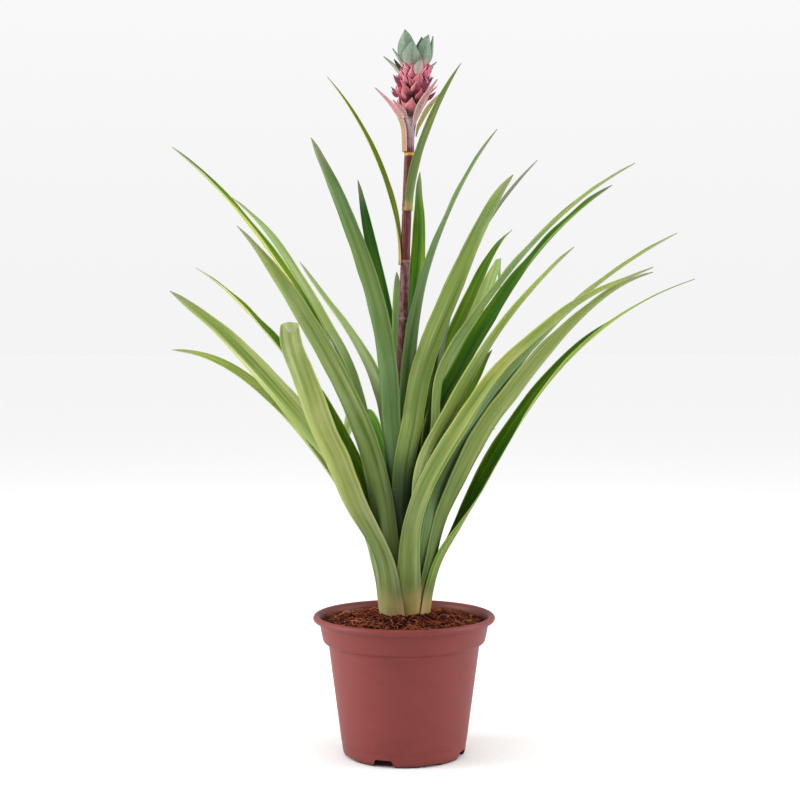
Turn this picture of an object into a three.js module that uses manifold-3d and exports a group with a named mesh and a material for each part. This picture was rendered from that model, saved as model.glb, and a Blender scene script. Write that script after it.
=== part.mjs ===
// Potted ornamental pineapple: a rosette of strap leaves on a short stem, with
// a flower stalk that carries a small pink fruit and its crown, in a round
// nursery pot. Millimetres, +Z up, origin at the middle of the pot's foot.
import * as THREE from 'three';
import Module from 'manifold-3d';

// ---- driving dimensions (mm) ----
const RIM_R = 60;            // outer radius of the rolled rim
const RIM_Z = 90.2;          // height of the rim's centre
const RIM_BEAD = 2.1;        // radius of the rolled rim
const COLLAR_TOP_R = 55.6;   // the stacking collar below the rim
const COLLAR_LOW_R = 53.8;
const COLLAR_LOW_Z = 76.8;
const BODY_TOP_R = 49.7;     // the tapered body
const BODY_TOP_Z = 72.0;
const FOOT_R = 40.8;
const WALL = 1.25;           // wall and floor thickness
const FLOOR = 1.6;
const NOTCH_W = 14.5;        // drainage notches round the foot
const NOTCH_H = 5.0;
const LOW_NOTCH_H = 1.7;
const NOTCH_AZ = 70.5;       // azimuth of the first tall notch, degrees
const SOIL_EDGE_Z = 84.6;    // compost at the wall and at the plant
const SOIL_TOP_Z = 93.2;
const POCKET_R = 17.9;       // where the leaf bases stand in the compost
const POCKET_Z = 84.9;
const GAP = 0.3;             // clearance between neighbouring pieces
const STALK_R = 3.15;        // flower stalk
const POT_SIDES = 48;

const wasm = await Module();
wasm.setup();
const { Manifold, Mesh: MMesh } = wasm;

const rad = (d) => d * Math.PI / 180;
const V3 = (x, y, z) => new THREE.Vector3(x, y, z);

const colours = {
  pot: [0.47, 0.17, 0.15, 0.55], soil: [0.13, 0.065, 0.035, 0.95], stem: [0.62, 0.56, 0.33, 0.7],
  leaf: [0.25, 0.36, 0.12, 0.5], young: [0.42, 0.46, 0.12, 0.5], stalk: [0.24, 0.06, 0.06, 0.6],
  bract: [0.60, 0.33, 0.26, 0.6], fruit: [0.62, 0.16, 0.19, 0.6], crown: [0.33, 0.42, 0.34, 0.65],
};
function material(key) {
  const [r, g, b, rough] = colours[key];
  return new THREE.MeshStandardMaterial({ name: key, color: new THREE.Color(r, g, b), roughness: rough, metalness: 0 });
}

const plant = new THREE.Group();
plant.name = 'potted_pineapple';
function add(name, geometry, key) {
  const mesh = new THREE.Mesh(geometry, material(key));
  mesh.name = name;
  plant.add(mesh);
  return mesh;
}

// ---- geometry to and from solids ----
function fromArrays(points, faces) {
  const g = new THREE.BufferGeometry();
  g.setAttribute('position', new THREE.Float32BufferAttribute(points.flatMap((p) => [p.x, p.y, p.z]), 3));
  g.setIndex(faces.flat());
  g.computeVertexNormals();
  return g;
}
function toSolid(geometry) {
  const pos = geometry.attributes.position;
  const index = geometry.index ? Array.from(geometry.index.array) : [...Array(pos.count).keys()];
  const key = new Map();
  const verts = [];
  const remap = [];
  for (let i = 0; i < pos.count; i++) {
    const k = [pos.getX(i), pos.getY(i), pos.getZ(i)].map((v) => Math.round(v * 1e4)).join();
    if (!key.has(k)) { key.set(k, verts.length / 3); verts.push(pos.getX(i), pos.getY(i), pos.getZ(i)); }
    remap.push(key.get(k));
  }
  const tris = [];
  for (let i = 0; i < index.length; i += 3) {
    const [a, b, c] = [remap[index[i]], remap[index[i + 1]], remap[index[i + 2]]];
    if (a !== b && b !== c && a !== c) tris.push(a, b, c);
  }
  const s = new Manifold(new MMesh({ numProp: 3, vertProperties: new Float32Array(verts), triVerts: new Uint32Array(tris) }));
  return s;
}
function toGeometry(solid) {
  const m = solid.getMesh();
  const g = new THREE.BufferGeometry();
  const p = new Float32Array(m.numVert * 3);
  for (let i = 0; i < m.numVert; i++) for (let k = 0; k < 3; k++) p[i * 3 + k] = m.vertProperties[i * m.numProp + k];
  g.setAttribute('position', new THREE.BufferAttribute(p, 3));
  g.setIndex(new THREE.BufferAttribute(new Uint32Array(m.triVerts), 1));
  g.computeVertexNormals();
  return g;
}
// a turned shape about +Z from [radius, height] pairs
function turned(profile, sides) {
  const g = new THREE.LatheGeometry(profile.map(([r, z]) => new THREE.Vector2(r, z)), sides);
  g.rotateX(Math.PI / 2);
  return g;
}

// ---- pot ----
const outer = [
  [0, 0], [37.9, 0], [39.2, 0.45], [40.1, 1.4], [40.5, 2.8], [FOOT_R, 4.4], [41.2, 8.6], [41.55, 9.1],
  [BODY_TOP_R, BODY_TOP_Z], [50.5, 73.3], [52.6, 74.9], [COLLAR_LOW_R, COLLAR_LOW_Z], [54.9, 82.2], [COLLAR_TOP_R, 86.6],
];
const bead = [];
for (let k = 0; k <= 7; k++) {
  const a = rad(-125 + k * 40);
  bead.push([RIM_R - RIM_BEAD + RIM_BEAD * Math.cos(a), RIM_Z + RIM_BEAD * Math.sin(a)]);
}
const inner = [
  [COLLAR_TOP_R - WALL + 0.1, 87.6], [54.9 - WALL, 82.2], [COLLAR_LOW_R - WALL, COLLAR_LOW_Z + 0.4], [51.6, 75.9], [49.2, 74.3],
  [BODY_TOP_R - WALL, BODY_TOP_Z + 0.3], [41.55 - WALL, 9.2], [FOOT_R - WALL, 4.4], [38.9, FLOOR], [0, FLOOR],
];
let potSolid = toSolid(turned([...outer, ...bead, ...inner], POT_SIDES));
for (let k = 0; k < 8; k++) {
  const tall = k % 2 === 0;
  const h = tall ? NOTCH_H : LOW_NOTCH_H;
  const az = rad(NOTCH_AZ + (tall ? k * 45 : k * 45));
  const shape = new THREE.Shape([[-NOTCH_W / 2, -3], [NOTCH_W / 2, -3], [NOTCH_W / 2, 0], [NOTCH_W / 2 - h * 0.32, h], [-NOTCH_W / 2 + h * 0.32, h], [-NOTCH_W / 2, 0]].map(([x, y]) => new THREE.Vector2(x, y)));
  const cut = new THREE.ExtrudeGeometry(shape, { depth: 9, bevelEnabled: false });
  // across -> tangential, up -> up, depth -> outwards
  const m = new THREE.Matrix4().makeBasis(V3(-Math.sin(az), Math.cos(az), 0), V3(0, 0, 1), V3(Math.cos(az), Math.sin(az), 0));
  m.setPosition(34.5 * Math.cos(az), 34.5 * Math.sin(az), 0);
  cut.applyMatrix4(m);
  const c = toSolid(cut);
  potSolid = potSolid.subtract(c);
}
add('pot', toGeometry(potSolid), 'pot');

// ---- compost, mounded towards the plant, with a pocket for the stem ----
const soilSide = inner.slice().reverse().filter(([r, z]) => r > 1 && z < SOIL_EDGE_Z).map(([r, z]) => [r - GAP, z === FLOOR ? z + GAP : z + 0.15]);
const soilProfile = [
  [0, FLOOR + GAP], ...soilSide, [54.9 - WALL - GAP + 0.42, SOIL_EDGE_Z],
  [50, 85.3], [42, 86.6], [33, 88.7], [25, 91.3], [20, SOIL_TOP_Z], [POCKET_R, SOIL_TOP_Z - 0.3],
  [POCKET_R, POCKET_Z], [14.7, POCKET_Z], [14.3, 76], [11.8, 70.2], [7.5, 67.4], [0, 66.6],
];
add('compost', turned(soilProfile, 28), 'soil');

// ---- short stem that the leaf bases clasp ----
add('stem_base', turned([
  [0, 67.2], [7.2, 68.0], [11.3, 70.8], [13.0, 76.2], [13.0, 84], [12.1, 90], [9.7, 100], [6.3, 115], [3.9, 130.6], [3.0, 131.2], [0, 131.2],
], 20), 'stem');

// ---- a strap leaf: sections of [x, y, z] centre, across and upper-side directions,
// half width, channel depth and thickness ----
function leafSolid(rows, across = [-1, -0.5, 0, 0.5, 1]) {
  const points = [];
  const faces = [];
  const size = 2 * across.length - 2;
  rows.forEach(([x, y, z, tx, ty, tz, nx, ny, nz, half, depth, thick]) => {
    const c = V3(x, y, z); const t = V3(tx, ty, tz); const n = V3(nx, ny, nz);
    const top = []; const low = [];
    across.forEach((v) => {
      const mid = c.clone().addScaledVector(t, v * half).addScaledVector(n, v * v * depth);
      const h = thick * (1 - 0.72 * v * v) / 2;
      top.push(mid.clone().addScaledVector(n, h));
      low.push(mid.clone().addScaledVector(n, -h));
    });
    const last = across.length - 1;
    points.push(top[0].clone().add(low[0]).multiplyScalar(0.5), ...top.slice(1, last), top[last].clone().add(low[last]).multiplyScalar(0.5), ...low.slice(1, last).reverse());
  });
  for (let k = 0; k < rows.length - 1; k++) {
    for (let s = 0; s < size; s++) {
      const s2 = (s + 1) % size;
      const [p, q, r, w] = [k * size + s, k * size + s2, (k + 1) * size + s2, (k + 1) * size + s];
      // both faces of the blade are split along the same diagonals
      if (s < across.length - 1) faces.push([p, r, q], [p, w, r]);
      else faces.push([p, w, q], [q, w, r]);
    }
  }
  // the two ends are closed across the thickness
  const e = (rows.length - 1) * size;
  const last = across.length - 1;
  for (const [at, flip] of [[0, false], [e, true]]) {
    const cap = [[0, 1, size - 1], [last - 1, last, last + 1]];
    for (let j = 1; j < last - 1; j++) cap.push([j, j + 1, size - j], [j + 1, size - j - 1, size - j]);
    for (const [a, b, c] of cap) faces.push(flip ? [at + a, at + c, at + b] : [at + a, at + b, at + c]);
  }
  return fromArrays(points, faces);
}
const LEAVES = {
  leaf_front_left_arching: [
    [-9.61, -12.31, 86, 0.7877, -0.616, 0.0023, 0.6025, 0.7712, 0.2056, 10.72, 4.33, 1.05],
    [-11.38, -14.58, 101.12, 0.7883, -0.6153, -0.0026, 0.6083, 0.7786, 0.1544, 10.39, 4.2, 1.03],
    [-12.85, -16.31, 116.12, 0.7854, -0.6185, 0.0239, 0.6066, 0.7768, 0.1693, 9.71, 3.99, 1.01],
    [-16.12, -19.03, 131.87, 0.7728, -0.6295, 0.081, 0.562, 0.7383, 0.3729, 8.25, 3.73, 0.98],
    [-22.25, -24.34, 146.2, 0.7694, -0.6309, 0.1, 0.481, 0.6752, 0.5592, 8.32, 3.55, 0.96],
    [-30.72, -32.67, 162.59, 0.8012, -0.5938, 0.0736, 0.4547, 0.6843, 0.5701, 9.53, 3.51, 0.93],
    [-38.5, -42.44, 182.66, 0.8426, -0.5376, 0.0336, 0.4535, 0.7417, 0.4942, 9.74, 3.51, 0.9],
    [-47.37, -53.44, 205.7, 0.8405, -0.5327, 0.0993, 0.3994, 0.7329, 0.5507, 9.74, 3.51, 0.86],
    [-56.47, -67.43, 231.04, 0.9063, -0.4221, -0.0206, 0.3617, 0.7495, 0.5545, 9.39, 3.31, 0.82],
    [-62.81, -85.46, 254.52, 0.9468, -0.3179, -0.0509, 0.2552, 0.644, 0.7212, 8.25, 1.26, 0.78],
    [-66.29, -112.77, 273.32, 0.9974, -0.0341, -0.0638, 0.0724, 0.4097, 0.9093, 6.5, -0.83, 0.73],
    [-64.61, -145.18, 281.51, 0.9966, 0.0826, 0.002, -0.0089, 0.0834, 0.9965, 5.1, -0.8, 0.68],
    [-61.55, -178.77, 280.67, 0.9959, 0.0906, 0.0065, 0.0027, -0.101, 0.9949, 3.8, -0.59, 0.63],
    [-59.47, -203.9, 277.63, 0.9975, 0.0698, 0.0055, 0.0032, -0.1242, 0.9923, 2.25, -0.35, 0.6],
    [-58.51, -219, 275.82, 0.9982, 0.0593, 0.0045, 0.0024, -0.1157, 0.9933, 0.28, 0, 0.58],
  ],
  leaf_right_lowest: [
    [15.19, -2.14, 87.33, 0.1386, 0.9903, -0.0034, -0.9771, 0.1373, 0.1626, 10.48, 4.24, 1.05],
    [17.21, -2.42, 100.86, 0.1398, 0.9902, 0.0047, -0.9809, 0.1378, 0.1373, 10.37, 4.18, 1.03],
    [19.65, -2.74, 114.21, 0.1345, 0.9907, -0.0193, -0.9617, 0.1352, 0.2386, 10.28, 4.05, 1.01],
    [24.14, -2.55, 128.06, 0.1107, 0.99, -0.0879, -0.9125, 0.1365, 0.3856, 10.2, 3.85, 0.98],
    [31.07, -1.79, 140.85, 0.0385, 0.9943, -0.0992, -0.8524, 0.0845, 0.5161, 10.12, 3.68, 0.96],
    [40.26, -0.39, 156.33, -0.1632, 0.9866, -0.0069, -0.8588, -0.1386, 0.4931, 10.08, 3.63, 0.93],
    [50.27, 1.44, 174.88, -0.3675, 0.9234, 0.111, -0.8012, -0.3749, 0.4664, 10.08, 3.63, 0.9],
    [61.98, 3.26, 195.95, -0.3665, 0.92, 0.1391, -0.7847, -0.386, 0.4851, 10.08, 3.63, 0.86],
    [76.23, 4.96, 219.05, -0.2715, 0.9557, 0.1139, -0.7888, -0.2887, 0.5426, 10.08, 3.63, 0.82],
    [92.13, 6.43, 241.04, -0.1792, 0.9807, 0.0779, -0.7633, -0.1886, 0.618, 10.04, 3.62, 0.78],
    [112.21, 7.94, 263.53, -0.0868, 0.9961, 0.0174, -0.6994, -0.0734, 0.7109, 9.5, 3.42, 0.73],
    [134.96, 9.46, 283.3, -0.0383, 0.9986, -0.0365, -0.603, 0.006, 0.7977, 6.52, 2.97, 0.68],
    [160.26, 11.15, 299.63, -0.0331, 0.9973, -0.0649, -0.4778, 0.0413, 0.8775, 3.56, 2.21, 0.63],
    [180.73, 12.6, 309.15, -0.0406, 0.9959, -0.0814, -0.3702, 0.0606, 0.927, 2.11, 1.31, 0.6],
    [193.46, 13.54, 313.81, -0.0446, 0.9954, -0.0851, -0.3343, 0.0654, 0.9402, 0.28, 0, 0.58],
  ],
  leaf_left_lowest: [
    [-14.51, 3.89, 88.75, -0.2604, -0.9655, 0.0076, 0.9447, -0.2531, 0.2083, 10.3, 4.16, 1.05],
    [-16.45, 4.49, 99.71, -0.26, -0.9656, 0.0047, 0.9581, -0.2573, 0.1261, 9.67, 3.9, 1.03],
    [-17.62, 4.79, 110.61, -0.2584, -0.966, -0.0085, 0.9561, -0.257, 0.1411, 9.2, 3.66, 1.01],
    [-20.05, 5.2, 122.53, -0.254, -0.9668, -0.0293, 0.9388, -0.2537, 0.2328, 8.73, 3.37, 0.98],
    [-22.81, 5.45, 134.15, -0.2451, -0.9683, -0.0486, 0.9376, -0.2494, 0.2421, 8.3, 3.1, 0.96],
    [-27.5, 5.82, 147.59, -0.2244, -0.9727, -0.0587, 0.8833, -0.2285, 0.4093, 8.05, 2.91, 0.93],
    [-35.42, 6.61, 162.62, -0.2027, -0.9773, -0.0616, 0.8399, -0.2059, 0.5022, 8.05, 2.9, 0.9],
    [-45.77, 7.62, 179.12, -0.1997, -0.9773, -0.0703, 0.8091, -0.2049, 0.5508, 8.05, 2.9, 0.86],
    [-58.36, 8.85, 197.04, -0.2168, -0.9722, -0.0889, 0.7732, -0.2266, 0.5923, 8.05, 2.9, 0.82],
    [-71.99, 10.29, 214.17, -0.2422, -0.9636, -0.1135, 0.7222, -0.2572, 0.6421, 8.02, 2.89, 0.78],
    [-88.58, 12.36, 231.9, -0.2887, -0.9427, -0.1673, 0.6361, -0.3195, 0.7023, 7.59, 2.73, 0.73],
    [-107.05, 14.98, 247.53, -0.2985, -0.9273, -0.2258, 0.512, -0.3553, 0.7821, 6.59, 2.37, 0.68],
    [-127.92, 18.03, 259.55, -0.2502, -0.9297, -0.2702, 0.3287, -0.3441, 0.8795, 4.91, 1.77, 0.63],
    [-145.11, 20.45, 264.97, -0.1889, -0.9363, -0.296, 0.1485, -0.3252, 0.9339, 2.9, 1.04, 0.6],
    [-155.82, 21.89, 266.7, -0.1665, -0.939, -0.301, 0.0871, -0.3181, 0.9441, 0.28, 0, 0.58],
  ],
  leaf_front_right_low: [
    [2.53, -14.37, 90.22, 0.9847, 0.1741, -0.003, -0.1713, 0.9713, 0.1652, 10.07, 4.07, 1.05],
    [3.01, -16.9, 104.48, 0.9848, 0.1735, 0.0003, -0.1706, 0.9678, 0.1853, 8.88, 3.58, 1.03],
    [3.38, -19.49, 118.66, 0.9851, 0.1717, 0.0103, -0.1711, 0.9717, 0.163, 8, 3.14, 1.01],
    [3.68, -21.49, 134.39, 0.9845, 0.1748, -0.0169, -0.1718, 0.9784, 0.1147, 7.12, 2.67, 0.98],
    [5.05, -23.31, 150.08, 0.9736, 0.1881, -0.1297, -0.1709, 0.9763, 0.1325, 6.31, 2.28, 0.96],
    [9.68, -24.49, 168.41, 0.9261, 0.1994, -0.3202, -0.1842, 0.9798, 0.0775, 5.84, 2.1, 0.93],
    [18.46, -25.77, 188.44, 0.8856, 0.2046, -0.417, -0.1071, 0.9636, 0.245, 5.84, 2.1, 0.9],
    [30.41, -33.08, 209.49, 0.8748, 0.2749, -0.3989, -0.0701, 0.8866, 0.4572, 5.84, 2.1, 0.86],
    [43.98, -45.29, 231.55, 0.8386, 0.5044, -0.2055, -0.2829, 0.7258, 0.627, 5.84, 2.1, 0.82],
    [57.67, -59.72, 252.11, 0.7907, 0.6011, -0.1159, -0.3357, 0.5842, 0.7389, 5.82, 2.1, 0.78],
    [75.46, -78.21, 270.83, 0.7609, 0.6382, -0.1174, -0.2741, 0.4801, 0.8333, 5.51, 1.98, 0.73],
    [94.2, -97.5, 287.89, 0.7544, 0.65, -0.0918, -0.2778, 0.4429, 0.8525, 4.78, 1.72, 0.68],
    [114.1, -118.16, 301.43, 0.7287, 0.6836, -0.0412, -0.1997, 0.2697, 0.942, 3.56, 1.28, 0.63],
    [129.89, -134.5, 308.77, 0.7141, 0.6997, 0.0217, -0.2307, 0.2059, 0.951, 2.11, 0.76, 0.6],
    [139.31, -144.26, 313.38, 0.7023, 0.7089, 0.0643, -0.2769, 0.1889, 0.9421, 0.28, 0, 0.58],
  ],
  leaf_back_low: [
    [0.51, 14.5, 91.7, -0.9994, 0.0347, -0.0015, -0.0344, -0.9865, 0.1602, 10.08, 4.07, 1.05],
    [0.56, 16.64, 104.84, -0.9994, 0.0348, -0.0007, -0.0345, -0.9867, 0.1588, 9.43, 3.8, 1.03],
    [0.72, 19.22, 117.79, -0.9992, 0.0382, 0.0149, -0.0333, -0.9672, 0.2516, 8.94, 3.52, 1.01],
    [1.28, 23.65, 131.49, -0.9982, 0.0459, 0.0377, -0.0291, -0.9313, 0.3631, 8.46, 3.2, 0.98],
    [2.15, 29.64, 144.34, -0.9975, 0.0513, 0.0492, -0.0209, -0.8736, 0.4863, 8.01, 2.92, 0.96],
    [3.38, 39.11, 159.05, -0.9975, 0.0511, 0.0491, -0.0138, -0.8196, 0.5728, 7.75, 2.79, 0.93],
    [4.69, 50.62, 175.29, -0.9979, 0.0474, 0.0438, -0.0122, -0.8054, 0.5926, 7.75, 2.79, 0.9],
    [6.5, 64.43, 193.41, -0.9949, 0.07, 0.0733, -0.0107, -0.7917, 0.6109, 7.75, 2.79, 0.86],
    [9.11, 82, 212.77, -0.9955, 0.0652, 0.0685, 0.0065, -0.6753, 0.7376, 7.75, 2.79, 0.82],
    [11.68, 102.68, 228.74, -0.9945, 0.0737, 0.0747, 0.0232, -0.5402, 0.8412, 7.73, 2.78, 0.78],
    [14.81, 128.74, 241.3, -0.9925, 0.0903, 0.0823, 0.0495, -0.3189, 0.9465, 7.31, 2.63, 0.73],
    [18.11, 157.14, 246.33, -0.9902, 0.1104, 0.0856, 0.082, -0.0364, 0.996, 6.34, 2.28, 0.68],
    [21.24, 185.73, 242.65, -0.9884, 0.1268, 0.0833, 0.1157, 0.2746, 0.9546, 4.72, 1.7, 0.63],
    [23.13, 205.42, 233.67, -0.9875, 0.1362, 0.0788, 0.1392, 0.523, 0.8409, 2.79, 1.01, 0.6],
    [24, 216, 225.99, -0.9873, 0.1386, 0.077, 0.1456, 0.5994, 0.7871, 0.28, 0, 0.58],
  ],
  leaf_right_front_low: [
    [12.86, -4.68, 93.21, 0.3421, 0.9397, 0.0003, -0.9315, 0.339, 0.1316, 9.67, 3.91, 1.05],
    [14.99, -5.46, 105.77, 0.3419, 0.9397, -0.0003, -0.9153, 0.3332, 0.2262, 9.69, 3.91, 1.03],
    [17.84, -6.5, 118.23, 0.3426, 0.9395, 0.0027, -0.9129, 0.3323, 0.237, 9.7, 3.83, 1.01],
    [20.7, -7.64, 131.93, 0.3442, 0.9388, 0.0104, -0.9207, 0.3353, 0.1999, 9.72, 3.7, 0.98],
    [23.42, -8.84, 145.36, 0.373, 0.9278, 0.01, -0.8988, 0.3586, 0.252, 9.73, 3.57, 0.96],
    [28.02, -10.88, 160.77, 0.4724, 0.8807, -0.0338, -0.8099, 0.4489, 0.3776, 9.73, 3.5, 0.93],
    [35.66, -14.13, 178.24, 0.5789, 0.808, -0.1092, -0.7051, 0.5634, 0.4306, 9.73, 3.5, 0.9],
    [44.93, -18.01, 198.29, 0.6241, 0.7672, -0.1481, -0.6524, 0.6159, 0.4416, 9.73, 3.5, 0.86],
    [56.93, -22.97, 219.87, 0.6322, 0.7462, -0.2085, -0.5677, 0.6293, 0.5307, 9.73, 3.5, 0.82],
    [71.16, -28.81, 239.82, 0.6161, 0.751, -0.2374, -0.5235, 0.6157, 0.5889, 9.7, 3.49, 0.78],
    [87.94, -35.55, 261.22, 0.5603, 0.8058, -0.1918, -0.5605, 0.5393, 0.6285, 9.18, 3.3, 0.73],
    [105.73, -42.72, 281.65, 0.475, 0.8722, -0.1166, -0.5784, 0.4094, 0.7056, 7.97, 2.87, 0.68],
    [125.34, -50.64, 299.97, 0.386, 0.9224, -0.0164, -0.5392, 0.24, 0.8072, 5.93, 2.14, 0.63],
    [142.08, -57.41, 310.43, 0.3329, 0.9376, 0.1001, -0.4014, 0.0448, 0.9148, 3.51, 1.26, 0.6],
    [153.04, -61.83, 314.65, 0.3127, 0.932, 0.1834, -0.3507, -0.0661, 0.9341, 0.28, 0, 0.58],
  ],
  leaf_left_front_low: [
    [-13.7, -2.91, 94.73, 0.2075, -0.9782, 0.0021, 0.9637, 0.2048, 0.1714, 8.96, 3.44, 1.05],
    [-15.25, -3.22, 106.38, 0.2078, -0.9782, 0.0001, 0.9738, 0.2069, 0.0942, 8.99, 3.45, 1.03],
    [-16.95, -3.62, 117.93, 0.2091, -0.9779, -0.0076, 0.9541, 0.2023, 0.2208, 9.01, 3.42, 1.01],
    [-19.84, -4.43, 130.53, 0.2124, -0.9769, -0.0223, 0.9567, 0.2033, 0.2083, 9.03, 3.37, 0.98],
    [-22.32, -5.36, 142.84, 0.234, -0.9717, -0.0335, 0.9433, 0.2186, 0.2496, 9.05, 3.31, 0.96],
    [-27.21, -7.13, 157.17, 0.3124, -0.9499, -0.0102, 0.8663, 0.2804, 0.4133, 9.06, 3.26, 0.93],
    [-35.08, -9.94, 173.26, 0.4264, -0.9029, 0.0551, 0.7736, 0.3955, 0.4951, 9.06, 3.26, 0.9],
    [-45.46, -13.69, 190.83, 0.5589, -0.8118, 0.1691, 0.6389, 0.5515, 0.5363, 9.06, 3.26, 0.86],
    [-58.42, -18.38, 209.69, 0.7017, -0.6201, 0.3509, 0.4164, 0.7565, 0.5043, 9.06, 3.26, 0.82],
    [-72.36, -23.33, 227.76, 0.7149, -0.5602, 0.4184, 0.3361, 0.8001, 0.4969, 9.03, 3.25, 0.78],
    [-88.63, -28.9, 247.2, 0.6789, -0.6083, 0.4112, 0.3626, 0.7648, 0.5326, 8.54, 3.08, 0.73],
    [-105.51, -34.35, 266.15, 0.6387, -0.6563, 0.4018, 0.3844, 0.7244, 0.5723, 7.41, 2.67, 0.68],
    [-123.53, -40.08, 283.91, 0.5947, -0.6872, 0.4171, 0.3481, 0.6878, 0.637, 5.52, 1.99, 0.63],
    [-137.89, -44.77, 296.19, 0.5801, -0.701, 0.4147, 0.3366, 0.67, 0.6617, 3.27, 1.18, 0.6],
    [-146.52, -47.62, 303.52, 0.5816, -0.704, 0.4077, 0.3449, 0.6673, 0.6602, 0.28, 0, 0.58],
  ],
  leaf_back_left_low: [
    [-4.23, 13.03, 96.26, -0.9511, -0.3088, 0.0018, 0.3069, -0.9447, 0.1157, 8.63, 3.31, 1.05],
    [-4.69, 14.48, 108.27, -0.951, -0.3091, -0.0006, 0.3054, -0.9398, 0.1533, 8.31, 3.19, 1.03],
    [-5.45, 16.71, 120.09, -0.9508, -0.3098, -0.004, 0.3011, -0.927, 0.2235, 8.08, 3.07, 1.01],
    [-6.57, 19.98, 132.75, -0.9509, -0.3094, -0.0028, 0.2916, -0.8992, 0.3263, 7.84, 2.92, 0.98],
    [-8.15, 24.88, 144.79, -0.952, -0.306, 0.0051, 0.2761, -0.8515, 0.4459, 7.63, 2.78, 0.96],
    [-10.37, 32.42, 158.46, -0.9543, -0.2983, 0.0187, 0.2588, -0.7934, 0.5509, 7.5, 2.7, 0.93],
    [-13.3, 43.3, 173.33, -0.9572, -0.2876, 0.033, 0.2395, -0.7228, 0.6483, 7.5, 2.7, 0.9],
    [-16.89, 57.75, 188.67, -0.9606, -0.2741, 0.0471, 0.2176, -0.6354, 0.7409, 7.5, 2.7, 0.86],
    [-21.2, 76.35, 203.28, -0.9647, -0.2563, 0.0607, 0.1878, -0.5076, 0.8408, 7.5, 2.7, 0.82],
    [-25.76, 97.24, 214.18, -0.9694, -0.2348, 0.0716, 0.1497, -0.3345, 0.9304, 7.48, 2.69, 0.78],
    [-31.03, 122.56, 220.42, -0.9754, -0.206, 0.0781, 0.0964, -0.0801, 0.9921, 7.07, 2.55, 0.73],
    [-36.22, 148.59, 219.15, -0.9811, -0.1778, 0.0764, 0.0396, 0.2021, 0.9786, 6.14, 2.21, 0.68],
    [-41.05, 173.23, 210.41, -0.9852, -0.157, 0.0688, -0.0126, 0.4666, 0.8844, 4.57, 1.65, 0.63],
    [-44.26, 189.45, 199.25, -0.9875, -0.1457, 0.0608, -0.0495, 0.6513, 0.7572, 2.7, 0.97, 0.6],
    [-46, 198, 190.99, -0.9881, -0.1427, 0.0579, -0.0605, 0.7057, 0.7059, 0.28, 0, 0.58],
  ],
  leaf_left_back_low: [
    [-10.89, 5.79, 97.81, -0.4698, -0.8828, 0.0066, 0.8818, -0.4689, 0.0513, 8.57, 3.29, 1.05],
    [-12.07, 6.46, 110.17, -0.4684, -0.8835, -0.0032, 0.8668, -0.4603, 0.1918, 8.33, 3.2, 1.03],
    [-14.76, 7.71, 122.48, -0.4644, -0.8854, -0.0215, 0.8572, -0.4555, 0.2402, 8.16, 3.1, 1.01],
    [-17.37, 8.59, 136, -0.4607, -0.8866, -0.0415, 0.8737, -0.4612, 0.1548, 7.99, 2.97, 0.98],
    [-19.48, 8.93, 149.33, -0.4581, -0.8871, -0.0571, 0.8705, -0.4606, 0.1733, 7.83, 2.85, 0.96],
    [-23.46, 9.86, 165.02, -0.4545, -0.8881, -0.0681, 0.8355, -0.4517, 0.3128, 7.74, 2.78, 0.93],
    [-30.26, 11.87, 182.87, -0.4501, -0.8897, -0.076, 0.8039, -0.4409, 0.3992, 7.74, 2.78, 0.9],
    [-39.54, 14.78, 202.61, -0.4444, -0.8922, -0.0809, 0.7729, -0.4275, 0.4689, 7.74, 2.78, 0.86],
    [-51.58, 18.78, 223.87, -0.4344, -0.8973, -0.0786, 0.7367, -0.4042, 0.5421, 7.74, 2.78, 0.82],
    [-65.14, 23.56, 244.02, -0.4192, -0.9054, -0.0669, 0.7024, -0.3701, 0.6079, 7.71, 2.78, 0.78],
    [-81.7, 29.64, 265.14, -0.3707, -0.9285, -0.0225, 0.686, -0.2901, 0.6673, 7.29, 2.63, 0.73],
    [-99.49, 36.23, 285.07, -0.3113, -0.9496, 0.0366, 0.6784, -0.1951, 0.7083, 6.33, 2.28, 0.68],
    [-118.36, 43.12, 303.87, -0.2595, -0.9609, 0.0965, 0.6525, -0.1007, 0.7511, 4.72, 1.7, 0.63],
    [-133.67, 48.66, 316.51, -0.2332, -0.9597, 0.1568, 0.5871, -0.0104, 0.8094, 2.79, 1, 0.6],
    [-143.44, 52.2, 323.21, -0.2185, -0.9563, 0.1945, 0.5617, 0.0398, 0.8264, 0.28, 0, 0.58],
  ],
  leaf_right_long: [
    [12.55, 2.67, 99.36, -0.2083, 0.9781, -0.0017, -0.9585, -0.2037, 0.1993, 8.24, 3.16, 1.05],
    [15.48, 3.29, 113.26, -0.2073, 0.9783, 0.0025, -0.9533, -0.2026, 0.2241, 8.18, 3.13, 1.03],
    [18.5, 3.83, 127.04, -0.2054, 0.9786, 0.0116, -0.9607, -0.2039, 0.1883, 8.13, 3.07, 1.01],
    [20.93, 4.08, 142.18, -0.2036, 0.9788, 0.0227, -0.9651, -0.2046, 0.1635, 8.08, 2.98, 0.98],
    [24.29, 4.35, 157.12, -0.2028, 0.9787, 0.0328, -0.9388, -0.2039, 0.2775, 8.03, 2.9, 0.96],
    [30.35, 4.91, 174.72, -0.2054, 0.9776, 0.0455, -0.9099, -0.2079, 0.3589, 8.01, 2.88, 0.93],
    [38.9, 5.64, 194.75, -0.2107, 0.9756, 0.061, -0.8813, -0.2166, 0.42, 8.01, 2.88, 0.9],
    [50.29, 6.55, 216.89, -0.2184, 0.9726, 0.0797, -0.8437, -0.2293, 0.4854, 8.01, 2.88, 0.86],
    [65.04, 7.72, 240.68, -0.2307, 0.9674, 0.1043, -0.7942, -0.2492, 0.5542, 8.01, 2.88, 0.82],
    [81.76, 9.09, 263.12, -0.2193, 0.9692, 0.1118, -0.7446, -0.2404, 0.6227, 7.98, 2.87, 0.78],
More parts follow.
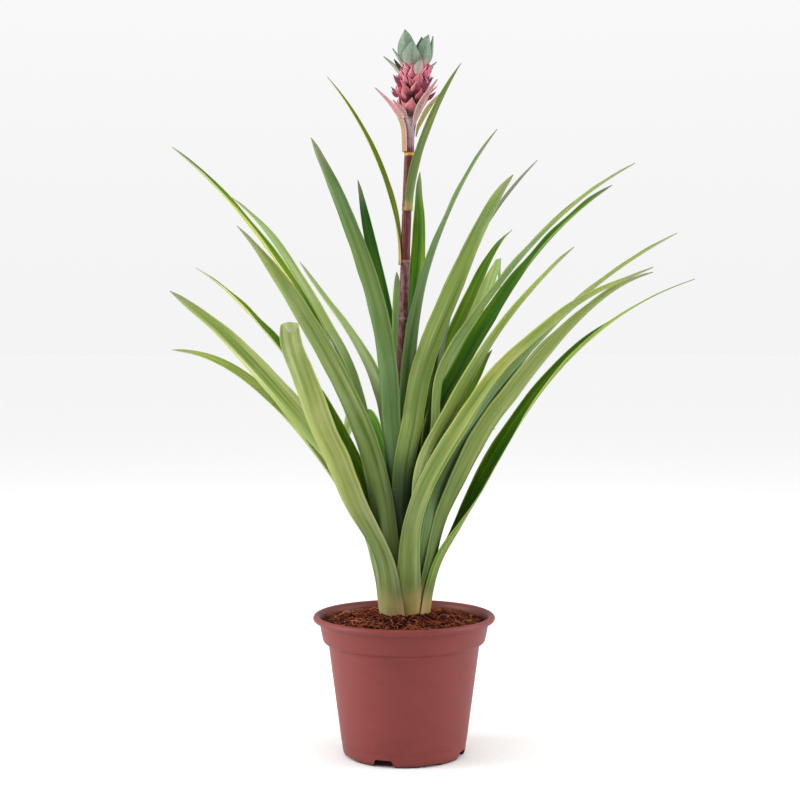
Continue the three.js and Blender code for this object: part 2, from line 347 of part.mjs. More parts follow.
    [102.53, 10.93, 286.23, -0.1159, 0.993, 0.0239, -0.702, -0.0989, 0.7053, 7.55, 2.72, 0.73],
    [125.48, 13.16, 307.14, -0.0551, 0.9968, -0.0571, -0.6349, 0.0092, 0.7726, 6.55, 2.36, 0.68],
    [150.42, 15.8, 325.58, -0.0706, 0.996, -0.0542, -0.5555, 0.0059, 0.8315, 4.88, 1.76, 0.63],
    [170.18, 17.9, 337.85, -0.0921, 0.9955, -0.0214, -0.499, -0.0275, 0.8662, 2.89, 1.04, 0.6],
    [182.34, 19.16, 344.7, -0.1124, 0.9935, 0.0173, -0.4787, -0.0694, 0.8752, 0.28, 0, 0.58],
  ],
  leaf_right_front_short: [
    [9.63, -6.49, 100.93, 0.5593, 0.829, 0.0006, -0.8202, 0.5533, 0.1452, 7.82, 3, 1.05],
    [11.33, -7.64, 111.53, 0.5594, 0.8289, 0.0008, -0.8023, 0.5412, 0.2518, 7.76, 2.98, 1.03],
    [13.79, -9.5, 122.03, 0.5679, 0.8223, 0.0372, -0.7958, 0.537, 0.2798, 7.72, 2.94, 1.01],
    [15.76, -11.86, 133.71, 0.5769, 0.8117, 0.0909, -0.8071, 0.5496, 0.2156, 7.67, 2.88, 0.98],
    [17.26, -14.16, 145.45, 0.5932, 0.8033, 0.0534, -0.7916, 0.5699, 0.2204, 7.63, 2.81, 0.96],
    [19.75, -15.6, 159.34, 0.6415, 0.7579, -0.1187, -0.7465, 0.6522, 0.1316, 7.61, 2.75, 0.93],
    [22.7, -14.53, 174.62, 0.7042, 0.6771, -0.2137, -0.6554, 0.7356, 0.171, 7.61, 2.74, 0.9],
    [29.47, -16.97, 191.52, 0.7265, 0.6688, -0.158, -0.5551, 0.7066, 0.4389, 7.61, 2.74, 0.86],
    [38.82, -22.53, 209.9, 0.6731, 0.7257, -0.1422, -0.5684, 0.6308, 0.5283, 7.61, 2.74, 0.82],
    [49.41, -28.58, 227.46, 0.6543, 0.7418, -0.1467, -0.5576, 0.6043, 0.5691, 7.59, 2.73, 0.78],
    [61.98, -35.76, 246.31, 0.6932, 0.6889, -0.2119, -0.4643, 0.6516, 0.5999, 7.18, 2.58, 0.73],
    [75.71, -43.7, 264, 0.7035, 0.655, -0.2758, -0.3708, 0.6694, 0.6438, 6.23, 2.24, 0.68],
    [90.74, -52.39, 280.22, 0.6443, 0.7309, -0.2251, -0.3888, 0.5666, 0.7265, 4.64, 1.67, 0.63],
    [102.85, -59.38, 291.24, 0.5554, 0.8263, -0.0935, -0.4474, 0.3916, 0.8041, 2.74, 0.99, 0.6],
    [110.44, -63.76, 297.37, 0.4882, 0.8725, 0.0193, -0.5016, 0.2624, 0.8244, 0.28, 0, 0.58],
  ],
  leaf_back_right_low: [
    [4.21, 10.42, 102.5, -0.9273, 0.3744, -0.0013, -0.3696, -0.9147, 0.1633, 7.5, 2.88, 1.05],
    [5.09, 12.61, 114.63, -0.927, 0.375, 0.002, -0.3651, -0.9037, 0.2238, 7.5, 2.88, 1.03],
    [6.3, 15.45, 126.31, -0.9265, 0.3761, 0.0063, -0.3561, -0.8823, 0.3079, 7.5, 2.84, 1.01],
    [8.42, 20.46, 138.48, -0.9265, 0.3763, 0.0068, -0.323, -0.8042, 0.4989, 7.5, 2.79, 0.98],
    [11.31, 27.42, 149.92, -0.9271, 0.3747, 0.0042, -0.3031, -0.7567, 0.5793, 7.5, 2.73, 0.96],
    [15.05, 36.5, 163.09, -0.9264, 0.3765, 0.0067, -0.2921, -0.7298, 0.6181, 7.5, 2.7, 0.93],
    [19.95, 48.06, 177.95, -0.926, 0.3775, 0.0085, -0.2731, -0.685, 0.6754, 7.5, 2.7, 0.9],
    [25.52, 63.32, 192.92, -0.9423, 0.3331, -0.0344, -0.2297, -0.5681, 0.7902, 7.5, 2.7, 0.86],
    [31.99, 82.43, 207.16, -0.9384, 0.3446, -0.0257, -0.2035, -0.4909, 0.8471, 7.5, 2.7, 0.82],
    [39.11, 103.11, 218.41, -0.9425, 0.3326, -0.0319, -0.1521, -0.3421, 0.9273, 7.48, 2.69, 0.78],
    [47.4, 128.09, 225.59, -0.9484, 0.3148, -0.0367, -0.0801, -0.1257, 0.9888, 7.07, 2.55, 0.73],
    [55.73, 154.04, 226.12, -0.9539, 0.2978, -0.0369, -0.0037, 0.1113, 0.9938, 6.14, 2.21, 0.68],
    [63.67, 179.32, 219.81, -0.9578, 0.2855, -0.0337, 0.0728, 0.3546, 0.9322, 4.57, 1.65, 0.63],
    [69.06, 196.62, 210.38, -0.9599, 0.2788, -0.03, 0.1322, 0.5442, 0.8285, 2.7, 0.97, 0.6],
    [72, 206, 203, -0.9604, 0.277, -0.0286, 0.1507, 0.6034, 0.7831, 0.28, 0, 0.58],
  ],
  leaf_left_front_mid: [
    [-6.09, -9.74, 104.07, 0.8481, -0.5299, 0, 0.5122, 0.8196, 0.2567, 7.2, 2.76, 1.05],
    [-7.65, -12.24, 115.98, 0.8477, -0.5304, 0.0029, 0.5177, 0.8286, 0.2131, 7.15, 2.74, 1.03],
    [-9.05, -14.12, 127.89, 0.8442, -0.535, 0.0336, 0.5231, 0.8358, 0.1668, 7.12, 2.7, 1.01],
    [-10.64, -15.17, 141.23, 0.8387, -0.5384, 0.0815, 0.5315, 0.8419, 0.0935, 7.08, 2.64, 0.98],
    [-12.22, -15.09, 154.6, 0.8624, -0.4914, 0.1217, 0.4922, 0.8701, 0.0252, 7.05, 2.57, 0.96],
    [-14.63, -14.83, 170.51, 0.9369, -0.3023, 0.1757, 0.2931, 0.953, 0.0768, 7.04, 2.53, 0.93],
    [-18.73, -14.92, 188.83, 0.966, -0.079, 0.2463, 0.0777, 0.9969, 0.0148, 7.04, 2.53, 0.9],
    [-25.17, -16.29, 209.22, 0.9361, -0.1107, 0.334, 0.0605, 0.9857, 0.1571, 7.04, 2.53, 0.86],
    [-34.39, -20.26, 231.28, 0.8804, -0.3423, 0.3281, 0.2417, 0.9193, 0.3106, 7.04, 2.53, 0.82],
    [-44.76, -25.57, 252.56, 0.8497, -0.4192, 0.3198, 0.2849, 0.8754, 0.3904, 7.01, 2.53, 0.78],
    [-57.07, -32.59, 275.5, 0.8452, -0.4166, 0.3347, 0.2561, 0.8655, 0.4305, 6.63, 2.39, 0.73],
    [-70.15, -40.47, 297.72, 0.8328, -0.4206, 0.3598, 0.2304, 0.8545, 0.4656, 5.76, 2.07, 0.68],
    [-84.32, -48.94, 319.03, 0.7591, -0.5774, 0.3005, 0.3486, 0.7505, 0.5615, 4.29, 1.54, 0.63],
    [-95.84, -55.51, 334.29, 0.6106, -0.7788, 0.1438, 0.5278, 0.5355, 0.6593, 2.54, 0.91, 0.6],
    [-103.12, -59.48, 343.16, 0.4866, -0.8736, 0.011, 0.6312, 0.3602, 0.6869, 0.28, 0, 0.58],
  ],
  leaf_left_long: [
    [-10.47, 0.37, 105.66, -0.0349, -0.9994, -0.0001, 0.9722, -0.0339, 0.2319, 7.18, 2.75, 1.05],
    [-14.32, 0.49, 120.54, -0.0345, -0.9994, -0.0017, 0.9683, -0.0338, 0.2477, 7.44, 2.85, 1.03],
    [-17.29, 0.54, 135.38, -0.0338, -0.9994, -0.005, 0.9876, -0.0342, 0.1535, 7.64, 2.88, 1.01],
    [-19.71, 0.52, 151.83, -0.0335, -0.9994, -0.0074, 0.9881, -0.0342, 0.1497, 7.84, 2.88, 0.98],
    [-22.35, 0.48, 168.2, -0.0374, -0.9993, -0.0099, 0.985, -0.0385, 0.1682, 8.02, 2.89, 0.96],
    [-26, 0.32, 187.77, -0.0538, -0.9983, -0.0233, 0.9773, -0.0574, 0.2037, 8.13, 2.93, 0.93],
    [-31.54, 0.04, 210.43, -0.0827, -0.996, -0.0344, 0.9602, -0.0888, 0.2648, 8.13, 2.93, 0.9],
    [-39.41, -0.26, 235.96, -0.1216, -0.9911, -0.0543, 0.9387, -0.1326, 0.3182, 8.13, 2.93, 0.86],
    [-50.27, -0.68, 263.95, -0.1775, -0.9799, -0.0908, 0.9011, -0.1989, 0.3852, 8.13, 2.93, 0.82],
    [-62.89, -0.98, 291.25, -0.1841, -0.9762, -0.1148, 0.8595, -0.2166, 0.463, 8.1, 2.92, 0.78],
    [-80.43, -1.4, 319.66, -0.15, -0.982, -0.1151, 0.8121, -0.1888, 0.5521, 7.66, 2.76, 0.73],
    [-100.28, -1.75, 346.52, -0.1253, -0.9857, -0.1127, 0.7738, -0.1682, 0.6107, 6.65, 2.39, 0.68],
    [-122.03, -2.13, 371.85, -0.1186, -0.9846, -0.128, 0.7178, -0.1741, 0.6741, 4.95, 1.78, 0.63],
    [-139.98, -2.44, 389.3, -0.115, -0.9822, -0.1489, 0.6539, -0.1876, 0.733, 2.93, 1.05, 0.6],
    [-151.42, -2.64, 399.04, -0.1179, -0.9797, -0.1623, 0.629, -0.2001, 0.7512, 0.28, 0, 0.58],
  ],
  leaf_back_right_short: [
    [6.61, 7.87, 107.25, -0.766, 0.6428, 0, -0.6313, -0.7523, 0.1884, 6.89, 2.64, 1.05],
    [7.71, 9.18, 115.45, -0.766, 0.6428, 0, -0.6271, -0.7473, 0.2199, 7.13, 2.74, 1.03],
    [8.9, 10.61, 123.61, -0.766, 0.6428, 0, -0.6266, -0.7467, 0.2231, 7.31, 2.8, 1.01],
    [10.22, 12.18, 132.64, -0.766, 0.6428, 0, -0.6273, -0.7476, 0.2183, 7.49, 2.84, 0.98],
    [11.58, 13.8, 141.6, -0.7615, 0.6481, -0.0018, -0.627, -0.7361, 0.255, 7.65, 2.86, 0.96],
    [13.65, 16.27, 152.26, -0.7419, 0.6705, -0.012, -0.6407, -0.7034, 0.3078, 7.75, 2.84, 0.93],
    [16.22, 19.34, 164.51, -0.7083, 0.7052, -0.0314, -0.673, -0.6612, 0.3314, 7.75, 2.8, 0.9],
    [19.81, 23.69, 178.11, -0.6611, 0.7469, -0.0713, -0.7006, -0.5805, 0.415, 7.75, 2.79, 0.86],
    [24.48, 29.21, 193.09, -0.5804, 0.8052, -0.1218, -0.7584, -0.48, 0.4409, 7.75, 2.79, 0.82],
    [29.96, 35.71, 207.39, -0.5703, 0.8038, -0.1693, -0.7376, -0.4105, 0.5361, 7.72, 2.78, 0.78],
    [37.24, 44.38, 222, -0.6138, 0.7705, -0.1717, -0.6659, -0.3885, 0.6369, 7.31, 2.63, 0.73],
    [45.38, 54.09, 235.5, -0.6505, 0.7457, -0.1445, -0.6183, -0.4094, 0.6709, 6.34, 2.28, 0.68],
    [53.07, 63.25, 249.6, -0.665, 0.7394, -0.1054, -0.6378, -0.4888, 0.5952, 4.72, 1.7, 0.63],
    [58.56, 69.79, 260.52, -0.6851, 0.7219, -0.0977, -0.5943, -0.4763, 0.648, 2.79, 1.01, 0.6],
    [62.22, 74.15, 266.58, -0.6972, 0.7106, -0.0944, -0.5577, -0.455, 0.6942, 0.28, 0, 0.58],
  ],
  leaf_front_right_mid: [
    [6.74, -8.03, 108.85, 0.7657, 0.6432, -0.0015, -0.6032, 0.7188, 0.3456, 6.62, 2.54, 1.05],
    [9.14, -11.1, 120.31, 0.7723, 0.6344, 0.0334, -0.6167, 0.7362, 0.2787, 6.79, 2.6, 1.03],
    [10.47, -13.87, 131.85, 0.7782, 0.6221, 0.0855, -0.6232, 0.7483, 0.2272, 6.91, 2.63, 1.01],
    [11.2, -16.86, 144.76, 0.7794, 0.6179, 0.1036, -0.625, 0.7551, 0.1979, 7.04, 2.62, 0.98],
    [11.66, -19.35, 157.74, 0.7683, 0.6361, 0.0713, -0.6399, 0.7601, 0.1135, 7.15, 2.61, 0.96],
    [11.81, -19.97, 173.37, 0.7246, 0.6872, -0.052, -0.6886, 0.7251, -0.0123, 7.22, 2.6, 0.93],
    [14, -18.47, 191.1, 0.6426, 0.7357, -0.2142, -0.7256, 0.6742, 0.1379, 7.22, 2.6, 0.9],
    [21.78, -19.39, 210, 0.6122, 0.7672, -0.1915, -0.6397, 0.6228, 0.4505, 7.22, 2.6, 0.86],
    [32.79, -25, 229.97, 0.6504, 0.757, -0.0633, -0.6166, 0.5748, 0.538, 7.22, 2.6, 0.82],
    [42.84, -33.25, 249.62, 0.6355, 0.772, 0.015, -0.6404, 0.5162, 0.5687, 7.2, 2.59, 0.78],
    [54.9, -43.16, 270.64, 0.526, 0.8459, 0.0883, -0.695, 0.3677, 0.6178, 6.81, 2.45, 0.73],
    [68.45, -53.58, 290.47, 0.4626, 0.8739, 0.1492, -0.7007, 0.2573, 0.6654, 5.91, 2.13, 0.68],
    [83.25, -64.87, 308.88, 0.4853, 0.8605, 0.1549, -0.6492, 0.2359, 0.7231, 4.4, 1.58, 0.63],
    [95, -74.08, 321.63, 0.5285, 0.8378, 0.1372, -0.5911, 0.2472, 0.7678, 2.6, 0.94, 0.6],
    [102.23, -79.91, 328.89, 0.562, 0.8206, 0.1039, -0.5527, 0.279, 0.7853, 0.28, 0, 0.58],
  ],
  leaf_right_front_long: [
    [8.33, -4.24, 110.45, 0.454, 0.891, -0.0001, -0.8514, 0.4338, 0.2947, 6.24, 2.4, 1.05],
    [12.02, -6.12, 124.95, 0.4539, 0.8911, -0.0006, -0.8675, 0.442, 0.2281, 6.68, 2.56, 1.03],
    [14.61, -7.41, 139.6, 0.4532, 0.8914, -0.0042, -0.8754, 0.446, 0.1867, 7, 2.64, 1.01],
    [17.61, -8.66, 155.98, 0.4481, 0.8934, -0.0331, -0.8785, 0.4468, 0.1688, 7.33, 2.69, 0.98],
    [18.91, -8.19, 172.36, 0.4313, 0.8986, -0.0808, -0.9021, 0.4278, -0.0569, 7.63, 2.75, 0.96],
    [18.91, -6.92, 191.57, 0.3808, 0.9243, -0.0258, -0.9213, 0.3816, 0.075, 7.8, 2.81, 0.93],
    [22.09, -7.8, 213.28, 0.3255, 0.9455, 0.0048, -0.9349, 0.3213, 0.151, 7.8, 2.81, 0.9],
    [22.82, -9.86, 239.7, 0.3274, 0.9408, 0.0874, -0.9412, 0.3168, 0.1172, 7.8, 2.81, 0.86],
    [32.76, -15.25, 266.55, 0.3541, 0.9339, 0.0494, -0.7938, 0.2722, 0.5439, 7.8, 2.81, 0.82],
    [48.49, -22.61, 290.43, 0.3587, 0.9319, 0.0531, -0.7535, 0.2555, 0.6058, 7.78, 2.8, 0.78],
    [67.06, -31.27, 316.07, 0.2636, 0.9543, 0.1406, -0.7639, 0.1175, 0.6346, 7.36, 2.65, 0.73],
    [87.52, -40.81, 339.86, 0.2099, 0.9515, 0.2249, -0.7216, -0.0044, 0.6923, 6.38, 2.3, 0.68],
    [110.39, -51.48, 360.78, 0.2459, 0.9388, 0.2413, -0.6316, -0.0336, 0.7746, 4.76, 1.71, 0.63],
    [129.16, -60.23, 374.04, 0.2922, 0.9292, 0.2264, -0.5401, -0.035, 0.8408, 2.81, 1.01, 0.6],
    [140.97, -65.73, 380.98, 0.3214, 0.9268, 0.1941, -0.4986, -0.0086, 0.8668, 0.28, 0, 0.58],
  ],
  leaf_left_back_mid: [
    [-9.18, 1.95, 112.06, -0.208, -0.9781, 0.0003, 0.8981, -0.1909, 0.3963, 5.9, 2.26, 1.05],
    [-13.43, 2.87, 124.55, -0.2086, -0.978, 0.0025, 0.9561, -0.2034, 0.2111, 6.53, 2.5, 1.03],
    [-15.38, 3.34, 137.18, -0.2092, -0.9778, 0.0065, 0.9688, -0.2064, 0.1371, 7, 2.65, 1.01],
    [-17.15, 3.85, 151.34, -0.2097, -0.9777, 0.0105, 0.9699, -0.2067, 0.1286, 7.47, 2.77, 0.98],
    [-19.02, 4.42, 165.58, -0.2132, -0.9769, 0.0129, 0.9675, -0.2093, 0.1416, 7.9, 2.87, 0.96],
    [-21.46, 5.24, 182.7, -0.2283, -0.9734, 0.0175, 0.9626, -0.223, 0.1537, 8.15, 2.93, 0.93],
    [-24.54, 6.38, 202.6, -0.2534, -0.9672, 0.0177, 0.9534, -0.2466, 0.174, 8.15, 2.93, 0.9],
    [-29, 7.97, 225.13, -0.2932, -0.956, 0.0081, 0.927, -0.2823, 0.247, 8.15, 2.93, 0.86],
    [-36.68, 10.45, 249.71, -0.3577, -0.9335, -0.0268, 0.8599, -0.3404, 0.3805, 8.15, 2.93, 0.82],
    [-47.7, 13.77, 272.89, -0.378, -0.9231, -0.0706, 0.7853, -0.3602, 0.5036, 8.12, 2.92, 0.78],
    [-62.13, 17.79, 297.48, -0.3986, -0.9142, -0.0735, 0.7763, -0.379, 0.5037, 7.68, 2.77, 0.73],
    [-76.56, 21.95, 322.06, -0.4001, -0.9124, -0.086, 0.7544, -0.3812, 0.5344, 6.67, 2.4, 0.68],
    [-92.66, 26.56, 345.44, -0.3699, -0.9254, -0.0822, 0.7012, -0.3362, 0.6287, 4.97, 1.79, 0.63],
    [-106.83, 30.63, 361.14, -0.3269, -0.9433, -0.0583, 0.627, -0.2626, 0.7334, 2.94, 1.06, 0.6],
    [-116.26, 33.34, 369.58, -0.3016, -0.9529, -0.0322, 0.6017, -0.2165, 0.7688, 0.28, 0, 0.58],
  ],
  leaf_right_back_long: [
    [8.24, 3.33, 113.67, -0.3747, 0.9272, -0.0003, -0.8893, -0.3593, 0.2828, 5.96, 2.29, 1.05],
    [11.85, 4.8, 127.86, -0.375, 0.927, -0.0014, -0.904, -0.3653, 0.2219, 6.62, 2.53, 1.03],
    [14.55, 5.94, 142.16, -0.376, 0.9266, -0.0071, -0.9051, -0.3657, 0.217, 7.1, 2.68, 1.01],
    [18.31, 7.81, 158.1, -0.3831, 0.9229, -0.0376, -0.9016, -0.3649, 0.2321, 7.59, 2.79, 0.98],
    [18.79, 8.99, 173.99, -0.3978, 0.9154, -0.0612, -0.9083, -0.4023, -0.1143, 8.04, 2.9, 0.96],
    [17.53, 8.97, 193.27, -0.4513, 0.8923, 0.013, -0.8912, -0.4515, 0.0448, 8.3, 2.99, 0.93],
    [19.99, 9.75, 215.65, -0.5191, 0.8541, 0.0312, -0.8328, -0.5138, 0.2063, 8.3, 2.99, 0.9],
    [29.6, 13.39, 238.82, -0.543, 0.8293, 0.1316, -0.6774, -0.5253, 0.5151, 8.3, 2.99, 0.86],
    [43.78, 19.5, 263.25, -0.6015, 0.7852, 0.1472, -0.6282, -0.5788, 0.5199, 8.3, 2.99, 0.82],
    [58.43, 26.02, 287.27, -0.5956, 0.7879, 0.1565, -0.6097, -0.5703, 0.5505, 8.28, 2.98, 0.78],
    [75.94, 33.8, 313, -0.4455, 0.8946, 0.0344, -0.6898, -0.3675, 0.6238, 7.83, 2.82, 0.73],
    [95.2, 42.38, 337.15, -0.3343, 0.9396, -0.0739, -0.6987, -0.1945, 0.6884, 6.79, 2.45, 0.68],
    [116.6, 51.92, 359.03, -0.3916, 0.9199, -0.0198, -0.5939, -0.2362, 0.7691, 5.06, 1.82, 0.63],
    [134.13, 59.72, 373.51, -0.4744, 0.8728, 0.1148, -0.4542, -0.3544, 0.8174, 2.99, 1.08, 0.6],
    [145.16, 64.63, 381.42, -0.5271, 0.8171, 0.2334, -0.3609, -0.4639, 0.809, 0.28, 0, 0.58],
  ],
  leaf_back_left_mid: [
    [-7.12, 5.77, 115.28, -0.6314, -0.7754, 0.008, 0.7349, -0.5951, 0.3254, 5.75, 2.21, 1.05],
    [-9.25, 7.73, 125.73, -0.6356, -0.7712, 0.0338, 0.7632, -0.6213, 0.1775, 6.28, 2.41, 1.03],
    [-10.07, 9.18, 136.31, -0.6388, -0.7658, 0.0745, 0.7673, -0.6268, 0.1359, 6.68, 2.54, 1.01],
    [-10.58, 11.01, 148.2, -0.64, -0.7615, 0.1029, 0.768, -0.6294, 0.1188, 7.07, 2.65, 0.98],
    [-10.61, 12.76, 160.14, -0.6276, -0.77, 0.1147, 0.7782, -0.6246, 0.0652, 7.44, 2.73, 0.96],
    [-10.14, 14.94, 174.39, -0.5772, -0.7908, 0.2038, 0.8163, -0.5669, 0.1106, 7.65, 2.76, 0.93],
    [-10.15, 19.42, 190.54, -0.5213, -0.8525, 0.0372, 0.8533, -0.5172, 0.0667, 7.65, 2.75, 0.9],
    [-12.36, 17.87, 209.58, -0.5146, -0.8499, -0.1131, 0.8376, -0.5265, 0.1457, 7.65, 2.75, 0.86],
    [-15.99, 16.28, 231.07, -0.5121, -0.8456, -0.1508, 0.8366, -0.5306, 0.1359, 7.65, 2.75, 0.82],
    [-22.71, 19.55, 251.36, -0.5714, -0.8195, 0.043, 0.7241, -0.4787, 0.4964, 7.63, 2.75, 0.78],
    [-33.16, 28.75, 270.97, -0.5247, -0.8396, 0.1404, 0.7066, -0.3376, 0.6219, 7.22, 2.6, 0.73],
    [-45.3, 39.49, 288.82, -0.4797, -0.8559, 0.1931, 0.7029, -0.2431, 0.6685, 6.26, 2.25, 0.68],
    [-58.09, 50.47, 306.06, -0.4795, -0.8579, 0.1848, 0.7028, -0.2493, 0.6663, 4.66, 1.68, 0.63],
    [-67.29, 58.41, 319.45, -0.4916, -0.855, 0.1652, 0.7223, -0.2944, 0.6258, 2.76, 0.99, 0.6],
    [-72.44, 62.97, 327.84, -0.5101, -0.8474, 0.1471, 0.7216, -0.3286, 0.6093, 0.28, 0, 0.58],
  ],
  leaf_back_right_arching: [
    [1.8, 8.45, 116.9, -0.9776, 0.2104, 0.0086, -0.1991, -0.9366, 0.2882, 5.43, 2.08, 1.05],
    [2.85, 12.24, 132.09, -0.9763, 0.2145, 0.0273, -0.2052, -0.9589, 0.1957, 5.92, 2.27, 1.03],
    [4.15, 15.02, 147.08, -0.9733, 0.2211, 0.0616, -0.2027, -0.9539, 0.2213, 6.29, 2.36, 1.01],
    [6.54, 19.59, 163.47, -0.9687, 0.2303, 0.0929, -0.1788, -0.9065, 0.3825, 6.66, 2.44, 0.98],
    [10.21, 27.43, 179.55, -0.9584, 0.2649, 0.1066, -0.1782, -0.8467, 0.5013, 7.01, 2.52, 0.96],
    [15.5, 37.07, 198.18, -0.9233, 0.3718, 0.0965, -0.2785, -0.821, 0.4984, 7.2, 2.59, 0.93],
    [22.43, 47.81, 219.22, -0.8664, 0.4974, 0.0437, -0.4011, -0.7454, 0.5324, 7.2, 2.59, 0.9],
    [31.27, 60.62, 242.59, -0.8074, 0.5899, -0.0114, -0.4886, -0.6576, 0.5734, 7.2, 2.59, 0.86],
    [42.17, 75.8, 268.07, -0.7413, 0.6663, -0.0803, -0.5688, -0.5602, 0.6022, 7.2, 2.59, 0.82],
    [53.39, 92.14, 292.65, -0.7461, 0.6503, -0.143, -0.571, -0.5144, 0.6398, 7.18, 2.58, 0.78],
    [63.97, 114.64, 317.16, -0.8386, 0.4887, -0.2406, -0.4818, -0.4589, 0.7466, 5.88, 1.91, 0.73],
    [70.81, 144.3, 333.32, -0.9299, 0.2122, -0.3004, -0.3429, -0.2018, 0.9175, 2.63, 0.22, 0.68],
    [73.74, 178.4, 333.45, -0.9726, 0.0001, -0.2326, -0.2251, 0.2536, 0.9408, 1.67, 0, 0.63],
    [75.59, 201.88, 322.7, -0.9864, -0.0005, -0.1645, -0.1351, 0.5728, 0.8085, 0.99, 0, 0.6],
    [77.29, 214.03, 312.94, -0.9899, 0.0339, -0.1373, -0.0809, 0.6605, 0.7464, 0.28, 0, 0.58],
  ],
  leaf_right_upper: [
    [8.25, 1.16, 118.53, -0.1392, 0.9903, 0, -0.9515, -0.1337, 0.277, 5.14, 1.97, 1.05],
    [11.46, 1.61, 131.53, -0.1392, 0.9903, -0.0002, -0.9741, -0.1369, 0.1798, 5.93, 2.27, 1.03],
    [13.42, 1.9, 144.58, -0.1394, 0.9902, -0.0016, -0.9795, -0.1377, 0.147, 6.52, 2.47, 1.01],
    [15.7, 2.28, 159.12, -0.1405, 0.9901, -0.0082, -0.9789, -0.1376, 0.1508, 7.11, 2.63, 0.98],
    [17.03, 2.64, 173.69, -0.1398, 0.9901, -0.0108, -0.99, -0.1396, 0.0178, 7.66, 2.78, 0.96],
    [16.79, 2.63, 191.18, -0.1352, 0.9908, 0.0053, -0.9908, -0.1353, 0.0106, 7.97, 2.87, 0.93],
    [18.07, 2.77, 211.57, -0.1277, 0.9918, -0.0029, -0.9875, -0.1269, 0.0936, 7.97, 2.87, 0.9],
    [20.67, 3.16, 234.84, -0.1183, 0.993, -0.0024, -0.9844, -0.1169, 0.1313, 7.97, 2.87, 0.86],
    [24.57, 3.75, 260.9, -0.1062, 0.9943, -0.0098, -0.9799, -0.103, 0.171, 7.97, 2.87, 0.82],
    [29.87, 4.63, 286.68, -0.0889, 0.9959, -0.0188, -0.9672, -0.0818, 0.2406, 7.95, 2.86, 0.78],
    [38.32, 6.02, 314.63, -0.0543, 0.9977, -0.0399, -0.9372, -0.0372, 0.3468, 7.52, 2.71, 0.73],
    [50.27, 7.95, 341.22, -0.0399, 0.9971, -0.0652, -0.8788, -0.004, 0.4771, 6.52, 2.35, 0.68],
    [66, 10.46, 365.72, -0.0633, 0.9955, -0.0702, -0.8028, -0.009, 0.5962, 4.86, 1.75, 0.63],
    [79.69, 12.63, 382.72, -0.094, 0.9941, -0.0545, -0.7533, -0.0352, 0.6567, 2.87, 1.03, 0.6],
    [88.39, 14, 392.52, -0.1157, 0.9926, -0.0368, -0.7377, -0.0611, 0.6724, 0.28, 0, 0.58],
  ],
  leaf_back_right_mid: [
    [4.88, 5.42, 120.16, -0.7433, 0.669, -0.0006, -0.6484, -0.7201, 0.2469, 5.02, 2.03, 1.05],
    [6.76, 7.54, 132.54, -0.7437, 0.6685, -0.0039, -0.6593, -0.7324, 0.1698, 5.71, 2.3, 1.03],
    [7.88, 8.93, 144.92, -0.7446, 0.6674, -0.0138, -0.6618, -0.7353, 0.1462, 6.23, 2.46, 1.01],
    [9.15, 11.01, 158.56, -0.7493, 0.6593, -0.0628, -0.657, -0.7281, 0.1953, 6.73, 2.57, 0.98],
    [9.59, 14.06, 171.76, -0.7347, 0.6481, -0.2002, -0.6772, -0.7176, 0.1626, 7.21, 2.65, 0.96],
    [8.39, 18.15, 187.02, -0.6618, 0.7167, -0.2197, -0.7477, -0.652, 0.1256, 7.48, 2.69, 0.93],
    [9.26, 22.89, 205.1, -0.5695, 0.809, -0.1454, -0.8104, -0.5233, 0.2635, 7.48, 2.69, 0.9],
    [14.96, 26.22, 226.86, -0.496, 0.8569, 0.1402, -0.7951, -0.5131, 0.3233, 7.48, 2.69, 0.86],
    [23.72, 32.77, 249.67, -0.6537, 0.7465, -0.1245, -0.6801, -0.5072, 0.5294, 7.48, 2.69, 0.82],
    [32.33, 44.53, 269.77, -0.6914, 0.7104, -0.1315, -0.6265, -0.4989, 0.5989, 7.46, 2.68, 0.78],
    [42.35, 58.31, 291.51, -0.7074, 0.6975, -0.1149, -0.6071, -0.5162, 0.6041, 7.05, 2.54, 0.73],
    [52.4, 72.12, 313.21, -0.7155, 0.6898, -0.1104, -0.5926, -0.5156, 0.6189, 6.12, 2.2, 0.68],
    [63.14, 86.89, 333.88, -0.6821, 0.7098, -0.1761, -0.5998, -0.4052, 0.6899, 4.56, 1.64, 0.63],
    [72.44, 99.7, 347.09, -0.6323, 0.7143, -0.2999, -0.6051, -0.2138, 0.7669, 2.7, 0.97, 0.6],
    [78.61, 108.2, 353.68, -0.5911, 0.7102, -0.3822, -0.6291, -0.1094, 0.7696, 0.28, 0, 0.58],
  ],
  leaf_front_upper: [
    [2.07, -7.22, 121.79, 0.9628, 0.2668, 0.0418, -0.2696, 0.9402, 0.2083, 5.04, 2.04, 1.05],
    [1.95, -9.91, 135.1, 0.9616, 0.2566, 0.097, -0.2686, 0.9526, 0.1428, 5.62, 2.26, 1.03],
    [0.66, -11.7, 148.3, 0.9575, 0.2505, 0.1429, -0.2631, 0.9616, 0.0776, 6.05, 2.38, 1.01],
    [-0.79, -13.11, 162.9, 0.9636, 0.2567, 0.0752, -0.2616, 0.963, 0.065, 6.48, 2.45, 0.98],
    [-0.75, -14.15, 177.5, 0.9673, 0.2515, -0.0332, -0.248, 0.965, 0.0849, 6.87, 2.5, 0.96],
    [0.88, -16.22, 194.85, 0.9725, 0.2095, -0.1015, -0.1891, 0.9652, 0.1806, 7.1, 2.56, 0.93],
    [4.64, -19.14, 214.46, 0.9688, 0.1657, -0.1845, -0.1462, 0.9826, 0.1145, 7.1, 2.56, 0.9],
    [8.42, -19.54, 238.25, 0.9744, 0.1736, -0.1431, -0.1522, 0.9772, 0.1484, 7.1, 2.56, 0.86],
    [14.47, -29.51, 261.87, 0.9564, 0.254, -0.1445, -0.1283, 0.8093, 0.5733, 7.1, 2.56, 0.82],
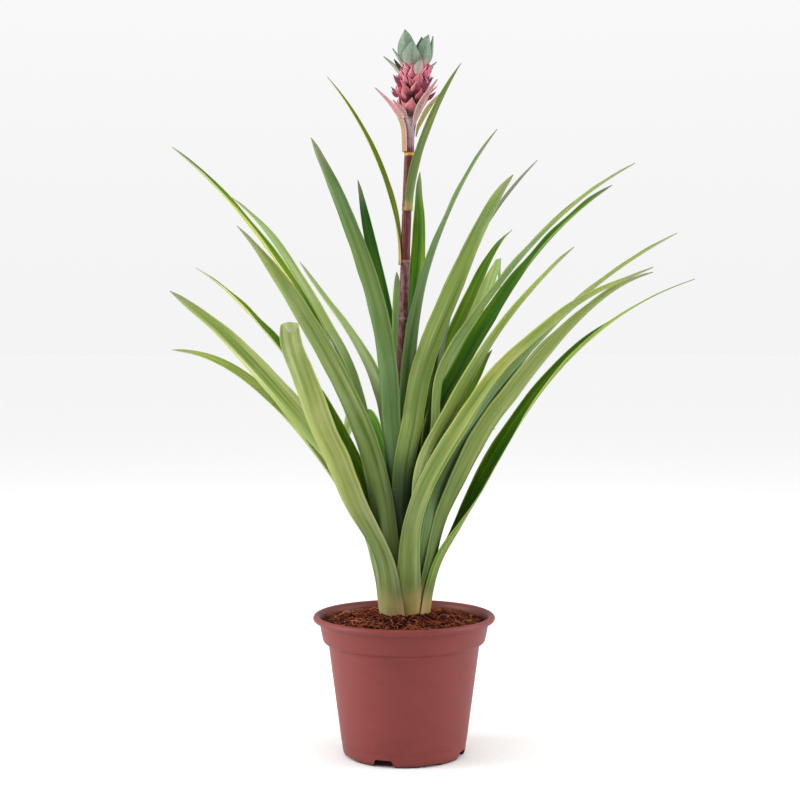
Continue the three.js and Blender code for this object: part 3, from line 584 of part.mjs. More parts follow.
    [21.9, -44.93, 282.39, 0.9395, 0.3267, -0.1032, -0.1801, 0.7271, 0.6625, 7.08, 2.55, 0.78],
    [30.81, -63.21, 304.07, 0.9117, 0.4097, -0.0319, -0.2758, 0.6676, 0.6916, 6.69, 2.41, 0.73],
    [39.86, -81.7, 325.53, 0.8933, 0.4493, 0.0115, -0.3314, 0.6412, 0.6922, 5.81, 2.09, 0.68],
    [49.12, -100.72, 346.38, 0.9032, 0.4292, -0.0104, -0.278, 0.6032, 0.7475, 4.33, 1.56, 0.63],
    [56.83, -116.54, 359.97, 0.9152, 0.397, -0.0686, -0.1654, 0.5255, 0.8346, 2.56, 0.92, 0.6],
    [61.86, -126.84, 366.83, 0.9201, 0.3717, -0.1234, -0.0879, 0.5031, 0.8598, 0.28, 0, 0.58],
  ],
  leaf_back_left_upper: [
    [-2.33, 6.39, 123.42, -0.9413, -0.3366, 0.0272, 0.335, -0.9203, 0.2022, 4.77, 1.93, 1.05],
    [-2.75, 8.8, 136.35, -0.9416, -0.3344, 0.0401, 0.3367, -0.9318, 0.1357, 5.53, 2.23, 1.03],
    [-2.69, 10.51, 149.2, -0.9415, -0.3323, 0.0561, 0.3369, -0.9301, 0.1465, 6.1, 2.41, 1.01],
    [-2.79, 13.44, 163.3, -0.9415, -0.3309, 0.0633, 0.3362, -0.9112, 0.2382, 6.67, 2.53, 0.98],
    [-3.27, 17.1, 177.29, -0.9365, -0.3472, 0.0501, 0.3492, -0.9089, 0.228, 7.19, 2.63, 0.96],
    [-3.21, 20.68, 194.12, -0.9136, -0.3842, 0.1335, 0.4034, -0.8977, 0.1771, 7.49, 2.7, 0.93],
    [-2.16, 26.17, 213.02, -0.8686, -0.4664, 0.1671, 0.4951, -0.8093, 0.316, 7.49, 2.7, 0.9],
    [-4.83, 36.05, 233.59, -0.7922, -0.5872, 0.1661, 0.5923, -0.6745, 0.4408, 7.49, 2.7, 0.86],
    [-8.17, 47.07, 256.93, -0.6602, -0.7137, 0.2342, 0.7396, -0.5633, 0.3684, 7.49, 2.7, 0.82],
    [-12.05, 57.73, 280.23, -0.6192, -0.7531, 0.2225, 0.7671, -0.5196, 0.3762, 7.47, 2.69, 0.78],
    [-17.25, 69.09, 306.16, -0.7013, -0.6965, 0.1515, 0.6873, -0.6045, 0.4028, 7.07, 2.54, 0.73],
    [-22.72, 80.08, 332.2, -0.7579, -0.6427, 0.1118, 0.6247, -0.6656, 0.4083, 6.13, 2.21, 0.68],
    [-27.92, 91.1, 358.29, -0.7406, -0.6566, 0.1429, 0.65, -0.6461, 0.4002, 4.57, 1.64, 0.63],
    [-31.37, 99.68, 377.79, -0.6972, -0.6893, 0.1967, 0.7014, -0.5994, 0.3858, 2.7, 0.97, 0.6],
    [-33.21, 105.01, 389.46, -0.6529, -0.7215, 0.2307, 0.7445, -0.5551, 0.371, 0.28, 0, 0.58],
  ],
  leaf_front_left_upper: [
    [-3.46, -6, 125.06, 0.8642, -0.5027, 0.0196, 0.4933, 0.8544, 0.1634, 4.18, 1.52, 1.05],
    [-4.55, -7.39, 138.41, 0.8647, -0.5022, 0.0128, 0.4997, 0.8625, 0.0798, 4.9, 1.78, 1.03],
    [-5.07, -8.16, 151.71, 0.8653, -0.5013, -0.003, 0.5002, 0.863, 0.0714, 5.43, 1.97, 1.01],
    [-5.5, -9.16, 166.45, 0.8656, -0.5006, -0.013, 0.4997, 0.8618, 0.0871, 5.96, 2.16, 0.98],
    [-6.19, -10.95, 181.13, 0.8749, -0.4835, -0.026, 0.4806, 0.8604, 0.1698, 6.45, 2.33, 0.96],
    [-7.41, -13.86, 198.77, 0.9026, -0.4302, 0.0125, 0.4227, 0.8915, 0.1633, 6.74, 2.42, 0.93],
    [-9.36, -17.64, 219.56, 0.9374, -0.3463, -0.0375, 0.3413, 0.8893, 0.3043, 6.74, 2.42, 0.9],
    [-10.27, -27.63, 241.29, 0.9385, -0.3322, -0.0944, 0.3418, 0.854, 0.3923, 6.74, 2.42, 0.86],
    [-12.75, -37.09, 266.15, 0.9012, -0.4318, -0.036, 0.4125, 0.8295, 0.3766, 6.74, 2.42, 0.82],
    [-17.45, -47.21, 290.43, 0.8813, -0.4726, -0.0001, 0.4203, 0.7837, 0.4574, 6.71, 2.42, 0.78],
    [-24.79, -60.01, 316.2, 0.8805, -0.4734, 0.0255, 0.3887, 0.7517, 0.5327, 6.35, 2.29, 0.73],
    [-33.35, -74.48, 340.69, 0.8868, -0.4604, 0.0388, 0.3494, 0.7233, 0.5956, 5.51, 1.98, 0.68],
    [-42.64, -90.59, 363.86, 0.8987, -0.4353, 0.0536, 0.2989, 0.6972, 0.6515, 4.11, 1.48, 0.63],
    [-49.87, -103.74, 380.33, 0.9108, -0.407, 0.0694, 0.2516, 0.6804, 0.6883, 2.43, 0.87, 0.6],
    [-54.26, -111.99, 389.89, 0.9173, -0.3895, 0.0828, 0.2254, 0.6794, 0.6982, 0.28, 0, 0.58],
  ],
  leaf_front_right_upper: [
    [5.66, -3.27, 126.71, 0.5, 0.866, -0.0001, -0.8546, 0.4934, 0.1616, 3.96, 1.44, 1.05],
    [7.34, -4.23, 140.15, 0.4999, 0.8661, -0.0011, -0.862, 0.4977, 0.0959, 5.12, 1.86, 1.03],
    [7.86, -4.47, 153.59, 0.4997, 0.8661, -0.0102, -0.8662, 0.4997, -0.0026, 5.97, 2.17, 1.01],
    [7.32, -3.76, 168.51, 0.5008, 0.8649, -0.0342, -0.8624, 0.4952, -0.1046, 6.83, 2.47, 0.98],
    [6.02, -2.41, 183.38, 0.5168, 0.8557, -0.0246, -0.8527, 0.512, -0.1042, 7.62, 2.75, 0.96],
    [5.03, -1.93, 201.22, 0.5748, 0.8169, 0.0487, -0.8164, 0.5765, -0.0342, 8.07, 2.91, 0.93],
    [3.92, -2.89, 222.25, 0.6384, 0.7678, 0.0549, -0.7694, 0.6384, 0.0187, 8.07, 2.91, 0.9],
    [4.46, -4.43, 246.13, 0.6274, 0.7781, 0.0298, -0.7768, 0.6227, 0.0943, 8.07, 2.91, 0.86],
    [6.76, -7.45, 272.73, 0.5277, 0.8472, 0.0619, -0.8411, 0.511, 0.1774, 8.07, 2.91, 0.82],
    [10.98, -12.38, 298.79, 0.4153, 0.901, 0.1251, -0.888, 0.3717, 0.2707, 8.05, 2.9, 0.78],
    [18.27, -20.44, 326.56, 0.2625, 0.9341, 0.2418, -0.9205, 0.1672, 0.3532, 7.61, 2.74, 0.73],
    [28.06, -31.1, 352.65, 0.195, 0.9166, 0.349, -0.9113, 0.0377, 0.4101, 6.61, 2.38, 0.68],
    [39.86, -44.19, 376.73, 0.2468, 0.8772, 0.4118, -0.8689, 0.0121, 0.4948, 4.92, 1.77, 0.63],
    [50.09, -55.63, 393, 0.3263, 0.8411, 0.4314, -0.8111, 0.0148, 0.5847, 2.91, 1.05, 0.6],
    [56.77, -63.06, 401.99, 0.385, 0.828, 0.4077, -0.7736, 0.0486, 0.6318, 0.28, 0, 0.58],
  ],
  leaf_back_upper: [
    [3.12, 5.88, 128.35, -0.884, 0.4671, -0.0185, -0.4649, -0.8744, 0.1386, 3.73, 1.36, 1.05],
    [3.39, 7.06, 140.58, -0.8841, 0.4656, -0.0386, -0.467, -0.8831, 0.0441, 4.87, 1.77, 1.03],
    [3.13, 8.04, 152.78, -0.8834, 0.4622, -0.0774, -0.4678, -0.8792, 0.0897, 5.71, 2.07, 1.01],
    [2.33, 9.83, 166.36, -0.8781, 0.4523, -0.1561, -0.4652, -0.8833, 0.0585, 6.54, 2.37, 0.98],
    [-0.16, 11.17, 180.18, -0.8635, 0.4559, -0.2157, -0.4602, -0.8872, -0.0332, 7.32, 2.64, 0.96],
    [-1.34, 13.32, 196.04, -0.8456, 0.5337, -0.0117, -0.5198, -0.8186, 0.2443, 7.77, 2.8, 0.93],
    [2.05, 17.75, 215.6, -0.8142, 0.571, -0.1052, -0.5714, -0.7533, 0.3256, 7.77, 2.8, 0.9],
    [3.31, 29.35, 234.34, -0.7666, 0.5545, -0.324, -0.6409, -0.6257, 0.4448, 7.77, 2.8, 0.86],
    [4.46, 39.59, 256.28, -0.6426, 0.7286, -0.2372, -0.7643, -0.5876, 0.2656, 7.77, 2.8, 0.82],
    [6.06, 47.57, 279.38, -0.6119, 0.7678, -0.1902, -0.7872, -0.5677, 0.241, 7.74, 2.79, 0.78],
    [8.52, 54.45, 305.58, -0.7326, 0.6774, -0.0663, -0.6731, -0.7066, 0.2185, 7.32, 2.64, 0.73],
    [10.98, 59.16, 332.27, -0.8127, 0.5813, -0.0407, -0.5792, -0.7982, 0.1652, 6.36, 2.29, 0.68],
    [11.51, 63.74, 359.09, -0.7973, 0.5909, -0.1229, -0.6033, -0.7858, 0.1361, 4.73, 1.7, 0.63],
    [11.18, 67.63, 379.13, -0.7514, 0.6465, -0.132, -0.6598, -0.7374, 0.1445, 2.8, 1.01, 0.6],
    [11.27, 70.03, 391.14, -0.7023, 0.6999, -0.1301, -0.7117, -0.6866, 0.1483, 0.28, 0, 0.58],
  ],
  leaf_inner_young: [
    [-4.73, 2.51, 130, -0.4691, -0.8831, 0.0033, 0.8766, -0.4661, -0.1195, 3.73, 1.36, 1.05],
    [-4.19, 2.28, 138.52, -0.4689, -0.8832, 0.0106, 0.8833, -0.4689, 0.0013, 4.6, 1.67, 1.03],
    [-4.21, 2.46, 147.03, -0.4689, -0.883, 0.023, 0.8832, -0.4689, 0.0054, 5.24, 1.91, 1.01],
    [-4.17, 2.74, 156.49, -0.4689, -0.8827, 0.032, 0.8833, -0.4686, 0.0166, 5.88, 2.13, 0.98],
    [-4.08, 2.97, 165.94, -0.4707, -0.8823, 0.0074, 0.882, -0.4707, -0.0202, 6.47, 2.34, 0.96],
    [-3.98, 2.33, 177.34, -0.4775, -0.8728, -0.1012, 0.8783, -0.4771, -0.03, 6.81, 2.46, 0.93],
    [-4.32, 1.48, 191.17, -0.4891, -0.8696, 0.0673, 0.8719, -0.4897, 0.0067, 6.81, 2.45, 0.9],
    [-4.47, 5.51, 205.99, -0.4937, -0.8352, 0.2425, 0.8655, -0.4442, 0.2316, 6.81, 2.45, 0.86],
    [-5.03, 8.41, 222.51, -0.5017, -0.8604, 0.0894, 0.8651, -0.4987, 0.0542, 6.81, 2.45, 0.82],
    [-5.05, 10.2, 239.45, -0.5318, -0.8422, 0.0888, 0.8469, -0.5288, 0.0566, 6.79, 2.44, 0.78],
    [-5.06, 12.17, 258.28, -0.639, -0.7652, 0.0785, 0.7692, -0.6357, 0.0649, 6.42, 2.31, 0.73],
    [-5.04, 14.01, 277.11, -0.7549, -0.6529, 0.0614, 0.6558, -0.7519, 0.0679, 5.57, 2.01, 0.68],
    [-4.98, 15.59, 295.97, -0.8411, -0.5392, 0.0436, 0.5409, -0.8389, 0.0602, 4.15, 1.49, 0.63],
    [-4.91, 16.52, 310.13, -0.8958, -0.4434, 0.031, 0.4444, -0.8945, 0.0488, 2.45, 0.88, 0.6],
    [-4.86, 16.98, 318.64, -0.9238, -0.3819, 0.026, 0.3827, -0.9228, 0.0451, 0.28, 0, 0.58],
  ],
};
const YOUNG = new Set(['leaf_inner_young', 'leaf_front_left_arching']);
for (const [name, rows] of Object.entries(LEAVES)) add(name, leafSolid(rows), YOUNG.has(name) ? 'young' : 'leaf');

// ---- leaves on the flower stalk, clasping it at their base ----
const STALK_LEAVES = {
  stalk_leaf_left: [
    [-3.28, 0.02, 322.51, -0.0345, -0.9994, 0.0081, 0.9981, -0.0349, -0.0512, 3, 1.4, 0.84],
    [-3.12, 0.48, 331.05, -0.1421, -0.9845, 0.1029, 0.9896, -0.1389, 0.037, 3.18, 1.37, 0.83],
    [-3.63, 1.75, 339.48, -0.2593, -0.9535, 0.1538, 0.9612, -0.2392, 0.1375, 3.34, 1.25, 0.82],
    [-5.17, 4.15, 350.53, -0.403, -0.9045, 0.1398, 0.8989, -0.3624, 0.2462, 3.5, 1.26, 0.81],
    [-8.18, 7.35, 364.08, -0.5183, -0.8527, 0.0649, 0.8183, -0.4724, 0.3275, 3.69, 1.33, 0.8],
    [-12.64, 10.81, 378.71, -0.5101, -0.8597, 0.0285, 0.7992, -0.4614, 0.3852, 3.62, 1.3, 0.74],
    [-18.63, 14.54, 394.29, -0.4992, -0.8665, -0.0019, 0.7787, -0.4496, 0.4376, 3.53, 1.27, 0.69],
    [-26.27, 18.59, 410.68, -0.4865, -0.8733, -0.0269, 0.7524, -0.4344, 0.4952, 2.98, 1.07, 0.62],
    [-35.07, 22.76, 426.44, -0.4739, -0.8795, -0.044, 0.7206, -0.4161, 0.5546, 2.34, 0.84, 0.55],
    [-43.41, 26.49, 439.19, -0.4643, -0.8841, -0.0525, 0.689, -0.3978, 0.6059, 1.31, 0.47, 0.5],
    [-49.12, 28.99, 446.98, -0.4591, -0.8867, -0.0551, 0.6665, -0.3848, 0.6385, 0.59, 0.21, 0.46],
    [-51.66, 30.1, 450.24, -0.4576, -0.8874, -0.0555, 0.6585, -0.3802, 0.6495, 0.25, 0.05, 0.45],
  ],
  stalk_leaf_right: [
    [3.62, -3.36, 357.51, 0.8828, 0.4693, -0.021, -0.4695, 0.8829, -0.0011, 3, 1.4, 0.84],
    [3.89, -3.54, 363.63, 0.8468, 0.5314, -0.0221, -0.5268, 0.8437, 0.1032, 3.18, 1.42, 0.83],
    [4.51, -4.27, 369.67, 0.808, 0.5891, -0.0113, -0.5746, 0.792, 0.2065, 3.4, 1.38, 0.82],
    [5.86, -5.96, 377.54, 0.7551, 0.6554, 0.0162, -0.6259, 0.7132, 0.3157, 3.8, 1.37, 0.81],
    [8.19, -8.89, 387.03, 0.6883, 0.7231, 0.0583, -0.6779, 0.6125, 0.4065, 4.28, 1.54, 0.8],
    [11.39, -12.71, 397.09, 0.6236, 0.7762, 0.093, -0.7182, 0.5218, 0.4603, 4.21, 1.51, 0.74],
    [15.42, -17.04, 407.81, 0.6158, 0.7851, 0.066, -0.7071, 0.5137, 0.4859, 4.1, 1.48, 0.69],
    [20.28, -21.49, 419.32, 0.6035, 0.7967, 0.0339, -0.6972, 0.5065, 0.5074, 3.46, 1.25, 0.62],
    [25.72, -25.93, 430.58, 0.5985, 0.8009, 0.0202, -0.6735, 0.4893, 0.5541, 2.72, 0.98, 0.55],
    [30.83, -29.99, 439.71, 0.6017, 0.7984, 0.0228, -0.6414, 0.466, 0.6095, 1.52, 0.55, 0.5],
    [34.33, -32.83, 445.26, 0.6079, 0.7934, 0.0298, -0.6151, 0.4469, 0.6496, 0.67, 0.24, 0.46],
    [35.88, -34.12, 447.57, 0.6107, 0.7911, 0.0328, -0.6053, 0.4398, 0.6634, 0.25, 0.05, 0.45],
  ],
};
for (const [name, rows] of Object.entries(STALK_LEAVES)) add(name, leafSolid(rows), 'leaf');

// ---- flower stalk ----
const STALK_LINE = [[0, 131.8], [-0.7, 175], [-1.3, 222], [-1.4, 263], [0, 300], [0.9, 332], [1.9, 360], [3.2, 395], [4.0, 418.4]];
{
  const path = new THREE.CatmullRomCurve3(STALK_LINE.map(([x, z]) => V3(x, 0, z)));
  const round = new THREE.Shape(Array.from({ length: 10 }, (_, k) => new THREE.Vector2(STALK_R * Math.cos(k * Math.PI / 5), STALK_R * Math.sin(k * Math.PI / 5))));
  add('flower_stalk', new THREE.ExtrudeGeometry(round, { steps: 22, extrudePath: path, bevelEnabled: false }), 'stalk');
}

// a small blade through a few points: azimuth of its outer face, half widths,
// channel depth as a share of the half width, thickness
function blade(line, az, halves, channel, thick, steps = 7) {
  const curve = new THREE.CatmullRomCurve3(line.map((p) => V3(...p)));
  const a = rad(az);
  let across = V3(-Math.sin(a), Math.cos(a), 0);
  const rows = [];
  for (let k = 0; k <= steps; k++) {
    const u = k / steps;
    const p = curve.getPointAt(u);
    const d = curve.getTangentAt(u);
    across = across.clone().addScaledVector(d, -across.dot(d)).normalize();
    const n = d.clone().cross(across);
    const f = u * (halves.length - 1);
    const i = Math.min(Math.floor(f), halves.length - 2);
    const half = halves[i] + (halves[i + 1] - halves[i]) * (f - i);
    rows.push([p.x, p.y, p.z, across.x, across.y, across.z, n.x, n.y, n.z, half, half * channel, thick * (1 - 0.4 * u)]);
  }
  return leafSolid(rows, [-1, 0, 1]);
}

// ---- bracts below the fruit ----
const BRACTS = {
  bract_left: { line: [[-0.6, -1.9, 396], [-0.8, -2, 404], [-1.4, -1.9, 412], [-4, -1.7, 419.2], [-8.5, -1.4, 426], [-13.6, -1.2, 432], [-19.2, -1.2, 437.8]], az: -150, halves: [2.9, 2.9, 3, 3, 2.4, 1.4, 0.3], channel: 0.42 },
  bract_right: { line: [[7.9, -0.6, 406], [9.4, -0.9, 411], [11.9, -0.9, 416], [15.4, -0.5, 422.2], [19.6, -0.1, 428.6], [24.2, 0.2, 434.6]], az: -28, halves: [0.5, 2.2, 3, 2.9, 1.8, 0.3], channel: 0.42 },
  bract_front_right: { line: [[6.4, -4.1, 412.6], [8.6, -6.6, 419], [12.6, -9.4, 427.2], [17.2, -10.6, 435], [21.6, -11.2, 441.4]], az: -58, halves: [0.9, 2.7, 2.7, 1.7, 0.3], channel: 0.4 },
  bract_front_left: { line: [[1.6, -5.3, 417], [-1.2, -7.9, 420.6], [-4, -9.7, 424], [-7.4, -10.9, 428.2]], az: -122, halves: [0.9, 2.6, 1.9, 0.3], channel: 0.4 },
  bract_back: { line: [[4, 4.3, 412.6], [3.6, 8.4, 419.4], [3, 12.6, 427.2], [2.4, 17.4, 435.6]], az: 93, halves: [0.9, 2.9, 2.1, 0.3], channel: 0.4 },
};
for (const [name, b] of Object.entries(BRACTS)) add(name, blade(b.line, b.az, b.halves, b.channel, 0.75, 8), 'bract');

// ---- crown: stiff scales that overlap like a bud ----
const CROWN = {
  crown_scale_front: { line: [[4.2, -6.6, 450.2], [4.2, -8.7, 455.2], [4.5, -8.7, 460.2], [5.1, -7.3, 464.2], [5.7, -5.4, 467.7]], az: -92, halves: [4, 6, 6.2, 3.6, 0.3], channel: 0.4 },
  crown_scale_left: { line: [[0.8, -1.7, 453.6], [0.5, -3.5, 459.5], [0.4, -3.6, 465.5], [0.5, -2.8, 470.8], [0.5, -1.2, 475.4]], az: -115, halves: [2.8, 5.6, 6, 4.2, 0.3], channel: 0.36 },
  crown_scale_right: { line: [[12.2, -2.8, 451.8], [13.4, -4.1, 457.5], [13.9, -4.5, 462.5], [14.8, -3.9, 467.5], [16, -2.7, 471.7]], az: -68, halves: [2.6, 4.9, 5, 3.4, 0.3], channel: 0.36 },
  crown_scale_back_tall: { line: [[10, 3.4, 454.6], [11.2, 4.5, 463], [11.6, 3.7, 471.7]], az: 68, halves: [2.4, 4.2, 0.3], channel: 0.36 },
  crown_scale_low_front: { line: [[8.6, -9.5, 444.9], [9.3, -11.3, 448.2], [10.1, -11.6, 451.2], [11.3, -10.9, 454.6]], az: -80, halves: [1.8, 3.5, 2.7, 0.3], channel: 0.36 },
  crown_scale_thin_left: { line: [[-1.4, -3.2, 451.8], [-4.2, -4.4, 456.9], [-7.6, -5, 462.4]], az: -165, halves: [1.8, 1.8, 0.3], channel: 0.4 },
  crown_scale_low_left: { line: [[-3, -1.2, 446.4], [-7.4, -1.6, 451.9], [-13.4, -1.8, 457.9]], az: -175, halves: [2.9, 2.3, 0.3], channel: 0.4 },
  crown_scale_back_left_small: { line: [[-2.4, 3.8, 449.6], [-4.9, 4.8, 453.6], [-6.6, 5.2, 457.5]], az: 140, halves: [2.4, 2.3, 0.3], channel: 0.4 },
  crown_scale_low_right: { line: [[15.2, 0.6, 448], [17.9, 0.9, 451.4], [21.2, 0.9, 454.8]], az: 2, halves: [2.4, 2, 0.3], channel: 0.4 },
  crown_scale_back_left: { line: [[1.8, 3.4, 455], [-0.9, 4.6, 460.5], [-1.6, 4.4, 466]], az: 145, halves: [2.4, 3.3, 0.3], channel: 0.36 },
  crown_scale_back: { line: [[6.4, 7.8, 451], [6.4, 9.6, 459], [6.9, 7.6, 467.2]], az: 92, halves: [3.4, 5.2, 0.3], channel: 0.4 },
  crown_scale_back_right: { line: [[14.9, 3.6, 452.4], [17.9, 4.4, 458.5], [18.6, 4.4, 464.5], [18.9, 3.2, 472.2]], az: 8, halves: [2.4, 3.7, 3.5, 0.3], channel: 0.36 },
};

// ---- fruit: one grown body, a core set with pointed floral bracts ----
const fruitAxis = (z) => V3(4.2 + (z - 419) * 0.1, 0, z);
const CORE = [[0, 418.9], [3.0, 418.9], [5.0, 421], [7.6, 425], [9.0, 431], [9.0, 438], [8.0, 444], [6.6, 449], [4.6, 452.2], [2.2, 453.8], [0, 453.8]];
{
  const core = turned(CORE, 14);
  core.applyMatrix4(new THREE.Matrix4().set(1, 0, 0.1, 4.2 - 41.9, 0, 1, 0, 0, 0, 0, 1, 0, 0, 0, 0, 1));
  let fruit = toSolid(core);
  const ROWS = [[424.5, 6, 10, 8.0], [430.5, 7, 35, 9.2], [436.5, 7, 62, 9.4], [442.0, 6, 20, 8.6], [446.6, 5, 50, 7.4]];
  ROWS.forEach(([z, count, start, reach], r) => {
    for (let k = 0; k < count; k++) {
      const a = rad(start + (k * 360) / count);
      const out = V3(Math.cos(a), Math.sin(a), 0);
      const dir = out.clone().multiplyScalar(0.62).add(V3(0, 0, 0.78)).normalize();
      const tip = new THREE.ConeGeometry(2.5, 8.2 - 0.4 * r, 5);
      tip.applyQuaternion(new THREE.Quaternion().setFromUnitVectors(V3(0, 1, 0), dir));
      const c = fruitAxis(z).addScaledVector(out, reach - 0.6);
      tip.translate(c.x, c.y, c.z);
      fruit = fruit.add(toSolid(tip));
    }
  });
  // keep clear of the bracts that clasp the fruit and of the crown
  for (const b of Object.values(BRACTS)) fruit = fruit.subtract(toSolid(blade(b.line, b.az, b.halves.map((h) => h + 0.45), b.channel, 2.2, 8)));
  for (const b of Object.values(CROWN)) fruit = fruit.subtract(toSolid(blade(b.line, b.az, b.halves.map((h) => h + 0.45), b.channel, 1.9, 6)));
  const parts = fruit.decompose().sort((p, q) => q.volume() - p.volume());
  add('fruit', toGeometry(parts[0]), 'fruit');
}

for (const [name, b] of Object.entries(CROWN)) add(name, blade(b.line, b.az, b.halves, b.channel, 0.95, 6), 'crown');

export default plant;
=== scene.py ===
"""Potted ornamental pineapple: the visual model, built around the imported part."""

import math
import random

import bmesh
import bpy
import numpy as np
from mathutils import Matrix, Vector, noise


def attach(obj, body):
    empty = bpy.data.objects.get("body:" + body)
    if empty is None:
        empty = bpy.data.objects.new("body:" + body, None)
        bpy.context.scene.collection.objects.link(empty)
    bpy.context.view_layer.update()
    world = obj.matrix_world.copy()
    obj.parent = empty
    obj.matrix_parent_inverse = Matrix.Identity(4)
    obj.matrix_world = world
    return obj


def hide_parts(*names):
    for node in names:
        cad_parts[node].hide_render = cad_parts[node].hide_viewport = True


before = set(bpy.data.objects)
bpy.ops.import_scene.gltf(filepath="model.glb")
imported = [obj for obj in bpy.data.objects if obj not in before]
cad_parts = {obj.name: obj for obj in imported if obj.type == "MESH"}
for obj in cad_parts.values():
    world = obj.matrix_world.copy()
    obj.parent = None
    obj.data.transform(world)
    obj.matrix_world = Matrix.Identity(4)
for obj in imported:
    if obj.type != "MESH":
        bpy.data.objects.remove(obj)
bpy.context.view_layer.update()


MM = 0.001


# ---------------------------------------------------------------- node helpers
class Net:
    """A Principled material and short ways to add nodes to it."""

    def __init__(self, name, rough=0.5):
        self.mat = bpy.data.materials.new(name)
        self.mat.use_nodes = True
        self.t = self.mat.node_tree
        self.t.nodes.clear()
        self.out = self.t.nodes.new("ShaderNodeOutputMaterial")
        self.p = self.t.nodes.new("ShaderNodeBsdfPrincipled")
        self.t.links.new(self.p.outputs[0], self.out.inputs[0])
        self.p.inputs["Roughness"].default_value = rough

    def feed(self, socket, value):
        if isinstance(value, bpy.types.NodeSocket):
            self.t.links.new(value, socket)
        elif isinstance(value, (tuple, list)) and len(value) == 3 and socket.type == "RGBA":
            socket.default_value = (*value, 1.0)
        else:
            socket.default_value = value

    def attr(self, name):
        n = self.t.nodes.new("ShaderNodeAttribute")
        n.attribute_name = name
        return n.outputs["Vector"]

    def place(self):
        return self.t.nodes.new("ShaderNodeTexCoord").outputs["Object"]

    def split(self, v):
        n = self.t.nodes.new("ShaderNodeSeparateXYZ")
        self.feed(n.inputs[0], v)
        return n.outputs[0], n.outputs[1], n.outputs[2]

    def vec(self, x, y, z):
        n = self.t.nodes.new("ShaderNodeCombineXYZ")
        for s, v in zip(n.inputs, (x, y, z)):
            self.feed(s, v)
        return n.outputs[0]

    def math(self, op, a, b=0.0, c=0.0, clamp=False):
        n = self.t.nodes.new("ShaderNodeMath")
        n.operation = op
        n.use_clamp = clamp
        for s, v in zip(n.inputs, (a, b, c)):
            self.feed(s, v)
        return n.outputs[0]

    def add(self, a, b):
        return self.math("ADD", a, b)

    def mul(self, a, b, clamp=False):
        return self.math("MULTIPLY", a, b, clamp=clamp)

    def step(self, x, lo, hi, a=0.0, b=1.0):
        n = self.t.nodes.new("ShaderNodeMapRange")
        n.interpolation_type = "SMOOTHSTEP"
        n.clamp = True
        for s, v in zip(n.inputs, (x, lo, hi, a, b)):
            self.feed(s, v)
        return n.outputs[0]

    def noise(self, v, scale=1.0, detail=2.0, rough=0.5, distort=0.0):
        n = self.t.nodes.new("ShaderNodeTexNoise")
        n.noise_dimensions = "3D"
        self.feed(n.inputs["Vector"], v)
        n.inputs["Scale"].default_value = scale
        n.inputs["Detail"].default_value = detail
        n.inputs["Roughness"].default_value = rough
        n.inputs["Distortion"].default_value = distort
        return n.outputs[0]

    def cells(self, v, scale=1.0, feature="F1", spread=1.0):
        n = self.t.nodes.new("ShaderNodeTexVoronoi")
        n.feature = feature
        self.feed(n.inputs["Vector"], v)
        n.inputs["Scale"].default_value = scale
        n.inputs["Randomness"].default_value = spread
        return n.outputs["Distance"], n.outputs["Color"]

    def mix(self, f, a, b, how="MIX"):
        n = self.t.nodes.new("ShaderNodeMix")
        n.data_type = "RGBA"
        n.blend_type = how
        n.clamp_factor = True
        self.feed(n.inputs[0], f)
        self.feed(n.inputs[6], a)
        self.feed(n.inputs[7], b)
        return n.outputs[2]

    def ramp(self, f, stops, how="EASE"):
        n = self.t.nodes.new("ShaderNodeValToRGB")
        n.color_ramp.interpolation = how
        r = n.color_ramp.elements
        while len(r) < len(stops):
            r.new(0.5)
        for e, (at, colour) in zip(r, stops):
            e.position = at
            e.color = (*colour, 1.0)
        self.feed(n.inputs[0], f)
        return n.outputs[0]

    def scale(self, colour, k):
        n = self.t.nodes.new("ShaderNodeVectorMath")
        n.operation = "SCALE"
        self.feed(n.inputs[0], colour)
        self.feed(n.inputs["Scale"], k)
        return n.outputs[0]

    def bump(self, height, distance, strength=1.0, normal=None):
        n = self.t.nodes.new("ShaderNodeBump")
        n.inputs["Strength"].default_value = strength
        n.inputs["Distance"].default_value = distance
        self.feed(n.inputs["Height"], height)
        if normal is not None:
            self.feed(n.inputs["Normal"], normal)
        return n.outputs[0]

    def done(self, colour, rough=None, normal=None, **sockets):
        self.feed(self.p.inputs["Base Color"], colour)
        if rough is not None:
            self.feed(self.p.inputs["Roughness"], rough)
        if normal is not None:
            self.feed(self.p.inputs["Normal"], normal)
        for k, v in sockets.items():
            self.feed(self.p.inputs[k.replace("_", " ")], v)
        return self.mat


def srgb(r, g, b):
    """A colour given the way a paint chart gives it, 0 to 255."""
    return tuple(((c / 255 + 0.055) / 1.055) ** 2.4 if c > 10 else c / 255 / 12.92 for c in (r, g, b))


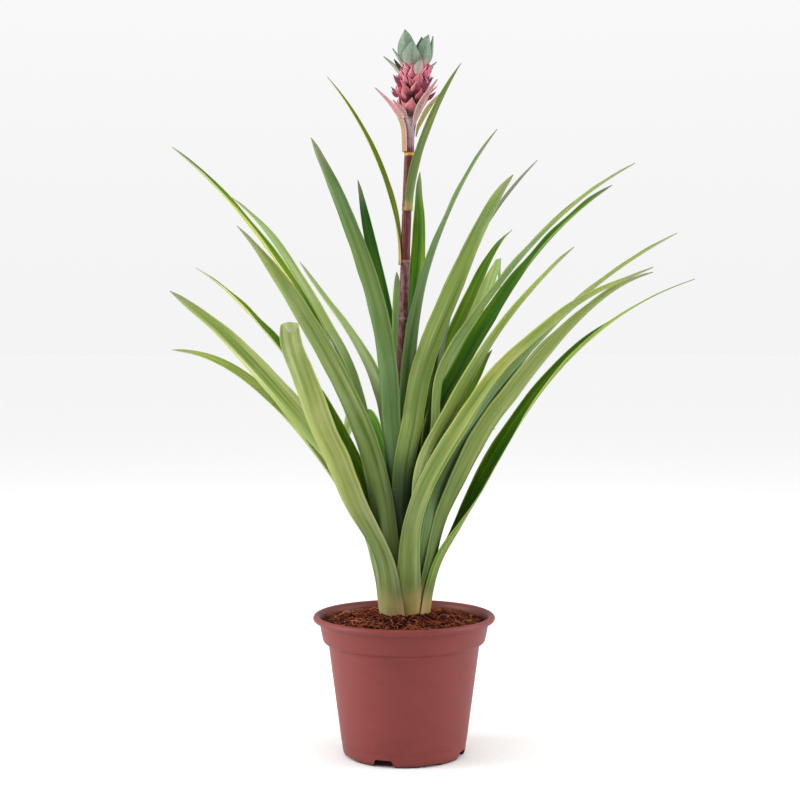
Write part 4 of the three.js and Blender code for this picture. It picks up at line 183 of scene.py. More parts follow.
# ---------------------------------------------------------------- materials
def leaf_material(side):
    """strap = (across -1..1, along 0..1, length m); span = (across m, along m, seed); tone = the leaf's own tint."""
    m = Net("leaf_" + side)
    v, u, _ = m.split(m.attr("strap"))
    w, a, seed = m.split(m.attr("span"))
    tint = m.attr("tone")
    av = m.math("ABSOLUTE", v)
    lines = m.noise(m.vec(m.mul(w, 1300.0), m.mul(a, 14.0), seed), detail=2.0, rough=0.6)
    bands = m.noise(m.vec(m.mul(w, 340.0), m.mul(a, 8.0), m.add(seed, 7.3)), detail=1.0)
    wash = m.noise(m.vec(m.mul(w, 90.0), m.mul(a, 26.0), m.add(seed, 13.1)), detail=3.0, rough=0.55)
    sheen = m.noise(m.vec(m.mul(w, 40.0), m.mul(a, 11.0), m.add(seed, 29.0)), detail=2.0, rough=0.5)
    if side == "upper":
        dark, mid, pale = srgb(18, 64, 1), srgb(52, 102, 4), srgb(98, 138, 30)
        bluish, golden = srgb(28, 74, 26), srgb(96, 118, 12)
    elif side == "under":
        dark, mid, pale = srgb(72, 102, 34), srgb(112, 139, 70), srgb(158, 176, 130)
        bluish, golden = srgb(84, 120, 84), srgb(134, 148, 62)
    else:
        dark, mid, pale = srgb(94, 120, 48), srgb(130, 152, 80), srgb(166, 184, 122)
        bluish, golden = srgb(104, 134, 92), srgb(150, 162, 76)
    # fine striping fades out where the leaf is only a few millimetres wide
    wide = m.step(m.math("DIVIDE", m.math("ABSOLUTE", w), m.math("MAXIMUM", av, 0.03)), 0.0014, 0.0044)
    grain = m.add(m.mul(lines, 0.34), m.mul(bands, 0.66))
    grain = m.add(0.5, m.mul(m.add(grain, -0.5), m.add(0.3, m.mul(wide, 0.7))))
    body = m.ramp(grain, [(0.3, dark), (0.5, mid), (0.74, pale)])
    body = m.mix(m.step(sheen, 0.5, 0.72, 0.0, 0.55), body, bluish)
    body = m.mix(m.step(sheen, 0.46, 0.26, 0.0, 0.5), body, golden)
    body = m.mix(m.step(wash, 0.46, 0.74, 0.0, 0.26), body, pale)
    # painted shade: the channel along the middle is a little darker, as if in shadow; the margins are pale
    body = m.mix(m.step(av, 0.34, 0.0, 0.0, 0.22), body, dark)
    if side != "margin":
        edge = m.step(m.add(av, m.mul(m.add(lines, -0.5), 0.05)), 0.84, 0.955)
        body = m.mix(m.mul(m.mul(edge, m.add(0.2, m.mul(wide, 0.8))), 0.5 if side == "upper" else 0.36), body, srgb(158, 180, 108))
        seam = m.mul(m.step(av, 0.72, 0.82), m.step(av, 0.9, 0.84))
        body = m.mix(m.mul(m.mul(seam, wide), 0.34), body, dark)
    body = m.mix(1.0, body, tint, "MULTIPLY")
    # painted shade: deep green in the throat of the rosette, where little light falls
    x, y, z = m.split(m.place())
    r = m.math("SQRT", m.add(m.mul(x, x), m.mul(y, y)))
    body = m.mix(m.mul(m.mul(m.step(r, 0.0225, 0.0135), m.step(z, 0.225, 0.17)), 0.88), body, srgb(8, 32, 2))
    # painted shade: leaves darken to a heavier green low down, where less light reaches
    body = m.mix(m.step(z, 0.245, 0.1), body, m.mix(1.0, body, (0.46, 0.54, 0.5), "MULTIPLY"))
    # bases bleach to straw and blush along their edges
    rag = m.add(u, m.mul(m.add(wash, -0.5), 0.05))
    body = m.mix(m.step(rag, 0.13, 0.03, 0.0, 0.3), body, srgb(118, 122, 56) if side != "upper" else srgb(92, 100, 38))
    straw = m.step(rag, 0.082, 0.036)
    body = m.mix(m.mul(straw, 0.66), body, srgb(146, 134, 84))
    body = m.mix(m.mul(m.mul(straw, m.step(sheen, 0.42, 0.6)), 0.6), body, srgb(158, 132, 40))
    blush = m.mul(m.step(rag, 0.075, 0.0), m.step(av, 0.45, 0.95))
    body = m.mix(m.mul(blush, 0.7), body, srgb(188, 148, 112))
    # the last centimetre of a leaf greys and then dries
    body = m.mix(m.step(m.add(u, m.mul(m.add(lines, -0.5), 0.03)), 0.9, 0.985, 0.0, 0.6), body, srgb(104, 112, 88) if side == "upper" else srgb(134, 136, 108))
    body = m.mix(m.step(u, 0.984, 0.997, 0.0, 0.8), body, srgb(112, 92, 66) if side == "upper" else srgb(142, 124, 92))
    # mealy scurf in fine dots, thicker underneath
    near, _ = m.cells(m.vec(m.mul(w, 2200.0), m.mul(a, 1300.0), seed))
    meal = m.mul(m.mul(m.step(near, 0.42, 0.12), wide), m.step(m.noise(m.vec(m.mul(w, 420.0), m.mul(a, 60.0), seed), detail=2.0), 0.38, 0.66))
    body = m.mix(m.mul(meal, {"upper": 0.04, "under": 0.1, "margin": 0.03}[side]), body, srgb(196, 208, 184))
    # a few old specks
    far, pick = m.cells(m.vec(m.mul(w, 210.0), m.mul(a, 120.0), m.add(seed, 3.0)))
    pr, pg, pb = m.split(pick)
    speck = m.mul(m.step(far, 0.13, 0.05), m.math("GREATER_THAN", pr, 0.93))
    body = m.mix(m.mul(speck, 0.5), body, srgb(98, 84, 40))
    rough = m.add({"upper": 0.5, "under": 0.58, "margin": 0.54}[side], m.add(m.mul(wash, 0.1), m.mul(meal, 0.08)))
    normal = m.bump(m.add(bands, m.mul(lines, 0.22)), 0.00011 if side == "upper" else 0.00013, 0.8)
    return m.done(body, rough, normal, Specular_IOR_Level={"upper": 0.08, "under": 0.24, "margin": 0.24}[side])


def pot_material():
    m = Net("pot_plastic")
    p = m.place()
    x, y, z = m.split(p)
    mottle = m.noise(p, 38.0, 4.0, 0.6)
    flow = m.noise(m.vec(m.mul(x, 26.0), m.mul(y, 26.0), m.mul(z, 70.0)), 1.0, 3.0, 0.55, 0.4)
    grit = m.noise(p, 900.0, 3.0, 0.6)
    body = m.ramp(m.add(m.mul(mottle, 0.5), m.mul(flow, 0.5)), [(0.3, srgb(104, 36, 31)), (0.52, srgb(112, 40, 35)), (0.74, srgb(120, 46, 40))])
    body = m.mix(m.step(grit, 0.52, 0.8, 0.0, 0.14), body, srgb(140, 70, 62))
    body = m.mix(m.step(grit, 0.48, 0.22, 0.0, 0.16), body, srgb(84, 30, 27))
    # dust from the compost on the rim and inside the wall, splash marks near the foot
    r = m.math("SQRT", m.add(m.mul(x, x), m.mul(y, y)))
    patch = m.noise(p, 120.0, 5.0, 0.65)
    dust = m.mul(m.mul(m.step(z, 0.0885, 0.0925), m.step(r, 0.0585, 0.0555)), m.step(patch, 0.42, 0.64))
    body = m.mix(m.mul(dust, 0.5), body, srgb(84, 48, 34))
    foot = m.mul(m.step(z, 0.02, 0.0), m.step(patch, 0.5, 0.72))
    body = m.mix(m.mul(foot, 0.35), body, srgb(96, 56, 48))
    # pale scuffs where pots are pushed together
    scuff = m.noise(m.vec(m.mul(x, 700.0), m.mul(y, 700.0), m.mul(z, 900.0)), 1.0, 4.0, 0.7)
    wear = m.mul(m.step(scuff, 0.62, 0.76), m.step(r, 0.0535, 0.0600))
    body = m.mix(m.mul(wear, 0.2), body, srgb(160, 96, 86))
    # painted shadow: near-black in the notches and under the foot, where shade falls
    low = m.mul(m.step(z, 0.0062, 0.0046), m.step(r, 0.0402, 0.0396))
    body = m.mix(m.mul(low, 0.8), body, srgb(34, 20, 18))
    rough = m.add(0.42, m.add(m.mul(mottle, 0.1), m.mul(grit, 0.12)))
    normal = m.bump(grit, 0.00006, 0.55)
    normal = m.bump(flow, 0.0003, 0.16, normal)
    return m.done(body, rough, normal, Specular_IOR_Level=0.36)


def compost_material(name, dark, mid, pale, rough=0.95):
    m = Net(name)
    p = m.place()
    shade, _, tint = m.split(m.attr("tone"))
    clod = m.noise(p, 260.0, 6.0, 0.7)
    fine = m.noise(p, 1500.0, 3.0, 0.6)
    body = m.ramp(m.add(m.mul(clod, 0.6), m.mul(fine, 0.4)), [(0.28, dark), (0.52, mid), (0.8, pale)])
    body = m.mix(m.mul(shade, 0.85), body, pale)
    body = m.mix(m.mul(tint, 0.8), body, dark)
    normal = m.bump(m.add(clod, m.mul(fine, 0.5)), 0.0012, 0.9)
    return m.done(body, m.add(rough - 0.08, m.mul(fine, 0.1)), normal, Specular_IOR_Level=0.08)


def stalk_material():
    m = Net("stalk_skin")
    p = m.place()
    x, y, z = m.split(p)
    streak = m.noise(m.vec(m.mul(x, 900.0), m.mul(y, 900.0), m.mul(z, 40.0)), 1.0, 3.0, 0.6)
    blot = m.noise(m.vec(m.mul(x, 130.0), m.mul(y, 130.0), m.mul(z, 60.0)), 1.0, 4.0, 0.6)
    body = m.ramp(m.add(m.mul(streak, 0.6), m.mul(blot, 0.4)), [(0.3, srgb(44, 8, 5)), (0.5, srgb(84, 23, 14)), (0.75, srgb(122, 52, 38))])
    # green-brown towards the rosette, deepened there as painted shade of the leaf throat
    body = m.mix(m.step(z, 0.238, 0.19, 0.0, 0.92), body, srgb(40, 50, 16))
    # mealy bloom: heavy below the fruit, in films above each node
    meal = m.noise(m.vec(m.mul(x, 420.0), m.mul(y, 420.0), m.mul(z, 170.0)), 1.0, 5.0, 0.7)
    high = m.mul(m.step(z, 0.3952, 0.4), m.step(z, 0.396, 0.416, 0.45, 1.0))
    film = m.mul(m.step(z, 0.3262, 0.3225), m.step(z, 0.215, 0.3, 0.06, 0.36))
    cover = m.math("MAXIMUM", m.math("MAXIMUM", m.mul(high, 0.94), film), 0.12)
    bloom = m.mul(m.step(m.add(meal, m.mul(cover, 0.34)), 0.5, 0.74), cover)
    body = m.mix(bloom, body, srgb(172, 150, 160))
    for at, share, shade in ((0.3945, 0.9, srgb(196, 154, 66)), (0.3590, 0.4, srgb(166, 140, 140)), (0.3245, 0.4, srgb(166, 140, 140)), (0.287, 0.3, srgb(160, 136, 134))):
        ring = m.mul(m.step(z, at - 0.0013, at - 0.0005), m.step(z, at + 0.0013, at + 0.0005))
        body = m.mix(m.mul(ring, share), body, shade)
    normal = m.bump(m.add(m.mul(streak, 1.2), meal), 0.00022, 0.7)
    return m.done(body, m.add(0.5, m.mul(bloom, 0.25)), normal, Specular_IOR_Level=0.3)


def stem_material():
    m = Net("stem_skin")
    p = m.place()
    x, y, z = m.split(p)
    rings = m.noise(m.vec(m.mul(x, 60.0), m.mul(y, 60.0), m.mul(z, 900.0)), 1.0, 3.0, 0.6)
    fleck = m.noise(p, 420.0, 5.0, 0.65)
    body = m.ramp(m.add(m.mul(rings, 0.6), m.mul(fleck, 0.4)), [(0.3, srgb(120, 104, 52)), (0.55, srgb(160, 146, 84)), (0.8, srgb(188, 176, 116))])
    # painted shade: near-black green up inside the rosette, where the leaf bases keep the light off
    body = m.mix(m.step(z, 0.097, 0.107, 0.0, 0.96), body, srgb(26, 38, 12))
    body = m.mix(m.step(z, 0.088, 0.078), body, srgb(84, 58, 36))
    return m.done(body, 0.7, m.bump(m.add(rings, fleck), 0.0004, 0.8))


def fruit_material(name, low, mid, high, tip, meal_share):
    """strap.y runs from a bract's base to its tip; tone = (magenta share, pale share, lightness)."""
    m = Net(name)
    v, u, _ = m.split(m.attr("strap"))
    w, a, seed = m.split(m.attr("span"))
    magenta, pale, light = m.split(m.attr("tone"))
    p = m.place()
    av = m.math("ABSOLUTE", v)
    veins = m.noise(m.vec(m.mul(w, 2200.0), m.mul(a, 160.0), seed), 1.0, 3.0, 0.6)
    cloud = m.noise(p, 330.0, 4.0, 0.6)
    body = m.ramp(m.add(u, m.mul(m.add(cloud, -0.5), 0.5)), [(0.05, low), (0.45, mid), (0.82, high), (1.0, tip)])
    body = m.mix(m.step(veins, 0.5, 0.78, 0.0, 0.4), body, high)
    body = m.mix(m.step(veins, 0.46, 0.24, 0.0, 0.35), body, low)
    body = m.mix(m.mul(magenta, m.add(0.35, m.mul(cloud, 0.9)), clamp=True), body, srgb(184, 70, 120))
    body = m.mix(m.mul(pale, m.add(0.3, m.mul(cloud, 0.9)), clamp=True), body, srgb(220, 158, 160))
    body = m.mix(m.step(av, 0.62, 0.96, 0.0, 0.5), body, srgb(220, 152, 158))
    # painted shade: each bract darkens where it tucks under its neighbours
    body = m.mix(m.step(u, 0.5, 0.2, 0.0, 0.85), body, low)
    meal = m.step(m.noise(p, 1900.0, 4.0, 0.7), 0.5, 0.72)
    body = m.mix(m.mul(meal, meal_share), body, srgb(222, 196, 196))
    body = m.scale(body, m.add(1.0, m.mul(light, 0.5)))
    normal = m.bump(m.add(veins, m.mul(cloud, 0.6)), 0.00028, 0.8)
    return m.done(body, m.add(0.46, m.mul(meal, 0.2)), normal, Subsurface_Weight=0.18, Subsurface_Radius=(1.0, 0.35, 0.3), Subsurface_Scale=0.0014, Specular_IOR_Level=0.16)


def flower_material():
    m = Net("flower_bud")
    p = m.place()
    v, u, _ = m.split(m.attr("strap"))
    cloud = m.noise(p, 700.0, 4.0, 0.6)
    body = m.ramp(m.add(u, m.mul(m.add(cloud, -0.5), 0.4)), [(0.0, srgb(168, 52, 84)), (0.45, srgb(112, 30, 62)), (0.8, srgb(74, 34, 66)), (1.0, srgb(56, 40, 58))])
    body = m.mix(m.step(cloud, 0.55, 0.75, 0.0, 0.3), body, srgb(150, 120, 140))
    return m.done(body, 0.55, m.bump(cloud, 0.0003, 0.8), Subsurface_Weight=0.08, Subsurface_Radius=(1.0, 0.3, 0.6), Subsurface_Scale=0.001)


def bract_material():
    """tone = (olive share, pink share, lightness)"""
    m = Net("bract_skin")
    v, u, _ = m.split(m.attr("strap"))
    w, a, seed = m.split(m.attr("span"))
    olive, pink, light = m.split(m.attr("tone"))
    av = m.math("ABSOLUTE", v)
    lines = m.noise(m.vec(m.mul(w, 2400.0), m.mul(a, 60.0), seed), 1.0, 3.0, 0.6)
    cloud = m.noise(m.vec(m.mul(w, 300.0), m.mul(a, 120.0), seed), 1.0, 3.0, 0.6)
    body = m.ramp(m.add(m.mul(lines, 0.6), m.mul(cloud, 0.4)), [(0.3, srgb(128, 88, 84)), (0.52, srgb(164, 128, 122)), (0.76, srgb(192, 168, 162))])
    low = m.step(m.add(m.add(u, m.mul(m.add(olive, -1.0), -0.5)), m.mul(m.add(cloud, -0.5), 0.2)), 0.62, 0.3)
    body = m.mix(m.math("MULTIPLY", m.mul(olive, low), 0.95, clamp=True), body, srgb(134, 122, 20))
    body = m.mix(m.mul(pink, m.step(u, 0.34, 0.6)), body, srgb(178, 104, 112))
    spots = m.noise(m.vec(m.mul(w, 900.0), m.mul(a, 420.0), seed), 1.0, 3.0, 0.6)
    body = m.mix(m.mul(m.mul(m.step(spots, 0.55, 0.68), m.step(u, 0.3, 0.5)), 0.6), body, srgb(122, 44, 54))
    inner = m.mul(m.mul(olive, pink), m.mul(m.step(v, 0.25, 0.5), m.step(u, 0.5, 0.3)))
    body = m.mix(m.math("MULTIPLY", inner, 1.6, clamp=True), body, srgb(176, 108, 98))
    body = m.mix(m.mul(m.step(av, 0.66, 0.94), 0.5), body, srgb(206, 178, 176))
    body = m.mix(m.step(u, 0.84, 1.0, 0.0, 0.8), body, srgb(116, 100, 84))
    meal = m.step(m.noise(m.vec(m.mul(w, 2000.0), m.mul(a, 1600.0), seed), 1.0, 3.0, 0.6), 0.52, 0.7)
    body = m.mix(m.mul(meal, 0.3), body, srgb(214, 204, 210))
    body = m.scale(body, m.add(1.0, m.mul(light, 0.45)))
    return m.done(body, 0.56, m.bump(m.add(lines, m.mul(meal, 0.4)), 0.0002, 0.8), Subsurface_Weight=0.12, Subsurface_Radius=(1.0, 0.6, 0.4), Subsurface_Scale=0.001)


def crown_material(side):
    """tone = (deep green share, pink-grey share, lightness)"""
    m = Net("crown_" + side)
    v, u, _ = m.split(m.attr("strap"))
    w, a, seed = m.split(m.attr("span"))
    deep, pinkish, light = m.split(m.attr("tone"))
    av = m.math("ABSOLUTE", v)
    lines = m.noise(m.vec(m.mul(w, 1900.0), m.mul(a, 90.0), seed), 1.0, 3.0, 0.6)
    cloud = m.noise(m.vec(m.mul(w, 260.0), m.mul(a, 200.0), seed), 1.0, 4.0, 0.6)
    if side == "outer":
        stops = [(0.3, srgb(68, 92, 72)), (0.52, srgb(100, 122, 100)), (0.76, srgb(138, 154, 136))]
    else:
        stops = [(0.3, srgb(26, 52, 28)), (0.52, srgb(48, 78, 42)), (0.76, srgb(84, 108, 70))]
    body = m.ramp(m.add(m.mul(lines, 0.5), m.mul(cloud, 0.5)), stops)
    body = m.mix(m.mul(deep, 0.9), body, srgb(40, 72, 38))
    body = m.mix(m.mul(pinkish, m.step(u, 1.1, 0.3)), body, srgb(176, 144, 142))
    body = m.mix(m.step(m.add(u, m.mul(m.add(cloud, -0.5), 0.2)), 0.3, 0.0, 0.0, 0.75), body, srgb(186, 150, 132))
    # painted shadow: the edges of each scale darken where they meet the next
    body = m.mix(m.mul(m.step(av, 0.8, 0.97), 0.8), body, srgb(44, 62, 44))
    body = m.mix(m.step(u, 0.86, 1.0, 0.0, 0.7), body, srgb(92, 96, 76))
    near, _ = m.cells(m.vec(m.mul(w, 3200.0), m.mul(a, 2600.0), seed))
    meal = m.mul(m.step(near, 0.5, 0.16), m.step(cloud, 0.3, 0.6))
    body = m.mix(m.mul(meal, 0.22 if side == "outer" else 0.08), body, srgb(186, 196, 186))
    body = m.scale(body, m.add(1.0, m.mul(light, 0.45)))
    return m.done(body, 0.6, m.bump(m.add(lines, m.mul(meal, 0.5)), 0.0002, 0.8), Subsurface_Weight=0.06, Subsurface_Radius=(0.7, 1.0, 0.5), Subsurface_Scale=0.001)


UPPER, UNDER, MARGIN = (leaf_material(s) for s in ("upper", "under", "margin"))
POT = pot_material()
COMPOST = compost_material("compost", srgb(6, 1, 0), srgb(26, 7, 3), srgb(76, 29, 15))
FIBRE = compost_material("coir_fibre", srgb(44, 12, 5), srgb(118, 45, 24), srgb(202, 124, 88), 0.85)
CRUMB = compost_material("compost_crumb", srgb(9, 2, 1), srgb(36, 11, 5), srgb(92, 38, 23))
STALK = stalk_material()
STEM = stem_material()
BRACT = bract_material()
FRUIT = fruit_material("fruit_bract", srgb(80, 6, 18), srgb(152, 38, 54), srgb(184, 82, 92), srgb(198, 128, 134), 0.16)
BERRY = fruit_material("fruit_flesh", srgb(52, 2, 10), srgb(84, 8, 20), srgb(112, 18, 32), srgb(92, 12, 24), 0.04)
FLOWER = flower_material()
CROWN_OUT, CROWN_IN = crown_material("outer"), crown_material("inner")


# ---------------------------------------------------------------- mesh helpers
class Shape:
    """Points in mm with their attributes, faces and a material number for each face."""

    def __init__(self):
        self.points, self.strap, self.span, self.tone = [], [], [], []
        self.faces, self.kinds = [], []
        self.count = 0

    def put(self, points, faces, kinds, strap=None, span=None, tone=(0.0, 0.0, 0.0)):
        n = len(points)
        # faces point outwards: a closed shape with a negative volume is turned over
        q = np.asarray(points, float)
        q = q - q.mean(axis=0)
        fan = np.array([(f[0], f[i], f[i + 1]) for f in faces for i in range(1, len(f) - 1)])
        volume = float(np.einsum("ij,ij->i", q[fan[:, 0]], np.cross(q[fan[:, 1]], q[fan[:, 2]])).sum())
        if volume < 0:
            faces = [tuple(f)[::-1] for f in faces]
        zero = np.zeros((n, 3))
        self.points.append(np.asarray(points, float))
        self.strap.append(zero if strap is None else strap)
        self.span.append(zero if span is None else span)
        self.tone.append(np.tile(np.array(tone, float), (n, 1)))
        for f in faces:
            self.faces.append([i + self.count for i in f])
        self.kinds.extend([kinds] * len(faces) if isinstance(kinds, int) else kinds)
        self.count += n

    def object(self, name, materials, slot, nodes=(), flat=False):
        mesh = bpy.data.meshes.new(name)
        pts = np.vstack(self.points) * MM
        mesh.from_pydata(pts.tolist(), [], self.faces)
        mesh.update()
        for mat in materials:
            mesh.materials.append(mat)
        mesh.polygons.foreach_set("material_index", np.array(self.kinds, dtype=np.int32))
        mesh.polygons.foreach_set("use_smooth", np.full(len(self.faces), not flat))
        for key in ("strap", "span", "tone"):
            a = mesh.attributes.new(key, "FLOAT_VECTOR", "POINT")
            a.data.foreach_set("vector", np.vstack(getattr(self, key)).astype(np.float32).ravel())
        mesh.update()
        o = bpy.data.objects.new(name, mesh)
        bpy.context.scene.collection.objects.link(o)
        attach(o, "root")
        if nodes:
            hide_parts(*nodes)
        return o


def smooth_rows(at, rows, wanted):
    """Rows of numbers through a smooth curve, without overshoot at the ends."""
    at, rows = np.asarray(at, float), np.asarray(rows, float)
    h = np.diff(at)[:, None]
    d = np.diff(rows, axis=0) / h
    m = np.vstack([d[:1], (d[:-1] * h[1:] + d[1:] * h[:-1]) / (h[1:] + h[:-1]), d[-1:]])
    k = np.clip(np.searchsorted(at, wanted, side="right") - 1, 0, len(at) - 2)
    s = ((wanted - at[k]) / (at[k + 1] - at[k]))[:, None]
    hk = h[k]
    return (
        (2 * s**3 - 3 * s**2 + 1) * rows[k]
        + (s**3 - 2 * s**2 + s) * hk * m[k]
        + (-2 * s**3 + 3 * s**2) * rows[k + 1]
        + (s**3 - s**2) * hk * m[k + 1]
    )


def unit(a):
    return a / np.maximum(np.linalg.norm(a, axis=-1, keepdims=True), 1e-9)


def strap(shape, at, rows, steps, columns, seed, tone=(0, 0, 0), wave=0.0, relief=0.05, keel=0.0, power=2.0, kinds=(0, 1, 2), seed_u0=0.0):
    """A closed blade. rows are [centre, across, upper side, half width, depth, thickness].
    It has a rounded margin, lengthwise ribs, a light keel and an uneven, wavy edge."""
    rng = random.Random(seed)
    u = np.linspace(0, 1, steps)
    u = u + 0.035 * np.sin(2 * np.pi * u) / np.pi  # closer together towards both ends
    r = smooth_rows(at, rows, u)
    P, t, n = r[:, :3], unit(r[:, 3:6]), r[:, 6:9]
    n = unit(n - (n * t).sum(1)[:, None] * t)
    half, depth, thick = np.maximum(r[:, 9], 0.16), r[:, 10], np.maximum(r[:, 11], 0.25)
    length = np.r_[0, np.cumsum(np.linalg.norm(np.diff(P, axis=0), axis=1))]
    fade = np.clip((u - 0.16) / 0.2, 0, 1) * np.clip((1 - u) / 0.06, 0, 1)
    fade = fade * fade * (3 - 2 * fade)

    def slow(count, lo, hi):
        out = np.zeros(steps)
        for _ in range(count):
            out += math.sin(rng.uniform(0, 6.3)) * 0 + np.sin(length * 2 * np.pi / rng.uniform(lo, hi) + rng.uniform(0, 6.3))
        return out / count

    edge = [slow(3, 26, 80), slow(3, 26, 80)]
    wobble = [slow(2, 9, 24), slow(2, 9, 24)]
    ribs = [(rng.uniform(2.2, 5.5), rng.uniform(0, 6.3), rng.uniform(0.5, 1.0)) for _ in range(5)]
    drift = slow(2, 60, 160)
    vs = np.sin(np.linspace(-1, 1, columns) * math.pi / 2 * 0.985)
    vs = vs / abs(vs[0]) * 0.985
    full = np.clip(half / 3.0, 0, 1)
    tops, lows, span_top = [], [], []
    for v in vs:
        side = 0 if v < 0 else 1
        lean = abs(v) ** power
        mid = P + (v * half * (1 + 0.012 * wobble[side] * fade * abs(v)))[:, None] * t
        lift = lean * depth + wave * fade * edge[side] * abs(v) ** 3 * full
        lift = lift - keel * depth * np.exp(-((v / 0.16) ** 2)) * 0.35
        rib = sum(k * np.sin(v * half * 2 * math.pi / q + f + 0.7 * drift) for q, f, k in ribs) / 3.2
        rib = rib * relief * full * (1 - abs(v) ** 4)
        h = thick * (1 - 0.72 * v * v) * 0.5
        tops.append(mid + (lift + h + rib)[:, None] * n)
        lows.append(mid + (lift - h + rib * 0.9)[:, None] * n)
    rims = []
    for sgn, side in ((-1, 0), (1, 1)):
        out = sgn * (half * (1 + 0.012 * wobble[side] * fade))
        rims.append(P + out[:, None] * t + (depth + wave * fade * edge[side] * full)[:, None] * n)
    ring = [rims[0], *tops, rims[1], *lows[::-1]]
    vv = np.array([-1.0, *vs, 1.0, *vs[::-1]])
    size = len(ring)
    pts = np.stack(ring, axis=1).reshape(-1, 3)
    st = np.stack([np.tile(vv, steps), np.repeat(u, size), np.repeat(length * MM, size)], axis=1)
    sp = np.stack([(vv[None, :] * half[:, None]).ravel() * MM, np.repeat(length * MM, size), np.full(size * steps, seed * 1.37)], axis=1)
    faces, kind = [], []
    for k in range(steps - 1):
        for s in range(size):
            s2 = (s + 1) % size
            faces.append((k * size + s, k * size + s2, (k + 1) * size + s2, (k + 1) * size + s))
            if 1 <= s <= columns - 1:
                kind.append(kinds[0])
            elif columns + 2 <= s <= 2 * columns:
                kind.append(kinds[1])
            else:
                kind.append(kinds[2])
    last = (steps - 1) * size
    for at_, flip in ((0, False), (last, True)):
        cap = [(0, 1, size - 1), (columns, columns + 1, columns + 2)]
        cap += [(j, j + 1, size - j - 1, size - j) for j in range(1, columns)]
        for c in cap:
            c = [at_ + i for i in c]
            faces.append(tuple(c) if flip else tuple(c[::-1]))
            kind.append(kinds[2])
    shape.put(pts, faces, kind, st, sp, tone)


def blade_rows(line, azimuth, halves, channel, thick, taper=0.4, count=15):
    """Rows for a short blade through a few points: azimuth of its outer face, half widths along it."""
    line = np.asarray(line, float)
    at = np.linspace(0, 1, len(line))
    fine = smooth_rows(at, line, np.linspace(0, 1, 200))
    run = np.r_[0, np.cumsum(np.linalg.norm(np.diff(fine, axis=0), axis=1))]
    u = np.linspace(0, 1, count)
    P = np.stack([np.interp(u * run[-1], run, fine[:, k]) for k in range(3)], axis=1)
    d = unit(np.gradient(P, axis=0))
    a = math.radians(azimuth)
    across = np.array([-math.sin(a), math.cos(a), 0.0])
    w = smooth_rows(np.linspace(0, 1, len(halves)), np.array(halves, float)[:, None], u)[:, 0]
    w = np.maximum(w, min(halves))
    rows = []
    for k in range(count):
        across = across - d[k] * (across @ d[k])
        across = across / np.linalg.norm(across)
        n = np.cross(d[k], across)
        rows.append([*P[k], *across, *n, w[k], w[k] * channel, thick * (1 - taper * u[k])])
    return u, np.array(rows)


def turned(shape, profile, sides, kind=0, wobble=None, tone=(0, 0, 0)):
    """A closed turned form about the z axis from (radius, height) pairs; both ends lie on the axis."""
    prof = [(r, z) for r, z in profile]
    ang = np.linspace(0, 2 * math.pi, sides, endpoint=False)
    pts, faces = [], []
    rows = []
    for r, z in prof:
        if r < 1e-6:
            rows.append([len(pts)])
            pts.append((0.0, 0.0, z))
        else:
            rows.append(list(range(len(pts), len(pts) + sides)))
            for a in ang:
                rr, zz = (r, z) if wobble is None else wobble(r, z, a)
                pts.append((rr * math.cos(a), rr * math.sin(a), zz))
    for lo, hi in zip(rows, rows[1:]):
        for k in range(sides):
            k2 = (k + 1) % sides
            if len(lo) == 1:
                faces.append((lo[0], hi[k2], hi[k]))
            elif len(hi) == 1:
                faces.append((lo[k], lo[k2], hi[0]))
            else:
                faces.append((lo[k], lo[k2], hi[k2], hi[k]))
    shape.put(np.array(pts), faces, kind, tone=tone)


def tube(shape, path, radii, sides, kind=0, seed=0, tone=(0, 0, 0), lumps=None):
    """A closed tube along a path, with rounded ends."""
    path = np.asarray(path, float)
    d = unit(np.gradient(path, axis=0))
    ref = np.array([0.3, 1.0, 0.2])
    rings, n = [], len(path)
    length = np.r_[0, np.cumsum(np.linalg.norm(np.diff(path, axis=0), axis=1))]
    st, sp, pts = [], [], []
    for k in range(n):
        ref = ref - d[k] * (ref @ d[k])
        ref = ref / np.linalg.norm(ref)
        other = np.cross(d[k], ref)
        for s in range(sides):
            a = 2 * math.pi * s / sides
            rad = radii[k] * (1 if lumps is None else lumps(k, a, length[k]))
            pts.append(path[k] + rad * (math.cos(a) * ref + math.sin(a) * other))
            st.append((math.cos(a), length[k] / length[-1], length[k] * MM))
            sp.append((a * radii[k] * MM, length[k] * MM, seed * 1.37))
    faces = []
    for k in range(n - 1):
        for s in range(sides):
            s2 = (s + 1) % sides
            faces.append((k * sides + s, k * sides + s2, (k + 1) * sides + s2, (k + 1) * sides + s))
    b, t = len(pts), len(pts) + 1
    pts += [path[0] - d[0] * radii[0] * 0.5, path[-1] + d[-1] * radii[-1] * 0.5]
    st += [(0, 0, 0), (0, 1, length[-1] * MM)]
    sp += [(0, 0, seed * 1.37), (0, length[-1] * MM, seed * 1.37)]
    for s in range(sides):
        s2 = (s + 1) % sides
        faces.append((b, s2, s))
        faces.append((t, (n - 1) * sides + s, (n - 1) * sides + s2))
    shape.put(np.array(pts), faces, kind, np.array(st), np.array(sp), tone)


